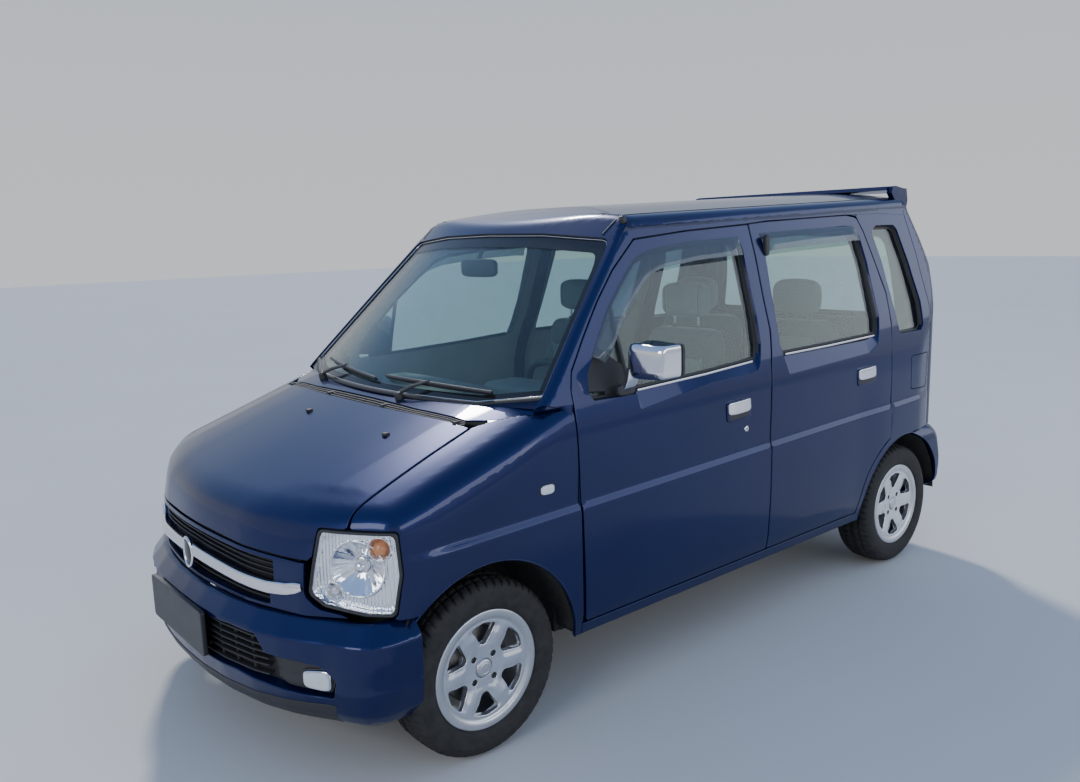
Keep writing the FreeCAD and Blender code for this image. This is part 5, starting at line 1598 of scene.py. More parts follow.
def bumper_maker(plan_half, profile, front=True):
    """plan_half from the middle to the wheel opening, profile of (inset, z) from the top down."""
    half = smooth_rows(plan_half, 500, 50)
    half[0, 1] = 0.0
    s = np.concatenate([[0], np.cumsum(np.linalg.norm(np.diff(half, axis=0), axis=1))])
    pr = smooth_rows(profile, 400, 8)
    t = np.concatenate([[0], np.cumsum(np.linalg.norm(np.diff(pr, axis=0), axis=1))])
    tan = np.gradient(half, axis=0)
    tan /= np.linalg.norm(tan, axis=1)[:, None]
    nor = np.stack([tan[:, 1], -tan[:, 0]], axis=1)
    if (nor[0, 0] > 0) != front:
        nor = -nor

    def fn(q):
        u, v = q[:, 0], q[:, 1]
        a = np.abs(u)
        x, yy = np.interp(a, s, half[:, 0]), np.interp(a, s, half[:, 1])
        nx, ny = np.interp(a, s, nor[:, 0]), np.interp(a, s, nor[:, 1])
        ln = np.hypot(nx, ny)
        nx, ny = nx / ln, ny / ln
        d, z = np.interp(v, t, pr[:, 0]), np.interp(v, t, pr[:, 1])
        return np.stack([x - nx * d, (yy - ny * d) * np.where(u < 0, -1.0, 1.0), z], axis=1)

    def u_of(yv):
        return float(np.interp(yv, half[:, 1], s))

    def v_of(z):
        return float(np.interp(-z, -pr[:, 1], t))
    return fn, s[-1], t[-1], u_of, v_of


PLAN = [(1.690, 0.0), (1.6865, 0.13), (1.672, 0.270), (1.642, 0.410), (1.600, 0.520), (1.562, 0.590), (1.530, 0.640),
        (1.508, 0.690), (1.478, 0.738), (1.444, 0.765), (1.396, 0.778), (1.302, 0.7795)]
PROFILE = [(0.060, 0.5090), (0.046, 0.5088), (0.041, 0.5070), (0.030, 0.4935), (0.016, 0.4770), (0.003, 0.4620), (0.0, 0.4560), (-0.001, 0.40),
           (0.003, 0.345), (0.0, 0.330), (0.008, 0.280), (0.014, 0.252), (0.034, 0.222), (0.055, 0.212), (0.090, 0.205)]
fn, su, sv, u_of, v_of = bumper_maker(PLAN, PROFILE)
bump = Shell()
nfn = flat_normals(fn)
if nfn(np.array([[0.05, sv * 0.4]]))[0, 0] < 0:
    nfn = flat_normals(fn, True)
us = np.linspace(-su, su, 120)
outline = np.vstack([np.stack([us, np.full(120, 0.001)], axis=1), np.stack([np.full(20, su), np.linspace(0.012, sv - 0.012, 20)], axis=1),
                     np.stack([us[::-1], np.full(120, sv - 0.001)], axis=1), np.stack([np.full(20, -su), np.linspace(sv - 0.012, 0.012, 20)], axis=1)])


def uv_rect(u0, u1, v0, v1, r=0.014, step=0.012):
    return rounded([(u0 * 1000, v0 * 1000), (u1 * 1000, v0 * 1000), (u1 * 1000, v1 * 1000), (u0 * 1000, v1 * 1000)], r, step)[0]


mouth = [(0.436, 0.086, 14), (0.473, 0.138, 12), (0.590, 0.142, 10), (0.655, 0.150, 18), (0.705, 0.186, 14), (0.692, 0.240, 14),
         (0.587, 0.240, 10), (0.496, 0.233, 10), (0.341, 0.219, 20)]
half_mouth = [(u * 1000, v * 1000, r) for u, v, r in mouth]
low_z = np.array([(u, 0.2190 + 0.0045 * math.cos(u / 0.30 * math.pi / 2)) for u in (0.25, 0.12, 0.0)])
upper = [(0.322, 0.084), (0.178, 0.091)]
intake = rounded([(u * 1000, v * 1000, 6) for u, v in upper[::-1]] + half_mouth + [(u * 1000, v * 1000, 6) for u, v in low_z]
                 + [(-u * 1000, v * 1000, 6) for u, v in low_z[:2][::-1]] + [(-u, v, r) for u, v, r in half_mouth[::-1]]
                 + [(-u * 1000, v * 1000, 6) for u, v in upper], 0.014, 0.012)[0]
rows_v = [v_of(z) for z in (0.507, 0.503, 0.495, 0.483, 0.470, 0.464, 0.460, 0.456, 0.450, 0.289, 0.279, 0.262, 0.250, 0.240)]
extra = np.vstack([np.stack([np.arange(-su + 0.02, su - 0.02, 0.022), np.full(len(np.arange(-su + 0.02, su - 0.02, 0.022)), v)], axis=1) for v in rows_v])
ends = uv_patch(bump, fn, nfn, [outline, intake], "paint", spacing=0.02, extra=extra,
                hems=[(0.002, 0.008), (0.0045, 0.034)], keep_off=0.006)


def recess(loop, d):
    def g(q):
        return fn(q) - nfn(q) * d
    return g


g = recess(intake, 0.033)
big = intake.mean(axis=0) + (intake - intake.mean(axis=0)) * np.array([1.006, 1.02])
uv_patch(bump, g, nfn, [big], "black", spacing=0.03, hems=[None])
# slats across the mouth, its upright ribs, and a panel that carries each fog lamp
for k in range(6):
    v = 0.100 + 0.0205 * k
    lim = 0.432 + 0.042 * min(1.0, k / 2.0)
    p = recess(intake, 0.020)(np.stack([np.linspace(-lim, lim, 70), np.full(70, v)], axis=1))
    sweep(bump, p, [(-0.0022, -0.010), (0.0022, -0.010), (0.0034, 0.007), (0, 0.011), (-0.0034, 0.007)], "black", normal=(1, 0, 0))
for k in range(11):
    yv = -0.40 + 0.08 * k
    p = recess(intake, 0.027)(np.stack([np.full(8, math.copysign(u_of(abs(yv)), yv)), np.linspace(0.092, 0.216, 8)], axis=1))
    sweep(bump, p, oval(0.003, 0.008, 8, 0.6), "black", normal=(1, 0, 0))
for s in (1, -1):
    side_loop = rounded([(482, 148, 8), (588, 151, 8), (650, 159, 14), (693, 188, 10), (683, 231, 10), (587, 231, 8), (500, 225, 8)], 0.010, 0.012)[0]
    side_loop = side_loop * np.array([s, 1])
    panel = lambda q: fn(q) - nfn(q) * (0.016 + 0.010 * (1 - smoothstep((np.abs(q[:, 0]) - 0.50) / 0.05)))[:, None]
    uv_patch(bump, panel, nfn, [side_loop], "black", spacing=0.02, hems=[(0.003, 0.012)])
    q = np.array([[s * 0.640, 0.194]])
    p, n = fn(q)[0], nfn(q)[0]
    n = n / np.linalg.norm(n)
    t = np.cross((0, 0, 1), n)
    t /= np.linalg.norm(t)
    ax = np.array([n, t, np.cross(n, t)])
    taper = lambda r: r * (np.stack([np.ones_like(r[..., 0]), np.ones_like(r[..., 0]), 1 - 0.16 * np.clip(-r[..., 1] / 0.05, -1, 1)], axis=-1))
    block(bump, p - n * 0.021, (0.014, 0.050, 0.034), "black", e=0.45, n=22, axes=ax, shape=taper)
    block(bump, p - n * 0.015, (0.014, 0.045, 0.0295), "reflector", e=0.5, n=24, axes=ax, shape=taper)
    block(bump, p - n * 0.0075, (0.009, 0.041, 0.0260), "clear_tail", e=0.5, n=24, axes=ax, shape=taper)
# dark lower lip
lip_u = np.linspace(-0.70, 0.70, 90)
lip_z = lambda u: 0.2700 + 0.012 * (np.abs(u) / 0.70) ** 2
lip_loop = np.vstack([np.stack([lip_u, np.array([v_of(lip_z(u)) for u in lip_u])], axis=1), np.stack([lip_u[::-1], np.full(90, sv - 0.004)], axis=1)])
uv_patch(bump, lambda q: fn(q) + nfn(q) * 0.0022, nfn, [lip_loop], "black", spacing=0.022, hems=[(0.002, 0.0045)])
bump.piece("front_bumper_skin", "body", "body_paint", ["front_bumper"])

TPLAN = [(-1.705, 0.0), (-1.7025, 0.20), (-1.692, 0.380), (-1.674, 0.56), (-1.650, 0.675), (-1.618, 0.735), (-1.592, 0.764),
         (-1.55, 0.780), (-1.50, 0.787), (-1.302, 0.787)]
TPROFILE = [(0.060, 0.6065), (0.048, 0.6055), (0.026, 0.590), (0.010, 0.566), (0.0045, 0.552), (0.0012, 0.535), (0.0006, 0.44), (0.0045, 0.40),
            (0.012, 0.345), (0.020, 0.320), (0.040, 0.302), (0.085, 0.296)]
fn, su, sv, u_of, v_of = bumper_maker(TPLAN, TPROFILE, front=False)
tail = Shell()
nfn = flat_normals(fn)
if nfn(np.array([[0.05, sv * 0.4]]))[0, 0] > 0:
    nfn = flat_normals(fn, True)
us = np.linspace(-su, su, 120)
# the lower edge follows the wheel opening at the sides
vs = np.linspace(0.012, sv - 0.012, 20)
outline = np.vstack([np.stack([us, np.full(120, 0.001)], axis=1), np.stack([np.full(20, su), vs], axis=1),
                     np.stack([us[::-1], np.full(120, sv - 0.001)], axis=1), np.stack([np.full(20, -su), vs[::-1]], axis=1)])


def arch_trim(q):
    """Pulls the bumper's ends back from the wheel opening."""
    p = fn(q)
    dz = np.clip(p[:, 2] - 0.27, 0, ARCH_R)
    lim = -1.2625 - np.sqrt(np.maximum(ARCH_R ** 2 - dz ** 2, 0)) - 0.002
    side_part = smoothstep((np.abs(p[:, 1]) - 0.70) / 0.06)
    far_x = -1.302
    want = p[:, 0] + (lim - far_x) * np.clip((p[:, 0] + 1.62) / 0.318, 0, 1) * side_part
    p[:, 0] = want
    return p


nf2 = flat_normals(arch_trim)
if nf2(np.array([[0.05, sv * 0.4]]))[0, 0] > 0:
    nf2 = flat_normals(arch_trim, True)
rows_v = [v_of(z) for z in (0.60, 0.59, 0.578, 0.566, 0.558, 0.55, 0.345, 0.33, 0.32, 0.31)]
grid_u = np.arange(-su + 0.02, su - 0.02, 0.024)
extra = np.vstack([np.stack([grid_u, np.full(len(grid_u), v)], axis=1) for v in rows_v])
uv_patch(tail, arch_trim, nf2, [outline], "paint", spacing=0.022, extra=extra, hems=[(0.002, 0.012)], keep_off=0.006)
for s in (1, -1):
    q = np.array([[s * u_of(0.560), v_of(0.425)]])
    p, n = arch_trim(q)[0], nf2(q)[0]
    t = np.cross((0, 0, 1), n)
    t /= np.linalg.norm(t)
    ax = np.array([n, t, np.cross(n, t)])
    block(tail, p, (0.0045, 0.052, 0.0150), "black", e=0.4, n=14, axes=ax)
    block(tail, p + n * 0.002, (0.0050, 0.048, 0.0115), "red", e=0.45, n=18, axes=ax)
tail.piece("rear_bumper_skin", "body", "body_paint", ["rear_bumper"])

# ------------------------------------------------------------------ tail lamps and tailgate
rear_lamp = Shell()


def tail_loop(z0, z1, inset, r=8):
    def lo_y(z):
        return 614 + (z - 655) * 4 / 355 + inset

    def hi_y(z):
        return float(np.interp(z, [655, 700, 1010], [746, 752, 742])) - inset
    rows = [(lo_y(z0), z0, r), (hi_y(z0), z0, r), (hi_y(0.5 * (z0 + z1)), 0.5 * (z0 + z1)), (hi_y(z1), z1, r), (lo_y(z1), z1, r)]
    return rounded(rows, 0.008, 0.008)[0]


base_f = f_off(f_cabin, -0.006)
patch(rear_lamp, base_f, (1, -1, -0.25), [at_back(tail_loop(655, 1010, 1.5), base_f)], "black", spacing=0.02, hems=[(0.002, 0.012)])
for z0, z1, key in ((662, 716, "clear_tail"), (722, 800, "amber"), (806, 1003, "red")):
    lens_f = f_off(f_cabin, 0.0010)
    ends = patch(rear_lamp, lens_f, (1, -1, -0.25), [at_back(tail_loop(z0, z1, 6.5), lens_f)], key, spacing=0.012, hems=[(0.0030, 0.009)])
rear_lamp.both()
rear_lamp.piece("tail_lamp_lenses", "body", "tail_lens", ["tail_lamps"])


def whole(rows):
    """Full outline from its left half."""
    rest = [r for r in rows[::-1] if r[0] > 0]
    return list(rows) + [(-r[0],) + tuple(r[1:]) for r in rest]


gate = Shell()
GATE = whole([(0, 613.5), (560, 613.5, 16), (600, 660), (606, 1000), (560, 1400), (521, 1628, 18), (0, 1652)])
HOLE = whole(BACK_WINDOW)
gate_o = rounded(grow(GATE, -1.0), 0.012, 0.014)[0]
gate_w = rounded(grow(HOLE, -1.0), 0.014, 0.014)[0]
press = [at_back(np.stack([np.linspace(-0.56, 0.56, 50), np.full(50, z)], axis=1)) for z in (0.965, 0.972, 0.980)]
patch(gate, f_cabin, (1, 0, 0), [at_back(gate_o), at_back(gate_w)], "paint", spacing=0.024, hems=[(0.0018, 0.0022), (0.0022, 0.0085)], lines=press)
pane_f = f_off(f_cabin, -0.0090)
fo, fi = matched_many(grow(HOLE, -2.0), grow(HOLE, -30.0), radius=0.014, step=0.016)
fo3, fi3 = at_back(fo, pane_f), at_back(fi, pane_f)
sheet(gate, [fo3, 0.5 * (fo3 + fi3) - np.array([0.0004, 0, 0]), fi3], "gloss_black", closed=True, away=np.array([0.5, 0, 1.2]))
sweep(gate, fo3 - np.array([0.001, 0, 0]), oval(0.0050, 0.0034, 10, 0.7), "seal", normal=(-1, 0, 0), closed=True)
# pull bar over the number plate, its finger recess and the two plate lamps
block(gate, (-1.672, 0.0, 0.884), (0.020, 0.232, 0.021), "chrome", e=0.34, n=30)
block(gate, (-1.668, 0.0, 0.858), (0.012, 0.214, 0.012), "black", e=0.4, n=18)
for yv in (-0.09, 0.09):
    block(gate, (-1.676, yv, 0.852), (0.008, 0.020, 0.005), "clear_tail", e=0.4, n=12)
block(gate, (-1.664, 0.0, 0.770), (0.006, 0.226, 0.078), "black", e=0.25, n=20)
lathe(gate, at_back(np.array([[0.0, 0.650]]))[0], (-1, 0, 0), [(0.0001, 0.0035), (0.006, 0.0036), (0.0105, 0.0030), (0.0115, 0.0), (0.0115, -0.004)], "chrome", n=20)
# rear wiper
pv = at_back(np.array([[0.0, 1.030]]))[0]
lathe(gate, pv, (-1, 0, 0), [(0.0001, 0.022), (0.010, 0.021), (0.016, 0.016), (0.019, 0.006), (0.022, -0.002)], "black", n=24)
blade = at_back(np.stack([np.linspace(-0.040, -0.400, 26), np.linspace(1.100, 1.112, 26)], axis=1), pane_f) - np.array([0.007, 0, 0])
mid_b = blade[13]
arm = resample(np.vstack([pv - np.array([0.016, 0, 0]), pv * 0.55 + mid_b * 0.45 - np.array([0.014, 0, 0]), mid_b - np.array([0.010, 0, 0])]), 14)
sweep(gate, arm, oval(0.0100, 0.0050, 10, 0.7), "black", normal=(-1, 0, 0), scale=np.linspace(1.2, 0.6, 14))
sweep(gate, blade, oval(0.0035, 0.0055, 10, 0.7), "seal", normal=(-1, 0, 0))
sweep(gate, blade - np.array([0.006, 0, 0]) , oval(0.0060, 0.0030, 10, 0.7), "black", normal=(-1, 0, 0))
gate.piece("tailgate_skin_and_trim", "tailgate", "body_paint")

# ------------------------------------------------------------------ screen surround, cowl, wipers
scr = Shell()
full = [r for r in SCREEN] + [(-r[0],) + tuple(r[1:]) for r in SCREEN[-2:0:-1]]
so, si = matched_many(grow(full, 1.0), grow(full, -24.0), radius=0.024, step=0.03)
top_band = si.copy()
top_band[:, 1] -= 0.022 * smoothstep((si[:, 1] - 1.40) / 0.08)
o3, i3 = at_front(so, f_screen), at_front(top_band, f_screen)
g = grad(f_screen, o3)
mid3 = [settle(f_screen, o3 * (1 - t) + i3 * t) for t in (0, 0.33, 0.66, 1)]
sheet(scr, mid3, "gloss_black", closed=True, away=np.array([0, 0, 0.5]))
sheet(scr, [m - grad(f_screen, m) * 0.0012 for m in mid3][::-1], "gloss_black", closed=True, toward=np.array([0, 0, 0.5]))
seal3 = at_front(so, f_screen)
sweep(scr, seal3 + grad(f_screen, seal3) * 0.002, oval(0.0075, 0.0045, 12, 0.7), "seal", normal=tuple(SCREEN_N[0:1]) + (0, SCREEN_N[1]), closed=True)
line2 = matched_many(grow(full, -6.5), radius=0.024, step=0.03)[0]
line3 = at_front(line2, f_screen)
sweep(scr, line3 + grad(f_screen, line3) * 0.0012, oval(0.0016, 0.0016, 8), "chrome", normal=(SCREEN_N[0], 0, SCREEN_N[1]), closed=True)
scr.piece("windscreen_surround", "body", "black_plastic")

cowl = Shell()
foot = at_front(resample(np.array([(0.0, 1.012), (0.52, 1.012), (0.70, 1.034)]), 30), f_screen)
foot_in = foot[:, :2] - np.array([0.022, 0.0])
near = resample(np.array([(1.0130, 0.0), (1.0120, 0.15), (1.0100, 0.35), (0.992, 0.51), (0.983, 0.572)]), 30)
edge_out = np.array([(0.930, 0.6515), (0.862, 0.6965), (0.843, 0.708)])
low = f_off(f_nose, -0.001)
halfc = np.vstack([near, edge_out, foot_in[::-1][2:-1]])
ringc = np.vstack([halfc, (foot_in[:1]), (halfc[1:] * np.array([1, -1]))[::-1]])
patch(cowl, low, (0, 0, -1), [at_top(ringc, low)], "paint", spacing=0.03, hems=[(0.0015, 0.006)])
# vent channel: black floor with three banks of fins
a = at_top(near, f_off(f_nose, -0.012))
b2 = resample(np.array([(1.0525, 0.0), (1.0505, 0.15), (1.043, 0.30), (1.030, 0.44), (1.0115, 0.568), (1.000, 0.590)]), 30)
b = at_top(b2, f_off(f_nose, -0.012))
for s in (1, -1):
    k = np.array([1, s, 1])
    sheet(cowl, [a * k, (a * 0.5 + b * 0.5) * k, b * k], "black", away=np.array([1.03, 0, 0]))
    for j in range(3):
        t = (j + 0.7) / 3.4
        sweep(cowl, (a * (1 - t) + b * t) * k + np.array([0, 0, 0.006]), [(-0.0022, -0.005), (0.0022, -0.005), (0.0030, 0.004), (-0.0030, 0.004)], "black", normal=(0.3, 0, 1))
for yv in (-0.555, -0.185, 0.185, 0.555):
    pa = np.array([np.interp(abs(yv), a[:, 1], a[:, i]) for i in (0, 2)])
    pb = np.array([np.interp(abs(yv), b[:, 1], b[:, i]) for i in (0, 2)])
    block(cowl, ((pa[0] + pb[0]) / 2, yv, (pa[1] + pb[1]) / 2 + 0.006), (0.019, 0.007, 0.008), "black", e=0.4, n=10)
fill = np.array([(0.716, 0.766), (0.716, 0.700), (0.790, 0.640), (0.900, 0.600), (0.950, 0.640), (0.870, 0.694), (0.842, 0.724), (0.790, 0.752)])
for s in (1, -1):
    under_f = f_off(f_nose, -0.006)
    loop = resample(np.vstack([fill, fill[:1]]), 40)[:-1] * np.array([1, s])
    patch(cowl, under_f, (0, 0, -1), [at_top(loop, under_f)], "paint", spacing=0.025, hems=[(0.001, 0.002)])
cowl.piece("cowl_skin", "body", "body_paint", ["cowl_panel"])

wipe = Shell()


def on_glass(yz, lift=0.0):
    p = at_front(np.atleast_2d(np.array(yz, float)), f_screen)
    return p + grad(f_screen, p) * lift


for pivot, tip0, tip1 in (((0.205, 1.004), (0.560, 1.040), (0.060, 1.052)), ((-0.395, 1.004), (0.010, 1.040), (-0.480, 1.060))):
    pv = at_top(np.array([(0.985 if pivot[0] > 0 else 0.955, pivot[0])]), f_nose)[0]
    lathe(wipe, pv, (0.35, 0, 0.94), [(0.0001, 0.024), (0.010, 0.023), (0.014, 0.018), (0.016, 0.0)], "black", n=20)
    blade = on_glass(np.linspace(tip0, tip1, 30), 0.006)
    elbow = blade[15]
    arm = resample(np.vstack([pv + np.array([0.0, 0, 0.020]), pv * 0.6 + elbow * 0.4 + np.array([0.006, 0, 0.022]), elbow + np.array([0.006, 0, 0.016])]), 16)
    sweep(wipe, arm, oval(0.0085, 0.0045, 10, 0.7), "black", normal=(SCREEN_N[0], 0, SCREEN_N[1]), scale=np.linspace(1.15, 0.65, 16))
    sweep(wipe, blade, oval(0.0035, 0.0055, 10, 0.7), "seal", normal=(SCREEN_N[0], 0, SCREEN_N[1]))
    spine = blade + np.array([SCREEN_N[0], 0, SCREEN_N[1]]) * (0.008 + 0.006 * np.sin(np.linspace(0, math.pi, 30)))[:, None]
    sweep(wipe, spine, oval(0.0055, 0.0025, 10, 0.7), "black", normal=(SCREEN_N[0], 0, SCREEN_N[1]))
wipe.piece("windscreen_wiper_set", "body", "black_plastic", ["windscreen_wipers"])

# ------------------------------------------------------------------ wheels
def tyre_shell(centre, side):
    sh = Shell()
    prof = [(0.1685, 0.0600), (0.1735, 0.0640), (0.1785, 0.0668), (0.1835, 0.0700), (0.1850, 0.0712), (0.1868, 0.0716),
            (0.1885, 0.0752), (0.1960, 0.0782), (0.2040, 0.0802), (0.2120, 0.0814), (0.2140, 0.0808), (0.2160, 0.0818),
            (0.2240, 0.0820), (0.2320, 0.0814), (0.2380, 0.0802), (0.2400, 0.0790), (0.2420, 0.0790), (0.2470, 0.0770),
            (0.2530, 0.0740), (0.2580, 0.0700), (0.2620, 0.0640), (0.2650, 0.0580), (0.2668, 0.0530), (0.2680, 0.0470),
            (0.2682, 0.0430), (0.2610, 0.0415), (0.2605, 0.0350), (0.2684, 0.0335), (0.2692, 0.0260), (0.2696, 0.0180),
            (0.2698, 0.0125), (0.2622, 0.0110), (0.2620, 0.0040)]
    rows = prof + [(r, -h) for r, h in prof[::-1]]
    n = 336

    def tread(r, h, th):
        edge = np.abs(h)
        slot = 0.5 + 0.5 * np.cos(th * 56 + np.sign(h) * 1.1 + edge * 46)
        cut = smoothstep((slot - 0.80) / 0.12)
        zone = smoothstep((r - 0.2515) / 0.006)
        mid = 1 - smoothstep((edge - 0.012) / 0.003)
        fine = 0.5 + 0.5 * np.cos(th * 112 - edge * 60)
        r2 = r - 0.0062 * cut * zone * (1 - mid) - 0.0030 * mid * zone * smoothstep((fine - 0.86) / 0.1)
        mark = 0.0006 * (0.5 + 0.5 * np.cos(th * 120)) * smoothstep((r - 0.2335) / 0.002) * (1 - smoothstep((r - 0.2385) / 0.002))
        return r2, h + np.sign(h) * mark
    lathe(sh, centre, (0, side, 0), rows, "rubber", n=n, bump=tread)
    return sh


def rim_shell(centre, side):
    sh = Shell()
    c = np.asarray(centre, float)
    barrel = [(0.1500, 0.0655), (0.1545, 0.0660), (0.1580, 0.0690), (0.1620, 0.0725), (0.1700, 0.0735), (0.1780, 0.0736),
              (0.1812, 0.0728), (0.1826, 0.0700), (0.1822, 0.0665), (0.1780, 0.0640), (0.1700, 0.0610), (0.1672, 0.0560),
              (0.1640, 0.0300), (0.1640, -0.0500), (0.1690, -0.0600), (0.1790, -0.0640), (0.1826, -0.0680), (0.1820, -0.0725),
              (0.1720, -0.0735), (0.1620, -0.0700), (0.1560, -0.0560), (0.1560, 0.0200), (0.1530, 0.0360), (0.1500, 0.0480)]
    lathe(sh, c, (0, side, 0), barrel, "alloy", n=120)

    def height(r):
        return np.interp(r, [0, 0.028, 0.034, 0.060, 0.075, 0.110, 0.140, 0.152], [0.0560, 0.0560, 0.0560, 0.0570, 0.0612, 0.0668, 0.0664, 0.0655])

    def place(off):
        def fn(q):
            r = np.hypot(q[:, 0], q[:, 1])
            th = np.arctan2(q[:, 1], q[:, 0])
            rib = np.abs(((th + math.pi / 6) % (math.pi / 3)) - math.pi / 6)      # angle from the spoke's middle
            across = rib * r
            crown = -0.0045 * smoothstep((across - 0.006) / 0.022) * smoothstep((r - 0.062) / 0.02) * (1 - smoothstep((r - 0.128) / 0.018))
            return c + np.stack([q[:, 0], (height(r) + crown + off) * side, q[:, 1]], axis=1)
        return fn
    out = [(0.1503 * math.cos(t), 0.1503 * math.sin(t)) for t in np.linspace(0, 2 * math.pi, 145)[:-1]]
    holes, nuts = [], []
    for k in range(6):
        m = math.radians(30 + 60 * k)
        rows = []
        for r, a in ((0.080, -8.5), (0.108, -14.5), (0.141, -19.5), (0.1445, 0), (0.141, 19.5), (0.108, 14.5), (0.080, 8.5), (0.0745, 0)):
            t = m + math.radians(a)
            rows.append((1000 * r * math.cos(t), 1000 * r * math.sin(t)))
        holes.append(rounded(rows, 0.011, 0.006)[0])
    for k in range(4):
        t = math.radians(45 + 90 * k)
        nuts.append(np.array([(0.050 * math.cos(t) + 0.0098 * math.cos(a), 0.050 * math.sin(t) + 0.0098 * math.sin(a)) for a in np.linspace(0, 2 * math.pi, 21)[:-1]]))
    fn = place(0.0)
    nf = flat_normals(fn)
    if nf(np.array([[0.05, 0.02]]))[0, 1] * side < 0:
        nf = flat_normals(fn, True)
    hub = np.array([(0.0300 * math.cos(t), 0.0300 * math.sin(t)) for t in np.linspace(0, 2 * math.pi, 41)[:-1]])
    uv_patch(sh, fn, nf, [out] + holes + nuts + [hub], "alloy_cut", spacing=0.0075,
             hems=[None] + [(0.0022, 0.020)] * 6 + [(0.0012, 0.016)] * 4 + [(0.001, 0.004)], keep_off=0.002, hem_mat="alloy")
    fn2 = place(-0.020)
    nb = lambda q: -nf(q)
    uv_patch(sh, fn2, nb, [out] + holes, "alloy", spacing=0.014, hems=[None] * 7, keep_off=0.003)
    ax = (0, side, 0)
    for k in range(4):
        t = math.radians(45 + 90 * k)
        p = c + np.array([0.050 * math.cos(t), 0.040 * side, 0.050 * math.sin(t)])
        lathe(sh, p, ax, [(0.0001, 0.0090), (0.0050, 0.0088), (0.0085, 0.0060), (0.0085, -0.004), (0.0105, -0.006)], "dark_metal", n=6)
    lathe(sh, c + np.array([0, 0.0520 * side, 0]), ax, [(0.0001, 0.0105), (0.012, 0.0102), (0.022, 0.0088), (0.0262, 0.0068), (0.0285, 0.0030), (0.0290, -0.004)], "alloy", n=48)
    lathe(sh, c + np.array([0, 0.0520 * side, 0]), ax, [(0.0150, 0.0101), (0.0160, 0.0108), (0.0172, 0.0099)], "alloy_cut", n=40)
    # disc and caliper or drum seen between the spokes
    lathe(sh, c, ax, [(0.030, 0.030), (0.060, 0.034), (0.068, 0.030), (0.070, 0.014), (0.112, 0.014), (0.116, 0.012), (0.116, 0.002), (0.070, 0.0)], "steel", n=72)
    t = math.radians(100)
    for da in (-0.05, 0.05):
        lathe(sh, c + np.array([-0.132 * math.cos(t + da), 0.040 * side, -0.132 * math.sin(t + da)]) * np.array([1, 1, 1]), ax,
              [(0.0001, 0.004), (0.002, 0.003), (0.0022, 0.0)], "dark_metal", n=8)
    return sh


for corner_name, x, y in (("front_left", 1.0725, 0.685), ("front_right", 1.0725, -0.685), ("rear_left", -1.2625, 0.685), ("rear_right", -1.2625, -0.685)):
    side = 1 if y > 0 else -1
    tyre_shell((x, y, 0.27), side).piece("tyre_" + corner_name + "_tread", "wheel_" + corner_name, "tyre_rubber", ["tyre_" + corner_name])
    rim_shell((x, y, 0.27), side).piece("rim_" + corner_name + "_six_spoke", "wheel_" + corner_name, "alloy", ["rim_" + corner_name])

# dark liners inside the wheel openings
liner = Shell()
for cx in (1.0725, -1.2625):
    for s in (1, -1):
        rows = []
        a = np.radians(np.linspace(2, 178, 60))
        rr = 0.343
        for yv in (0.758, 0.735, 0.70, 0.66, 0.61, 0.560) + ((0.50, 0.44) if cx > 0 else ()):
            rows.append(np.stack([cx + rr * np.cos(a), np.full(60, yv * s), 0.27 + rr * np.sin(a)], axis=1))
        if cx < 0:
            for r in (0.25, 0.15, 0.04):
                rows.append(np.stack([cx + r * np.cos(a), np.full(60, 0.556 * s), 0.27 + r * np.sin(a)], axis=1))
        sheet(liner, rows, "under", toward=np.array([cx, 0.9 * s, 0.25]))
        if cx > 0:
            # the front wheels steer, so their inner wall stays above the tyre
            b = np.radians(np.linspace(59.5, 120.5, 24))
            arc = np.stack([cx + rr * np.cos(b), np.full(24, 0.44 * s), 0.27 + rr * np.sin(b)], axis=1)
            foot = arc.copy()
            foot[:, 2] = 0.562
            sheet(liner, [arc, arc * 0.5 + foot * 0.5, foot], "under", toward=np.array([cx, 0.9 * s, 0.5]))
liner.piece("wheel_liners", "body", "black_plastic")

# ------------------------------------------------------------------ cabin: seats
# Each pad is a closed form that cloth pressure swells a little; its sewn channels and seams come after.
PADS = []


def pad(name, parts, node, seams, view, cap=0.010, voxel=0.0125, groove=0.0060, width=0.010, fill=0.75, split=None, twin=False):
    """parts are (centre, half, squareness, shape); seams are lines, laid on from the view direction."""
    sh = Shell()
    for c, h, e, shape in parts:
        block(sh, c, h, "cloth", e=e, n=26, shape=shape)
    me = bpy.data.meshes.new(name)
    me.from_pydata(np.vstack(sh.v).tolist(), [], sh.f)
    ob = bpy.data.objects.new(name, me)
    bpy.context.scene.collection.objects.link(ob)
    PADS.append(dict(ob=ob, node=node, seams=seams, view=view, cap=cap, voxel=voxel, groove=groove, width=width,
                     fill=fill, split=split, twin=twin))


def baked(ob):
    dg = bpy.context.evaluated_depsgraph_get()
    me = bpy.data.meshes.new_from_object(ob.evaluated_get(dg), depsgraph=dg)
    ob.modifiers.clear()
    ob.data = me
    return me


def places(me):
    a = np.empty(len(me.vertices) * 3)
    me.vertices.foreach_get("co", a)
    return a.reshape(-1, 3)


def crown(ax, k, lim=1.0):
    """Pulls the sides in between the corners and lifts the middle."""
    def shape(p):
        q = p.copy()
        h = np.abs(p).reshape(-1, 3).max(axis=0)
        a, b = [i for i in range(3) if i != ax]
        u, v = q[..., a] / h[a], q[..., b] / h[b]
        q[..., ax] *= 1 + k * (1 - u * u) * (1 - v * v)
        q[..., a] *= 1 + 0.035 * (np.abs(v) ** 2 - 0.5) * lim
        q[..., b] *= 1 + 0.035 * (np.abs(u) ** 2 - 0.5) * lim
        return q
    return shape


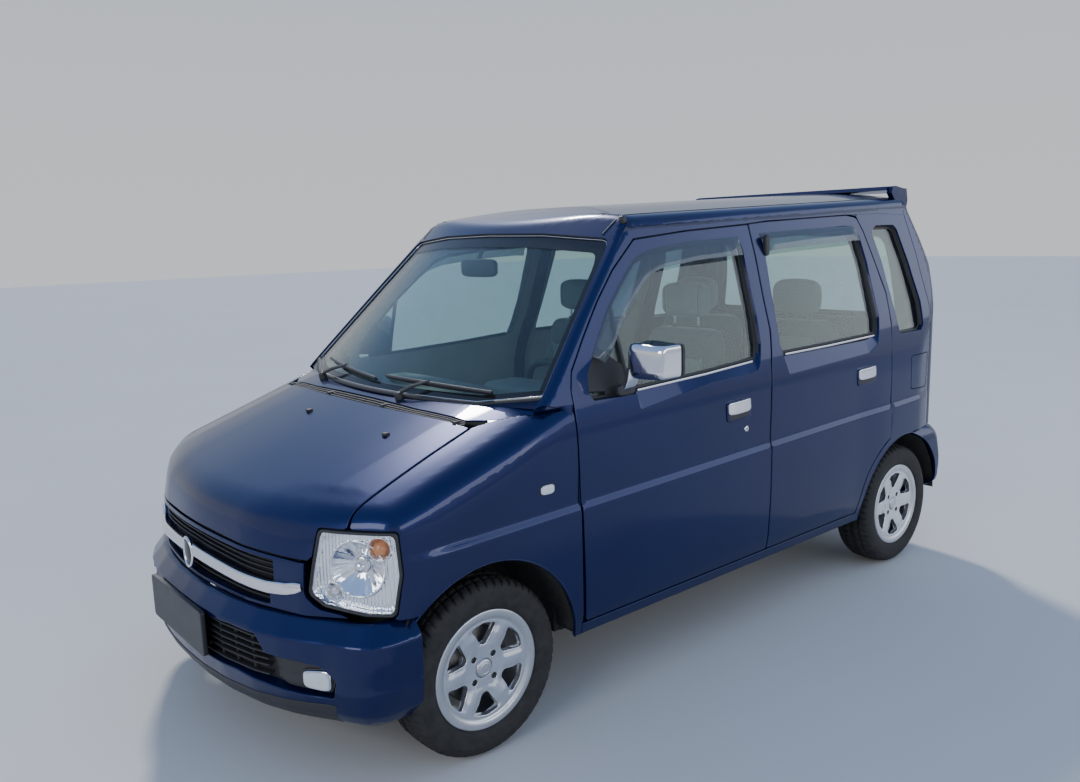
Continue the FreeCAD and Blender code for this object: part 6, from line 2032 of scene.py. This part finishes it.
def lean(amount, z_half, base):
    """Leans a back rearwards with height."""
    def shape(p):
        q = base(p)
        q[..., 0] -= amount * (q[..., 2] / z_half)
        return q
    return shape


YC = 0.320
pad("front_seat_cushion_left",
    [((-0.012, YC, 0.545), (0.238, 0.205, 0.078), 0.34, crown(2, 0.10)),
     ((-0.030, YC + 0.188, 0.556), (0.205, 0.034, 0.074), 0.50, crown(2, 0.05)),
     ((-0.030, YC - 0.188, 0.556), (0.205, 0.034, 0.074), 0.50, crown(2, 0.05)),
     ((0.180, YC, 0.560), (0.048, 0.190, 0.066), 0.55, crown(2, 0.06))],
    "front_seats",
    [[(-0.235, YC - 0.146, 0.7), (0.120, YC - 0.150, 0.7), (0.150, YC - 0.120, 0.7), (0.150, YC + 0.120, 0.7), (0.120, YC + 0.150, 0.7), (-0.235, YC + 0.146, 0.7)],
     [(-0.060, YC - 0.148, 0.7), (-0.052, YC, 0.7), (-0.060, YC + 0.148, 0.7)],
     [(0.050, YC - 0.150, 0.7), (0.060, YC, 0.7), (0.050, YC + 0.150, 0.7)]],
    (0, 0, -1), split=lambda c: (np.abs(c[:, 1] - YC) < 0.148) & (c[:, 0] < 0.150) & (c[:, 2] > 0.57), twin=True)
pad("front_seat_back_left",
    [((-0.310, YC, 0.861), (0.046, 0.194, 0.289), 0.34, lean(0.016, 0.289, crown(0, 0.12))),
     ((-0.296, YC + 0.174, 0.800), (0.050, 0.034, 0.215), 0.50, lean(0.012, 0.215, crown(0, 0.05))),
     ((-0.296, YC - 0.174, 0.800), (0.050, 0.034, 0.215), 0.50, lean(0.012, 0.215, crown(0, 0.05)))],
    "front_seats",
    [[(-0.2, YC - 0.135, 0.585), (-0.2, YC - 0.130, 0.980), (-0.2, YC - 0.105, 1.020), (-0.2, YC + 0.105, 1.020), (-0.2, YC + 0.130, 0.980), (-0.2, YC + 0.135, 0.585)],
     [(-0.2, YC - 0.134, 0.720), (-0.2, YC, 0.712), (-0.2, YC + 0.134, 0.720)],
     [(-0.2, YC - 0.132, 0.860), (-0.2, YC, 0.852), (-0.2, YC + 0.132, 0.860)]],
    (-1, 0, 0), split=lambda c: (np.abs(c[:, 1] - YC) < 0.133) & (c[:, 2] < 1.020) & (c[:, 0] > -0.32), twin=True)
pad("front_seat_headrest_left",
    [((-0.322, YC, 1.249), (0.036, 0.118, 0.070), 0.50, crown(0, 0.14))],
    "front_seats", [[(-0.2, YC - 0.088, 1.185), (-0.2, YC - 0.088, 1.310)], [(-0.2, YC + 0.088, 1.185), (-0.2, YC + 0.088, 1.310)]],
    (-1, 0, 0), cap=0.008, voxel=0.0085, groove=0.004, twin=True)
pad("rear_seat_cushion",
    [((-0.825, 0.0, 0.530), (0.238, 0.448, 0.082), 0.30, crown(2, 0.06)),
     ((-0.628, 0.0, 0.548), (0.052, 0.430, 0.064), 0.50, crown(2, 0.05))],
    "rear_seat",
    [[(-0.995, -0.405, 0.7), (-0.700, -0.410, 0.7), (-0.668, -0.380, 0.7), (-0.668, 0.380, 0.7), (-0.700, 0.410, 0.7), (-0.995, 0.405, 0.7)],
     [(-1.02, 0.0, 0.7), (-0.668, 0.0, 0.7)],
     [(-0.780, -0.408, 0.7), (-0.772, 0.0, 0.7), (-0.780, 0.408, 0.7)],
     [(-0.890, -0.406, 0.7), (-0.882, 0.0, 0.7), (-0.890, 0.406, 0.7)]],
    (0, 0, -1), cap=0.011, voxel=0.0150, split=lambda c: (np.abs(c[:, 1]) < 0.407) & (c[:, 0] < -0.668) & (c[:, 2] > 0.56))
for side, tag in ((1, "left"), (-1, "right")):
    yb = 0.267 * side
    pad("rear_seat_back_" + tag,
        [((-1.126, yb, 0.885), (0.050, 0.252, 0.232), 0.32, crown(0, 0.12))],
        "rear_seat",
        [[(-1.0, yb - 0.180, 0.675), (-1.0, yb - 0.176, 1.030), (-1.0, yb + 0.176, 1.030), (-1.0, yb + 0.180, 0.675)],
         [(-1.0, yb - 0.178, 0.790), (-1.0, yb, 0.784), (-1.0, yb + 0.178, 0.790)],
         [(-1.0, yb - 0.177, 0.910), (-1.0, yb, 0.904), (-1.0, yb + 0.177, 0.910)]],
        (-1, 0, 0), voxel=0.0135, split=lambda c, yb=yb: (np.abs(c[:, 1] - yb) < 0.178) & (c[:, 2] < 1.030) & (c[:, 0] > -1.12))
    pad("rear_seat_headrest_" + tag,
        [((-1.130, 0.300 * side, 1.206), (0.040, 0.128, 0.086), 0.62, crown(0, 0.12))],
        "rear_seat", [], (-1, 0, 0), cap=0.008, voxel=0.0085)

scene_ = bpy.context.scene
for p in PADS:
    m = p["ob"].modifiers.new("remesh", "REMESH")
    m.mode = "VOXEL"
    m.voxel_size = p["voxel"]
    baked(p["ob"])
    p["start"] = places(p["ob"].data)
    c = p["ob"].modifiers.new("cloth", "CLOTH")
    c.settings.quality = 4
    c.settings.use_pressure = True
    c.settings.uniform_pressure_force = 4.0
    c.settings.effector_weights.gravity = 0.0
    c.settings.mass = 0.3
    c.point_cache.frame_start = 1
    c.point_cache.frame_end = 20
for f in range(1, 21):
    scene_.frame_set(f)
for p in PADS:
    me = baked(p["ob"])
    now = places(me)
    step = now - p["start"]
    ln = np.linalg.norm(step, axis=1)
    step *= np.minimum(1.0, p["cap"] / np.maximum(ln, 1e-9))[:, None]
    me.vertices.foreach_set("co", (p["start"] + step).ravel())
    me.update()
scene_.frame_set(1)
for p in PADS:
    ob = p["ob"]
    s = ob.modifiers.new("fine", "SUBSURF")
    s.levels = 1
    s.render_levels = 1
    me = baked(ob)
    co = places(me)
    d = Vector(p["view"])
    lines = []
    tree = BVHTree.FromPolygons([tuple(v) for v in co], [tuple(f.vertices) for f in me.polygons])
    for seam_line in p["seams"]:
        q = resample(np.array(seam_line), max(12, int(np.linalg.norm(np.diff(np.array(seam_line), axis=0), axis=1).sum() / 0.006)))
        hit = []
        for v in q:
            loc, nor, idx, dist = tree.ray_cast(Vector(v) - d * 0.15, d)
            if loc is not None:
                hit.append((*loc, *nor))
        if len(hit) > 4:
            lines.append(np.array(hit))
    if lines:
        allp = np.vstack(lines)
        kd = KDTree(len(allp))
        for i, v in enumerate(allp):
            kd.insert(v[:3], i)
        kd.balance()
        nrm = np.empty(len(me.vertices) * 3)
        me.vertices.foreach_get("normal", nrm)
        nrm = nrm.reshape(-1, 3)
        dist = np.array([kd.find(v)[2] for v in co])
        co = co - nrm * (p["groove"] * np.exp(-(dist / p["width"]) ** 2))[:, None]
        me.vertices.foreach_set("co", co.ravel())
    me.materials.clear()
    me.materials.append(M["cloth_dark"])
    me.materials.append(M["cloth"])
    if p["split"] is not None:
        cen = np.empty(len(me.polygons) * 3)
        me.polygons.foreach_get("center", cen)
        me.polygons.foreach_set("material_index", p["split"](cen.reshape(-1, 3)).astype(int).tolist())
    else:
        me.polygons.foreach_set("material_index", [1] * len(me.polygons))
    me.polygons.foreach_set("use_smooth", [True] * len(me.polygons))
    me.update()
    name = ob.name
    pieces = [ob]
    seam_sh = Shell()
    for ln in lines:
        sweep(seam_sh, ln[:, :3] - ln[:, 3:] * (p["groove"] * 0.82), oval(0.0016, 0.0016, 6), "piping", normal=tuple(ln[len(ln) // 2, 3:]))
    if p["twin"]:
        other = ob.copy()
        other.data = me.copy()
        other.name = name.replace("left", "right")
        bpy.context.scene.collection.objects.link(other)
        om = other.data
        oc = places(om) * np.array([1, -1, 1])
        om.vertices.foreach_set("co", oc.ravel())
        om.flip_normals()
        om.update()
        pieces.append(other)
        if lines:
            seam_sh.both()
    for ob in pieces:
        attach(ob, "body")
        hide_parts(p["node"])
    if lines:
        seam_sh.piece(name.replace("_left", "") + ("_seams" if p["twin"] or "left" not in name else "_seams_left"), "body", "seat_cloth")

# what carries the pads: plinths, hinge covers, headrest posts
seat_base = Shell()
block(seat_base, (-0.010, YC, 0.447), (0.225, 0.185, 0.016), "dash_low", e=0.3, n=14)
for s in (1, -1):
    block(seat_base, (-0.262, YC + 0.2185 * s, 0.560), (0.060, 0.010, 0.055), "dash_low", e=0.5, n=14)
    sweep(seat_base, resample(np.array([(-0.324, YC + 0.062 * s, 1.110), (-0.324, YC + 0.062 * s, 1.200)]), 6), oval(0.0055, 0.0055, 12), "chrome", normal=(1, 0, 0))
    lathe(seat_base, (-0.324, YC + 0.062 * s, 1.138), (0, 0, 1), [(0.0056, 0.010), (0.011, 0.009), (0.013, 0.003), (0.013, -0.01)], "black", n=16)
block(seat_base, (-0.025, YC, 0.350), (0.215, 0.172, 0.080), "under", e=0.18, n=14)
seat_base.both()
seat_base.piece("front_seat_frames", "body", "dash_plastic")
rear_base = Shell()
for s in (1, -1):
    for t in (1, -1):
        sweep(rear_base, resample(np.array([(-1.130, 0.300 * s + 0.062 * t, 1.090), (-1.130, 0.300 * s + 0.062 * t, 1.170)]), 6), oval(0.0055, 0.0055, 12), "chrome", normal=(1, 0, 0))
        lathe(rear_base, (-1.130, 0.300 * s + 0.062 * t, 1.108), (0, 0, 1), [(0.0056, 0.012), (0.011, 0.011), (0.013, 0.004), (0.013, -0.01)], "black", n=16)
block(rear_base, (-0.748, 0, 0.350), (0.106, 0.455, 0.080), "under", e=0.15, n=14)
block(rear_base, (-1.120, 0, 0.632), (0.050, 0.440, 0.020), "under", e=0.3, n=12)
rear_base.piece("rear_seat_headrest_posts", "body", "dash_plastic")

# ------------------------------------------------------------------ cabin: dashboard, wheel, mirror
dash = Shell()


def dash_top(p):
    """Softly rounded towards the cabin, sinking a little towards the windscreen."""
    q = p.copy()
    q[..., 2] *= 1 - 0.10 * np.clip(q[..., 0] / 0.13, 0, 1)
    q[..., 0] += 0.012 * (1 - (q[..., 1] / 0.64) ** 2)
    return q


block(dash, (0.584, 0, 0.880), (0.126, 0.636, 0.084), "dash", e=0.24, n=36, shape=dash_top)
block(dash, (0.610, 0, 0.735), (0.104, 0.630, 0.094), "dash_low", e=0.22, n=32)
block(dash, (0.556, 0.335, 0.975), (0.088, 0.160, 0.045), "dash", e=0.42, n=30)
block(dash, (0.4800, 0.335, 0.965), (0.012, 0.132, 0.040), "black", e=0.4, n=20)
for yv, r in ((0.335, 0.036), (0.412, 0.027), (0.258, 0.027)):
    lathe(dash, (0.4690, yv, 0.965), (-1, 0, 0.15), [(0.0001, 0.0010), (r * 0.96, 0.0010), (r, 0.0022), (r * 1.06, 0.0010), (r * 1.08, -0.004)], "gauge", n=36)
    for k in range(11):
        a = math.radians(-120 + 24 * k)
        c = np.array([0.4690, yv, 0.965]) + np.array([-0.0024, r * 0.82 * math.sin(a), r * 0.82 * math.cos(a)])
        block(dash, c, (0.0006, 0.0012, 0.0012), "black", e=0.6, n=5)
    sweep(dash, resample(np.array([(0.4662, yv, 0.962), (0.4668, yv - r * 0.5, 0.962 + r * 0.45)]), 5), oval(0.0011, 0.0008, 6), "red", normal=(-1, 0, 0))
block(dash, (0.487, 0, 0.690), (0.047, 0.130, 0.208), "dash_low", e=0.22, n=26)
block(dash, (0.4445, 0, 0.780), (0.006, 0.095, 0.030), "gloss_black", e=0.25, n=16)
block(dash, (0.4435, 0, 0.690), (0.006, 0.098, 0.038), "black", e=0.3, n=16)
for yv in (-0.060, 0.0, 0.060):
    lathe(dash, (0.4385, yv, 0.690), (-1, 0, 0), [(0.0001, 0.016), (0.012, 0.0155), (0.0145, 0.012), (0.0155, 0.0)], "dash", n=24)
for yv in (-0.068, 0.068):
    lathe(dash, (0.4400, yv, 0.780), (-1, 0, 0), [(0.0001, 0.009), (0.007, 0.0085), (0.0085, 0.0)], "dash", n=20)
for yv, z, w in ((-0.545, 0.880, 0.062), (0.580, 0.880, 0.045), (-0.058, 0.866, 0.052), (0.058, 0.866, 0.052)):
    x = 0.4585 if abs(yv) > 0.2 else 0.4490
    block(dash, (x, yv, z), (0.008, w, 0.026), "black", e=0.3, n=16)
    for k in range(4):
        block(dash, (x - 0.0075, yv, z - 0.015 + 0.010 * k), (0.0025, w * 0.88, 0.0016), "dash", e=0.5, n=6)
    block(dash, (x - 0.0080, yv, z), (0.0022, 0.0016, 0.021), "dash", e=0.5, n=6)
# glove box outline and its catch
gb = rounded([(-560, 700, 14), (-190, 700, 14), (-190, 810, 14), (-560, 810, 14)], 0.014, 0.02)[0]
gb3 = np.stack([np.full(len(gb), 0.5065), gb[:, 0], gb[:, 1]], axis=1)
sweep(dash, gb3, oval(0.0022, 0.0022, 8), "black", normal=(-1, 0, 0), closed=True)
block(dash, (0.5045, -0.375, 0.795), (0.006, 0.032, 0.009), "dash", e=0.4, n=12)
# column cover with stalks
col_a, col_b = np.array([0.560, 0.330, 0.800]), np.array([0.398, 0.330, 0.893])
cdir = (col_b - col_a) / np.linalg.norm(col_b - col_a)
cup = np.cross(np.array([0, 1.0, 0]), cdir)
cup = -cup if cup[2] < 0 else cup
block(dash, col_a * 0.42 + col_b * 0.58, (0.085, 0.046, 0.040), "dash", e=0.35, n=22, axes=np.array([cdir, (0, 1, 0), cup]))
for s, drop in ((1, 0.0), (-1, 0.0)):
    base = col_a * 0.22 + col_b * 0.78
    path = resample(np.array([base + (0, 0.040 * s, 0.004), base + (0, 0.085 * s, 0.012), base + (-0.012, 0.132 * s, 0.020)]), 12)
    sweep(dash, path, oval(0.0055, 0.0045, 10), "black", normal=(0, 0, 1), scale=np.linspace(0.8, 1.35, 12))
dash.piece("dashboard_moulding", "body", "dash_plastic", ["dashboard"])

ring_c = col_b + cdir * 0.052
wheel = Shell()
th = np.linspace(0, 2 * math.pi, 97)[:-1]
ring_p = ring_c + np.outer(np.cos(th), cup) * 0.1815 + np.outer(np.sin(th), (0, 1, 0)) * 0.1815
sweep(wheel, ring_p, oval(0.0140, 0.0135, 16), "black", normal=tuple(cdir), closed=True)


def hub_form(p):
    q = p.copy()
    q[..., 0] *= 1 - 0.25 * (q[..., 1] / 0.07) ** 2
    return q


block(wheel, ring_c - cdir * 0.006, (0.022, 0.066, 0.052), "dash", e=0.5, n=26, axes=np.array([cdir, (0, 1, 0), cup]), shape=hub_form)
for ang in (90, -90, 145, -145):
    a = math.radians(ang)
    out = cup * math.cos(a) + np.array([0, 1.0, 0]) * math.sin(a)
    path = resample(np.array([ring_c - cdir * 0.012 + out * 0.040, ring_c - cdir * 0.010 + out * 0.110, ring_c + out * 0.180]), 12)
    sweep(wheel, path, oval(0.0150, 0.0060, 12, 0.8), "dash", normal=tuple(cdir), scale=np.linspace(1.3, 0.7, 12))
lathe(wheel, col_b + cdir * 0.012, cdir, [(0.0001, 0.030), (0.020, 0.030), (0.024, 0.020), (0.026, 0.002), (0.0001, 0.002)], "black", n=24)
wheel.piece("steering_wheel_rim_and_hub", "steering_wheel", "dash_plastic", ["steering_wheel"])

look = Shell()
mc = np.array([0.486, 0.0, 1.410])
block(look, mc, (0.016, 0.104, 0.034), "black", e=0.42, n=26, shape=lambda p: p * np.array([1, 1, 1]) + np.stack([0.10 * p[..., 1] ** 2, 0 * p[..., 1], 0 * p[..., 1]], axis=-1))
block(look, mc - np.array([0.0135, 0, 0]), (0.0035, 0.098, 0.029), "mirror_glass", e=0.42, n=18)
sweep(look, resample(np.array([(0.492, 0, 1.428), (0.478, 0, 1.462), (0.452, 0, 1.488)]), 10), oval(0.008, 0.006, 12), "black", normal=(0, 1, 0))
block(look, (0.448, 0, 1.494), (0.016, 0.018, 0.007), "black", e=0.5, n=12)
look.piece("inner_mirror", "body", "dash_plastic")

# number plates, the rear one carried by the tailgate
plate_f, plate_r = Shell(), Shell()
block(plate_f, np.array([1.6974, 0, 0.40]), (0.0073, 0.2195, 0.0695), "plate", e=0.08, n=12)
block(plate_r, np.array([-1.677, 0, 0.77]), (0.0128, 0.2195, 0.0695), "plate", e=0.08, n=12)
plate_f.piece("blank_plate_front", "body", "plate", ["number_plates"])
plate_r.piece("blank_plate_rear", "tailgate", "plate")

# ------------------------------------------------------------------ finishes of the CAD nodes that stay
KEEP = {
    "paint_in": ["body_side_left", "body_side_right", "roof_panel"],
    "paint": ["tailgate", "roof_spoiler"],
    "under": ["floor_pan", "firewall", "load_floor", "tail_panel", "wheel_houses", "front_frame"],
    "glass": ["quarter_windows", "tailgate_glass", "front_door_glass_left", "front_door_glass_right",
              "rear_door_glass_left", "rear_door_glass_right"],
    "screen": ["windscreen"],
    "dark_metal": ["engine", "radiator", "front_subframe", "front_struts", "rear_axle", "knuckle_left", "knuckle_right", "fuel_tank"],
    "steel": ["exhaust"],
}
for key, names in KEEP.items():
    for name in names:
        ob = NODES[name]
        for slot in ob.material_slots:
            slot.link = "OBJECT"
            slot.material = M[key]

# ------------------------------------------------------------------ stage, light and camera
def stage_material():
    m = material("studio_floor")
    n = Nodes(m)
    co = n.coords()
    col = n.mix(n.noise(0.7, 4.0, 0.6, co), (0.56, 0.555, 0.54), (0.61, 0.605, 0.59))
    n.surface(Base_Color=col, Roughness=0.85, Normal=n.bump(n.noise(260.0, 3.0, 0.6, co), 0.15, 0.001))
    return m


me = bpy.data.meshes.new("floor")
w = 40.0
me.from_pydata([(-w, -w, 0), (w, -w, 0), (w, w, 0), (-w, w, 0)], [], [(0, 1, 2, 3)])
floor = bpy.data.objects.new("floor", me)
me.materials.append(stage_material())
bpy.context.scene.collection.objects.link(floor)

world = bpy.data.worlds.new("studio")
bpy.context.scene.world = world
world.use_nodes = True
nt = world.node_tree
nt.nodes.clear()
bg = nt.nodes.new("ShaderNodeBackground")
bg.inputs["Strength"].default_value = 0.86
wo = nt.nodes.new("ShaderNodeOutputWorld")
tc = nt.nodes.new("ShaderNodeTexCoord")
sep = nt.nodes.new("ShaderNodeSeparateXYZ")
ramp = nt.nodes.new("ShaderNodeValToRGB")
nt.links.new(tc.outputs["Generated"], sep.inputs[0])
nt.links.new(sep.outputs["Z"], ramp.inputs[0])
e = ramp.color_ramp.elements
e[0].position, e[0].color = 0.0, (0.82, 0.845, 0.87, 1)
e[1].position, e[1].color = 0.85, (0.28, 0.46, 0.88, 1)
k = e.new(0.22)
k.color = (0.75, 0.80, 0.87, 1)
k = e.new(0.42)
k.color = (0.38, 0.56, 0.92, 1)
nt.links.new(ramp.outputs[0], bg.inputs["Color"])
nt.links.new(bg.outputs[0], wo.inputs["Surface"])


def area(name, where, at, size, power, tone=(1, 1, 1)):
    li = bpy.data.lights.new(name, "AREA")
    li.shape = "RECTANGLE"
    li.size, li.size_y = size
    li.energy = power
    li.color = tone
    ob = bpy.data.objects.new(name, li)
    ob.location = where
    ob.rotation_euler = (Vector(at) - Vector(where)).to_track_quat("-Z", "Y").to_euler()
    bpy.context.scene.collection.objects.link(ob)


sun = bpy.data.lights.new("key_soft", "SUN")
sun.energy = 2.3
sun.angle = 0.11
sun.color = (1.0, 0.965, 0.91)
sun_ob = bpy.data.objects.new("key_soft", sun)
sun_ob.rotation_euler = (Vector((0, 0, 0)) - Vector((-2.5, -5.5, 6.0))).to_track_quat("-Z", "Y").to_euler()
bpy.context.scene.collection.objects.link(sun_ob)
area("front_soft", (6.5, 2.0, 3.2), (1.2, 0, 0.6), (3.0, 2.0), 110, (1.0, 0.98, 0.95))
area("ledge_soft", (-6.99, 6.82, 3.9), (-0.3, 0.8, 0.7), (9.5, 3.4), 160, (0.90, 0.95, 1.0))
area("side_soft", (-0.5, 7.5, 2.4), (-0.2, 0, 0.7), (5.0, 1.6), 90, (0.98, 0.98, 1.0))

cam = bpy.data.cameras.new("photo_view")
cam.lens = 30.336
cam.sensor_width = 36.0
cam.clip_start = 0.05
cam.clip_end = 200
cob = bpy.data.objects.new("photo_view", cam)
yaw, pitch, roll = 4.0134, 0.1698, -0.0283
dv = Vector((math.cos(yaw) * math.cos(pitch), math.sin(yaw) * math.cos(pitch), -math.sin(pitch)))
rv = dv.cross(Vector((0, 0, 1))).normalized()
uv = rv.cross(dv)
right_v = math.cos(roll) * rv + math.sin(roll) * uv
up_v = -math.sin(roll) * rv + math.cos(roll) * uv
mat = Matrix.Identity(4)
for i in range(3):
    mat[i][0], mat[i][1], mat[i][2] = right_v[i], up_v[i], -dv[i]
mat.translation = Vector((2.5455, 2.7859, 1.5261))
cob.matrix_world = mat
bpy.context.scene.collection.objects.link(cob)
bpy.context.scene.camera = cob
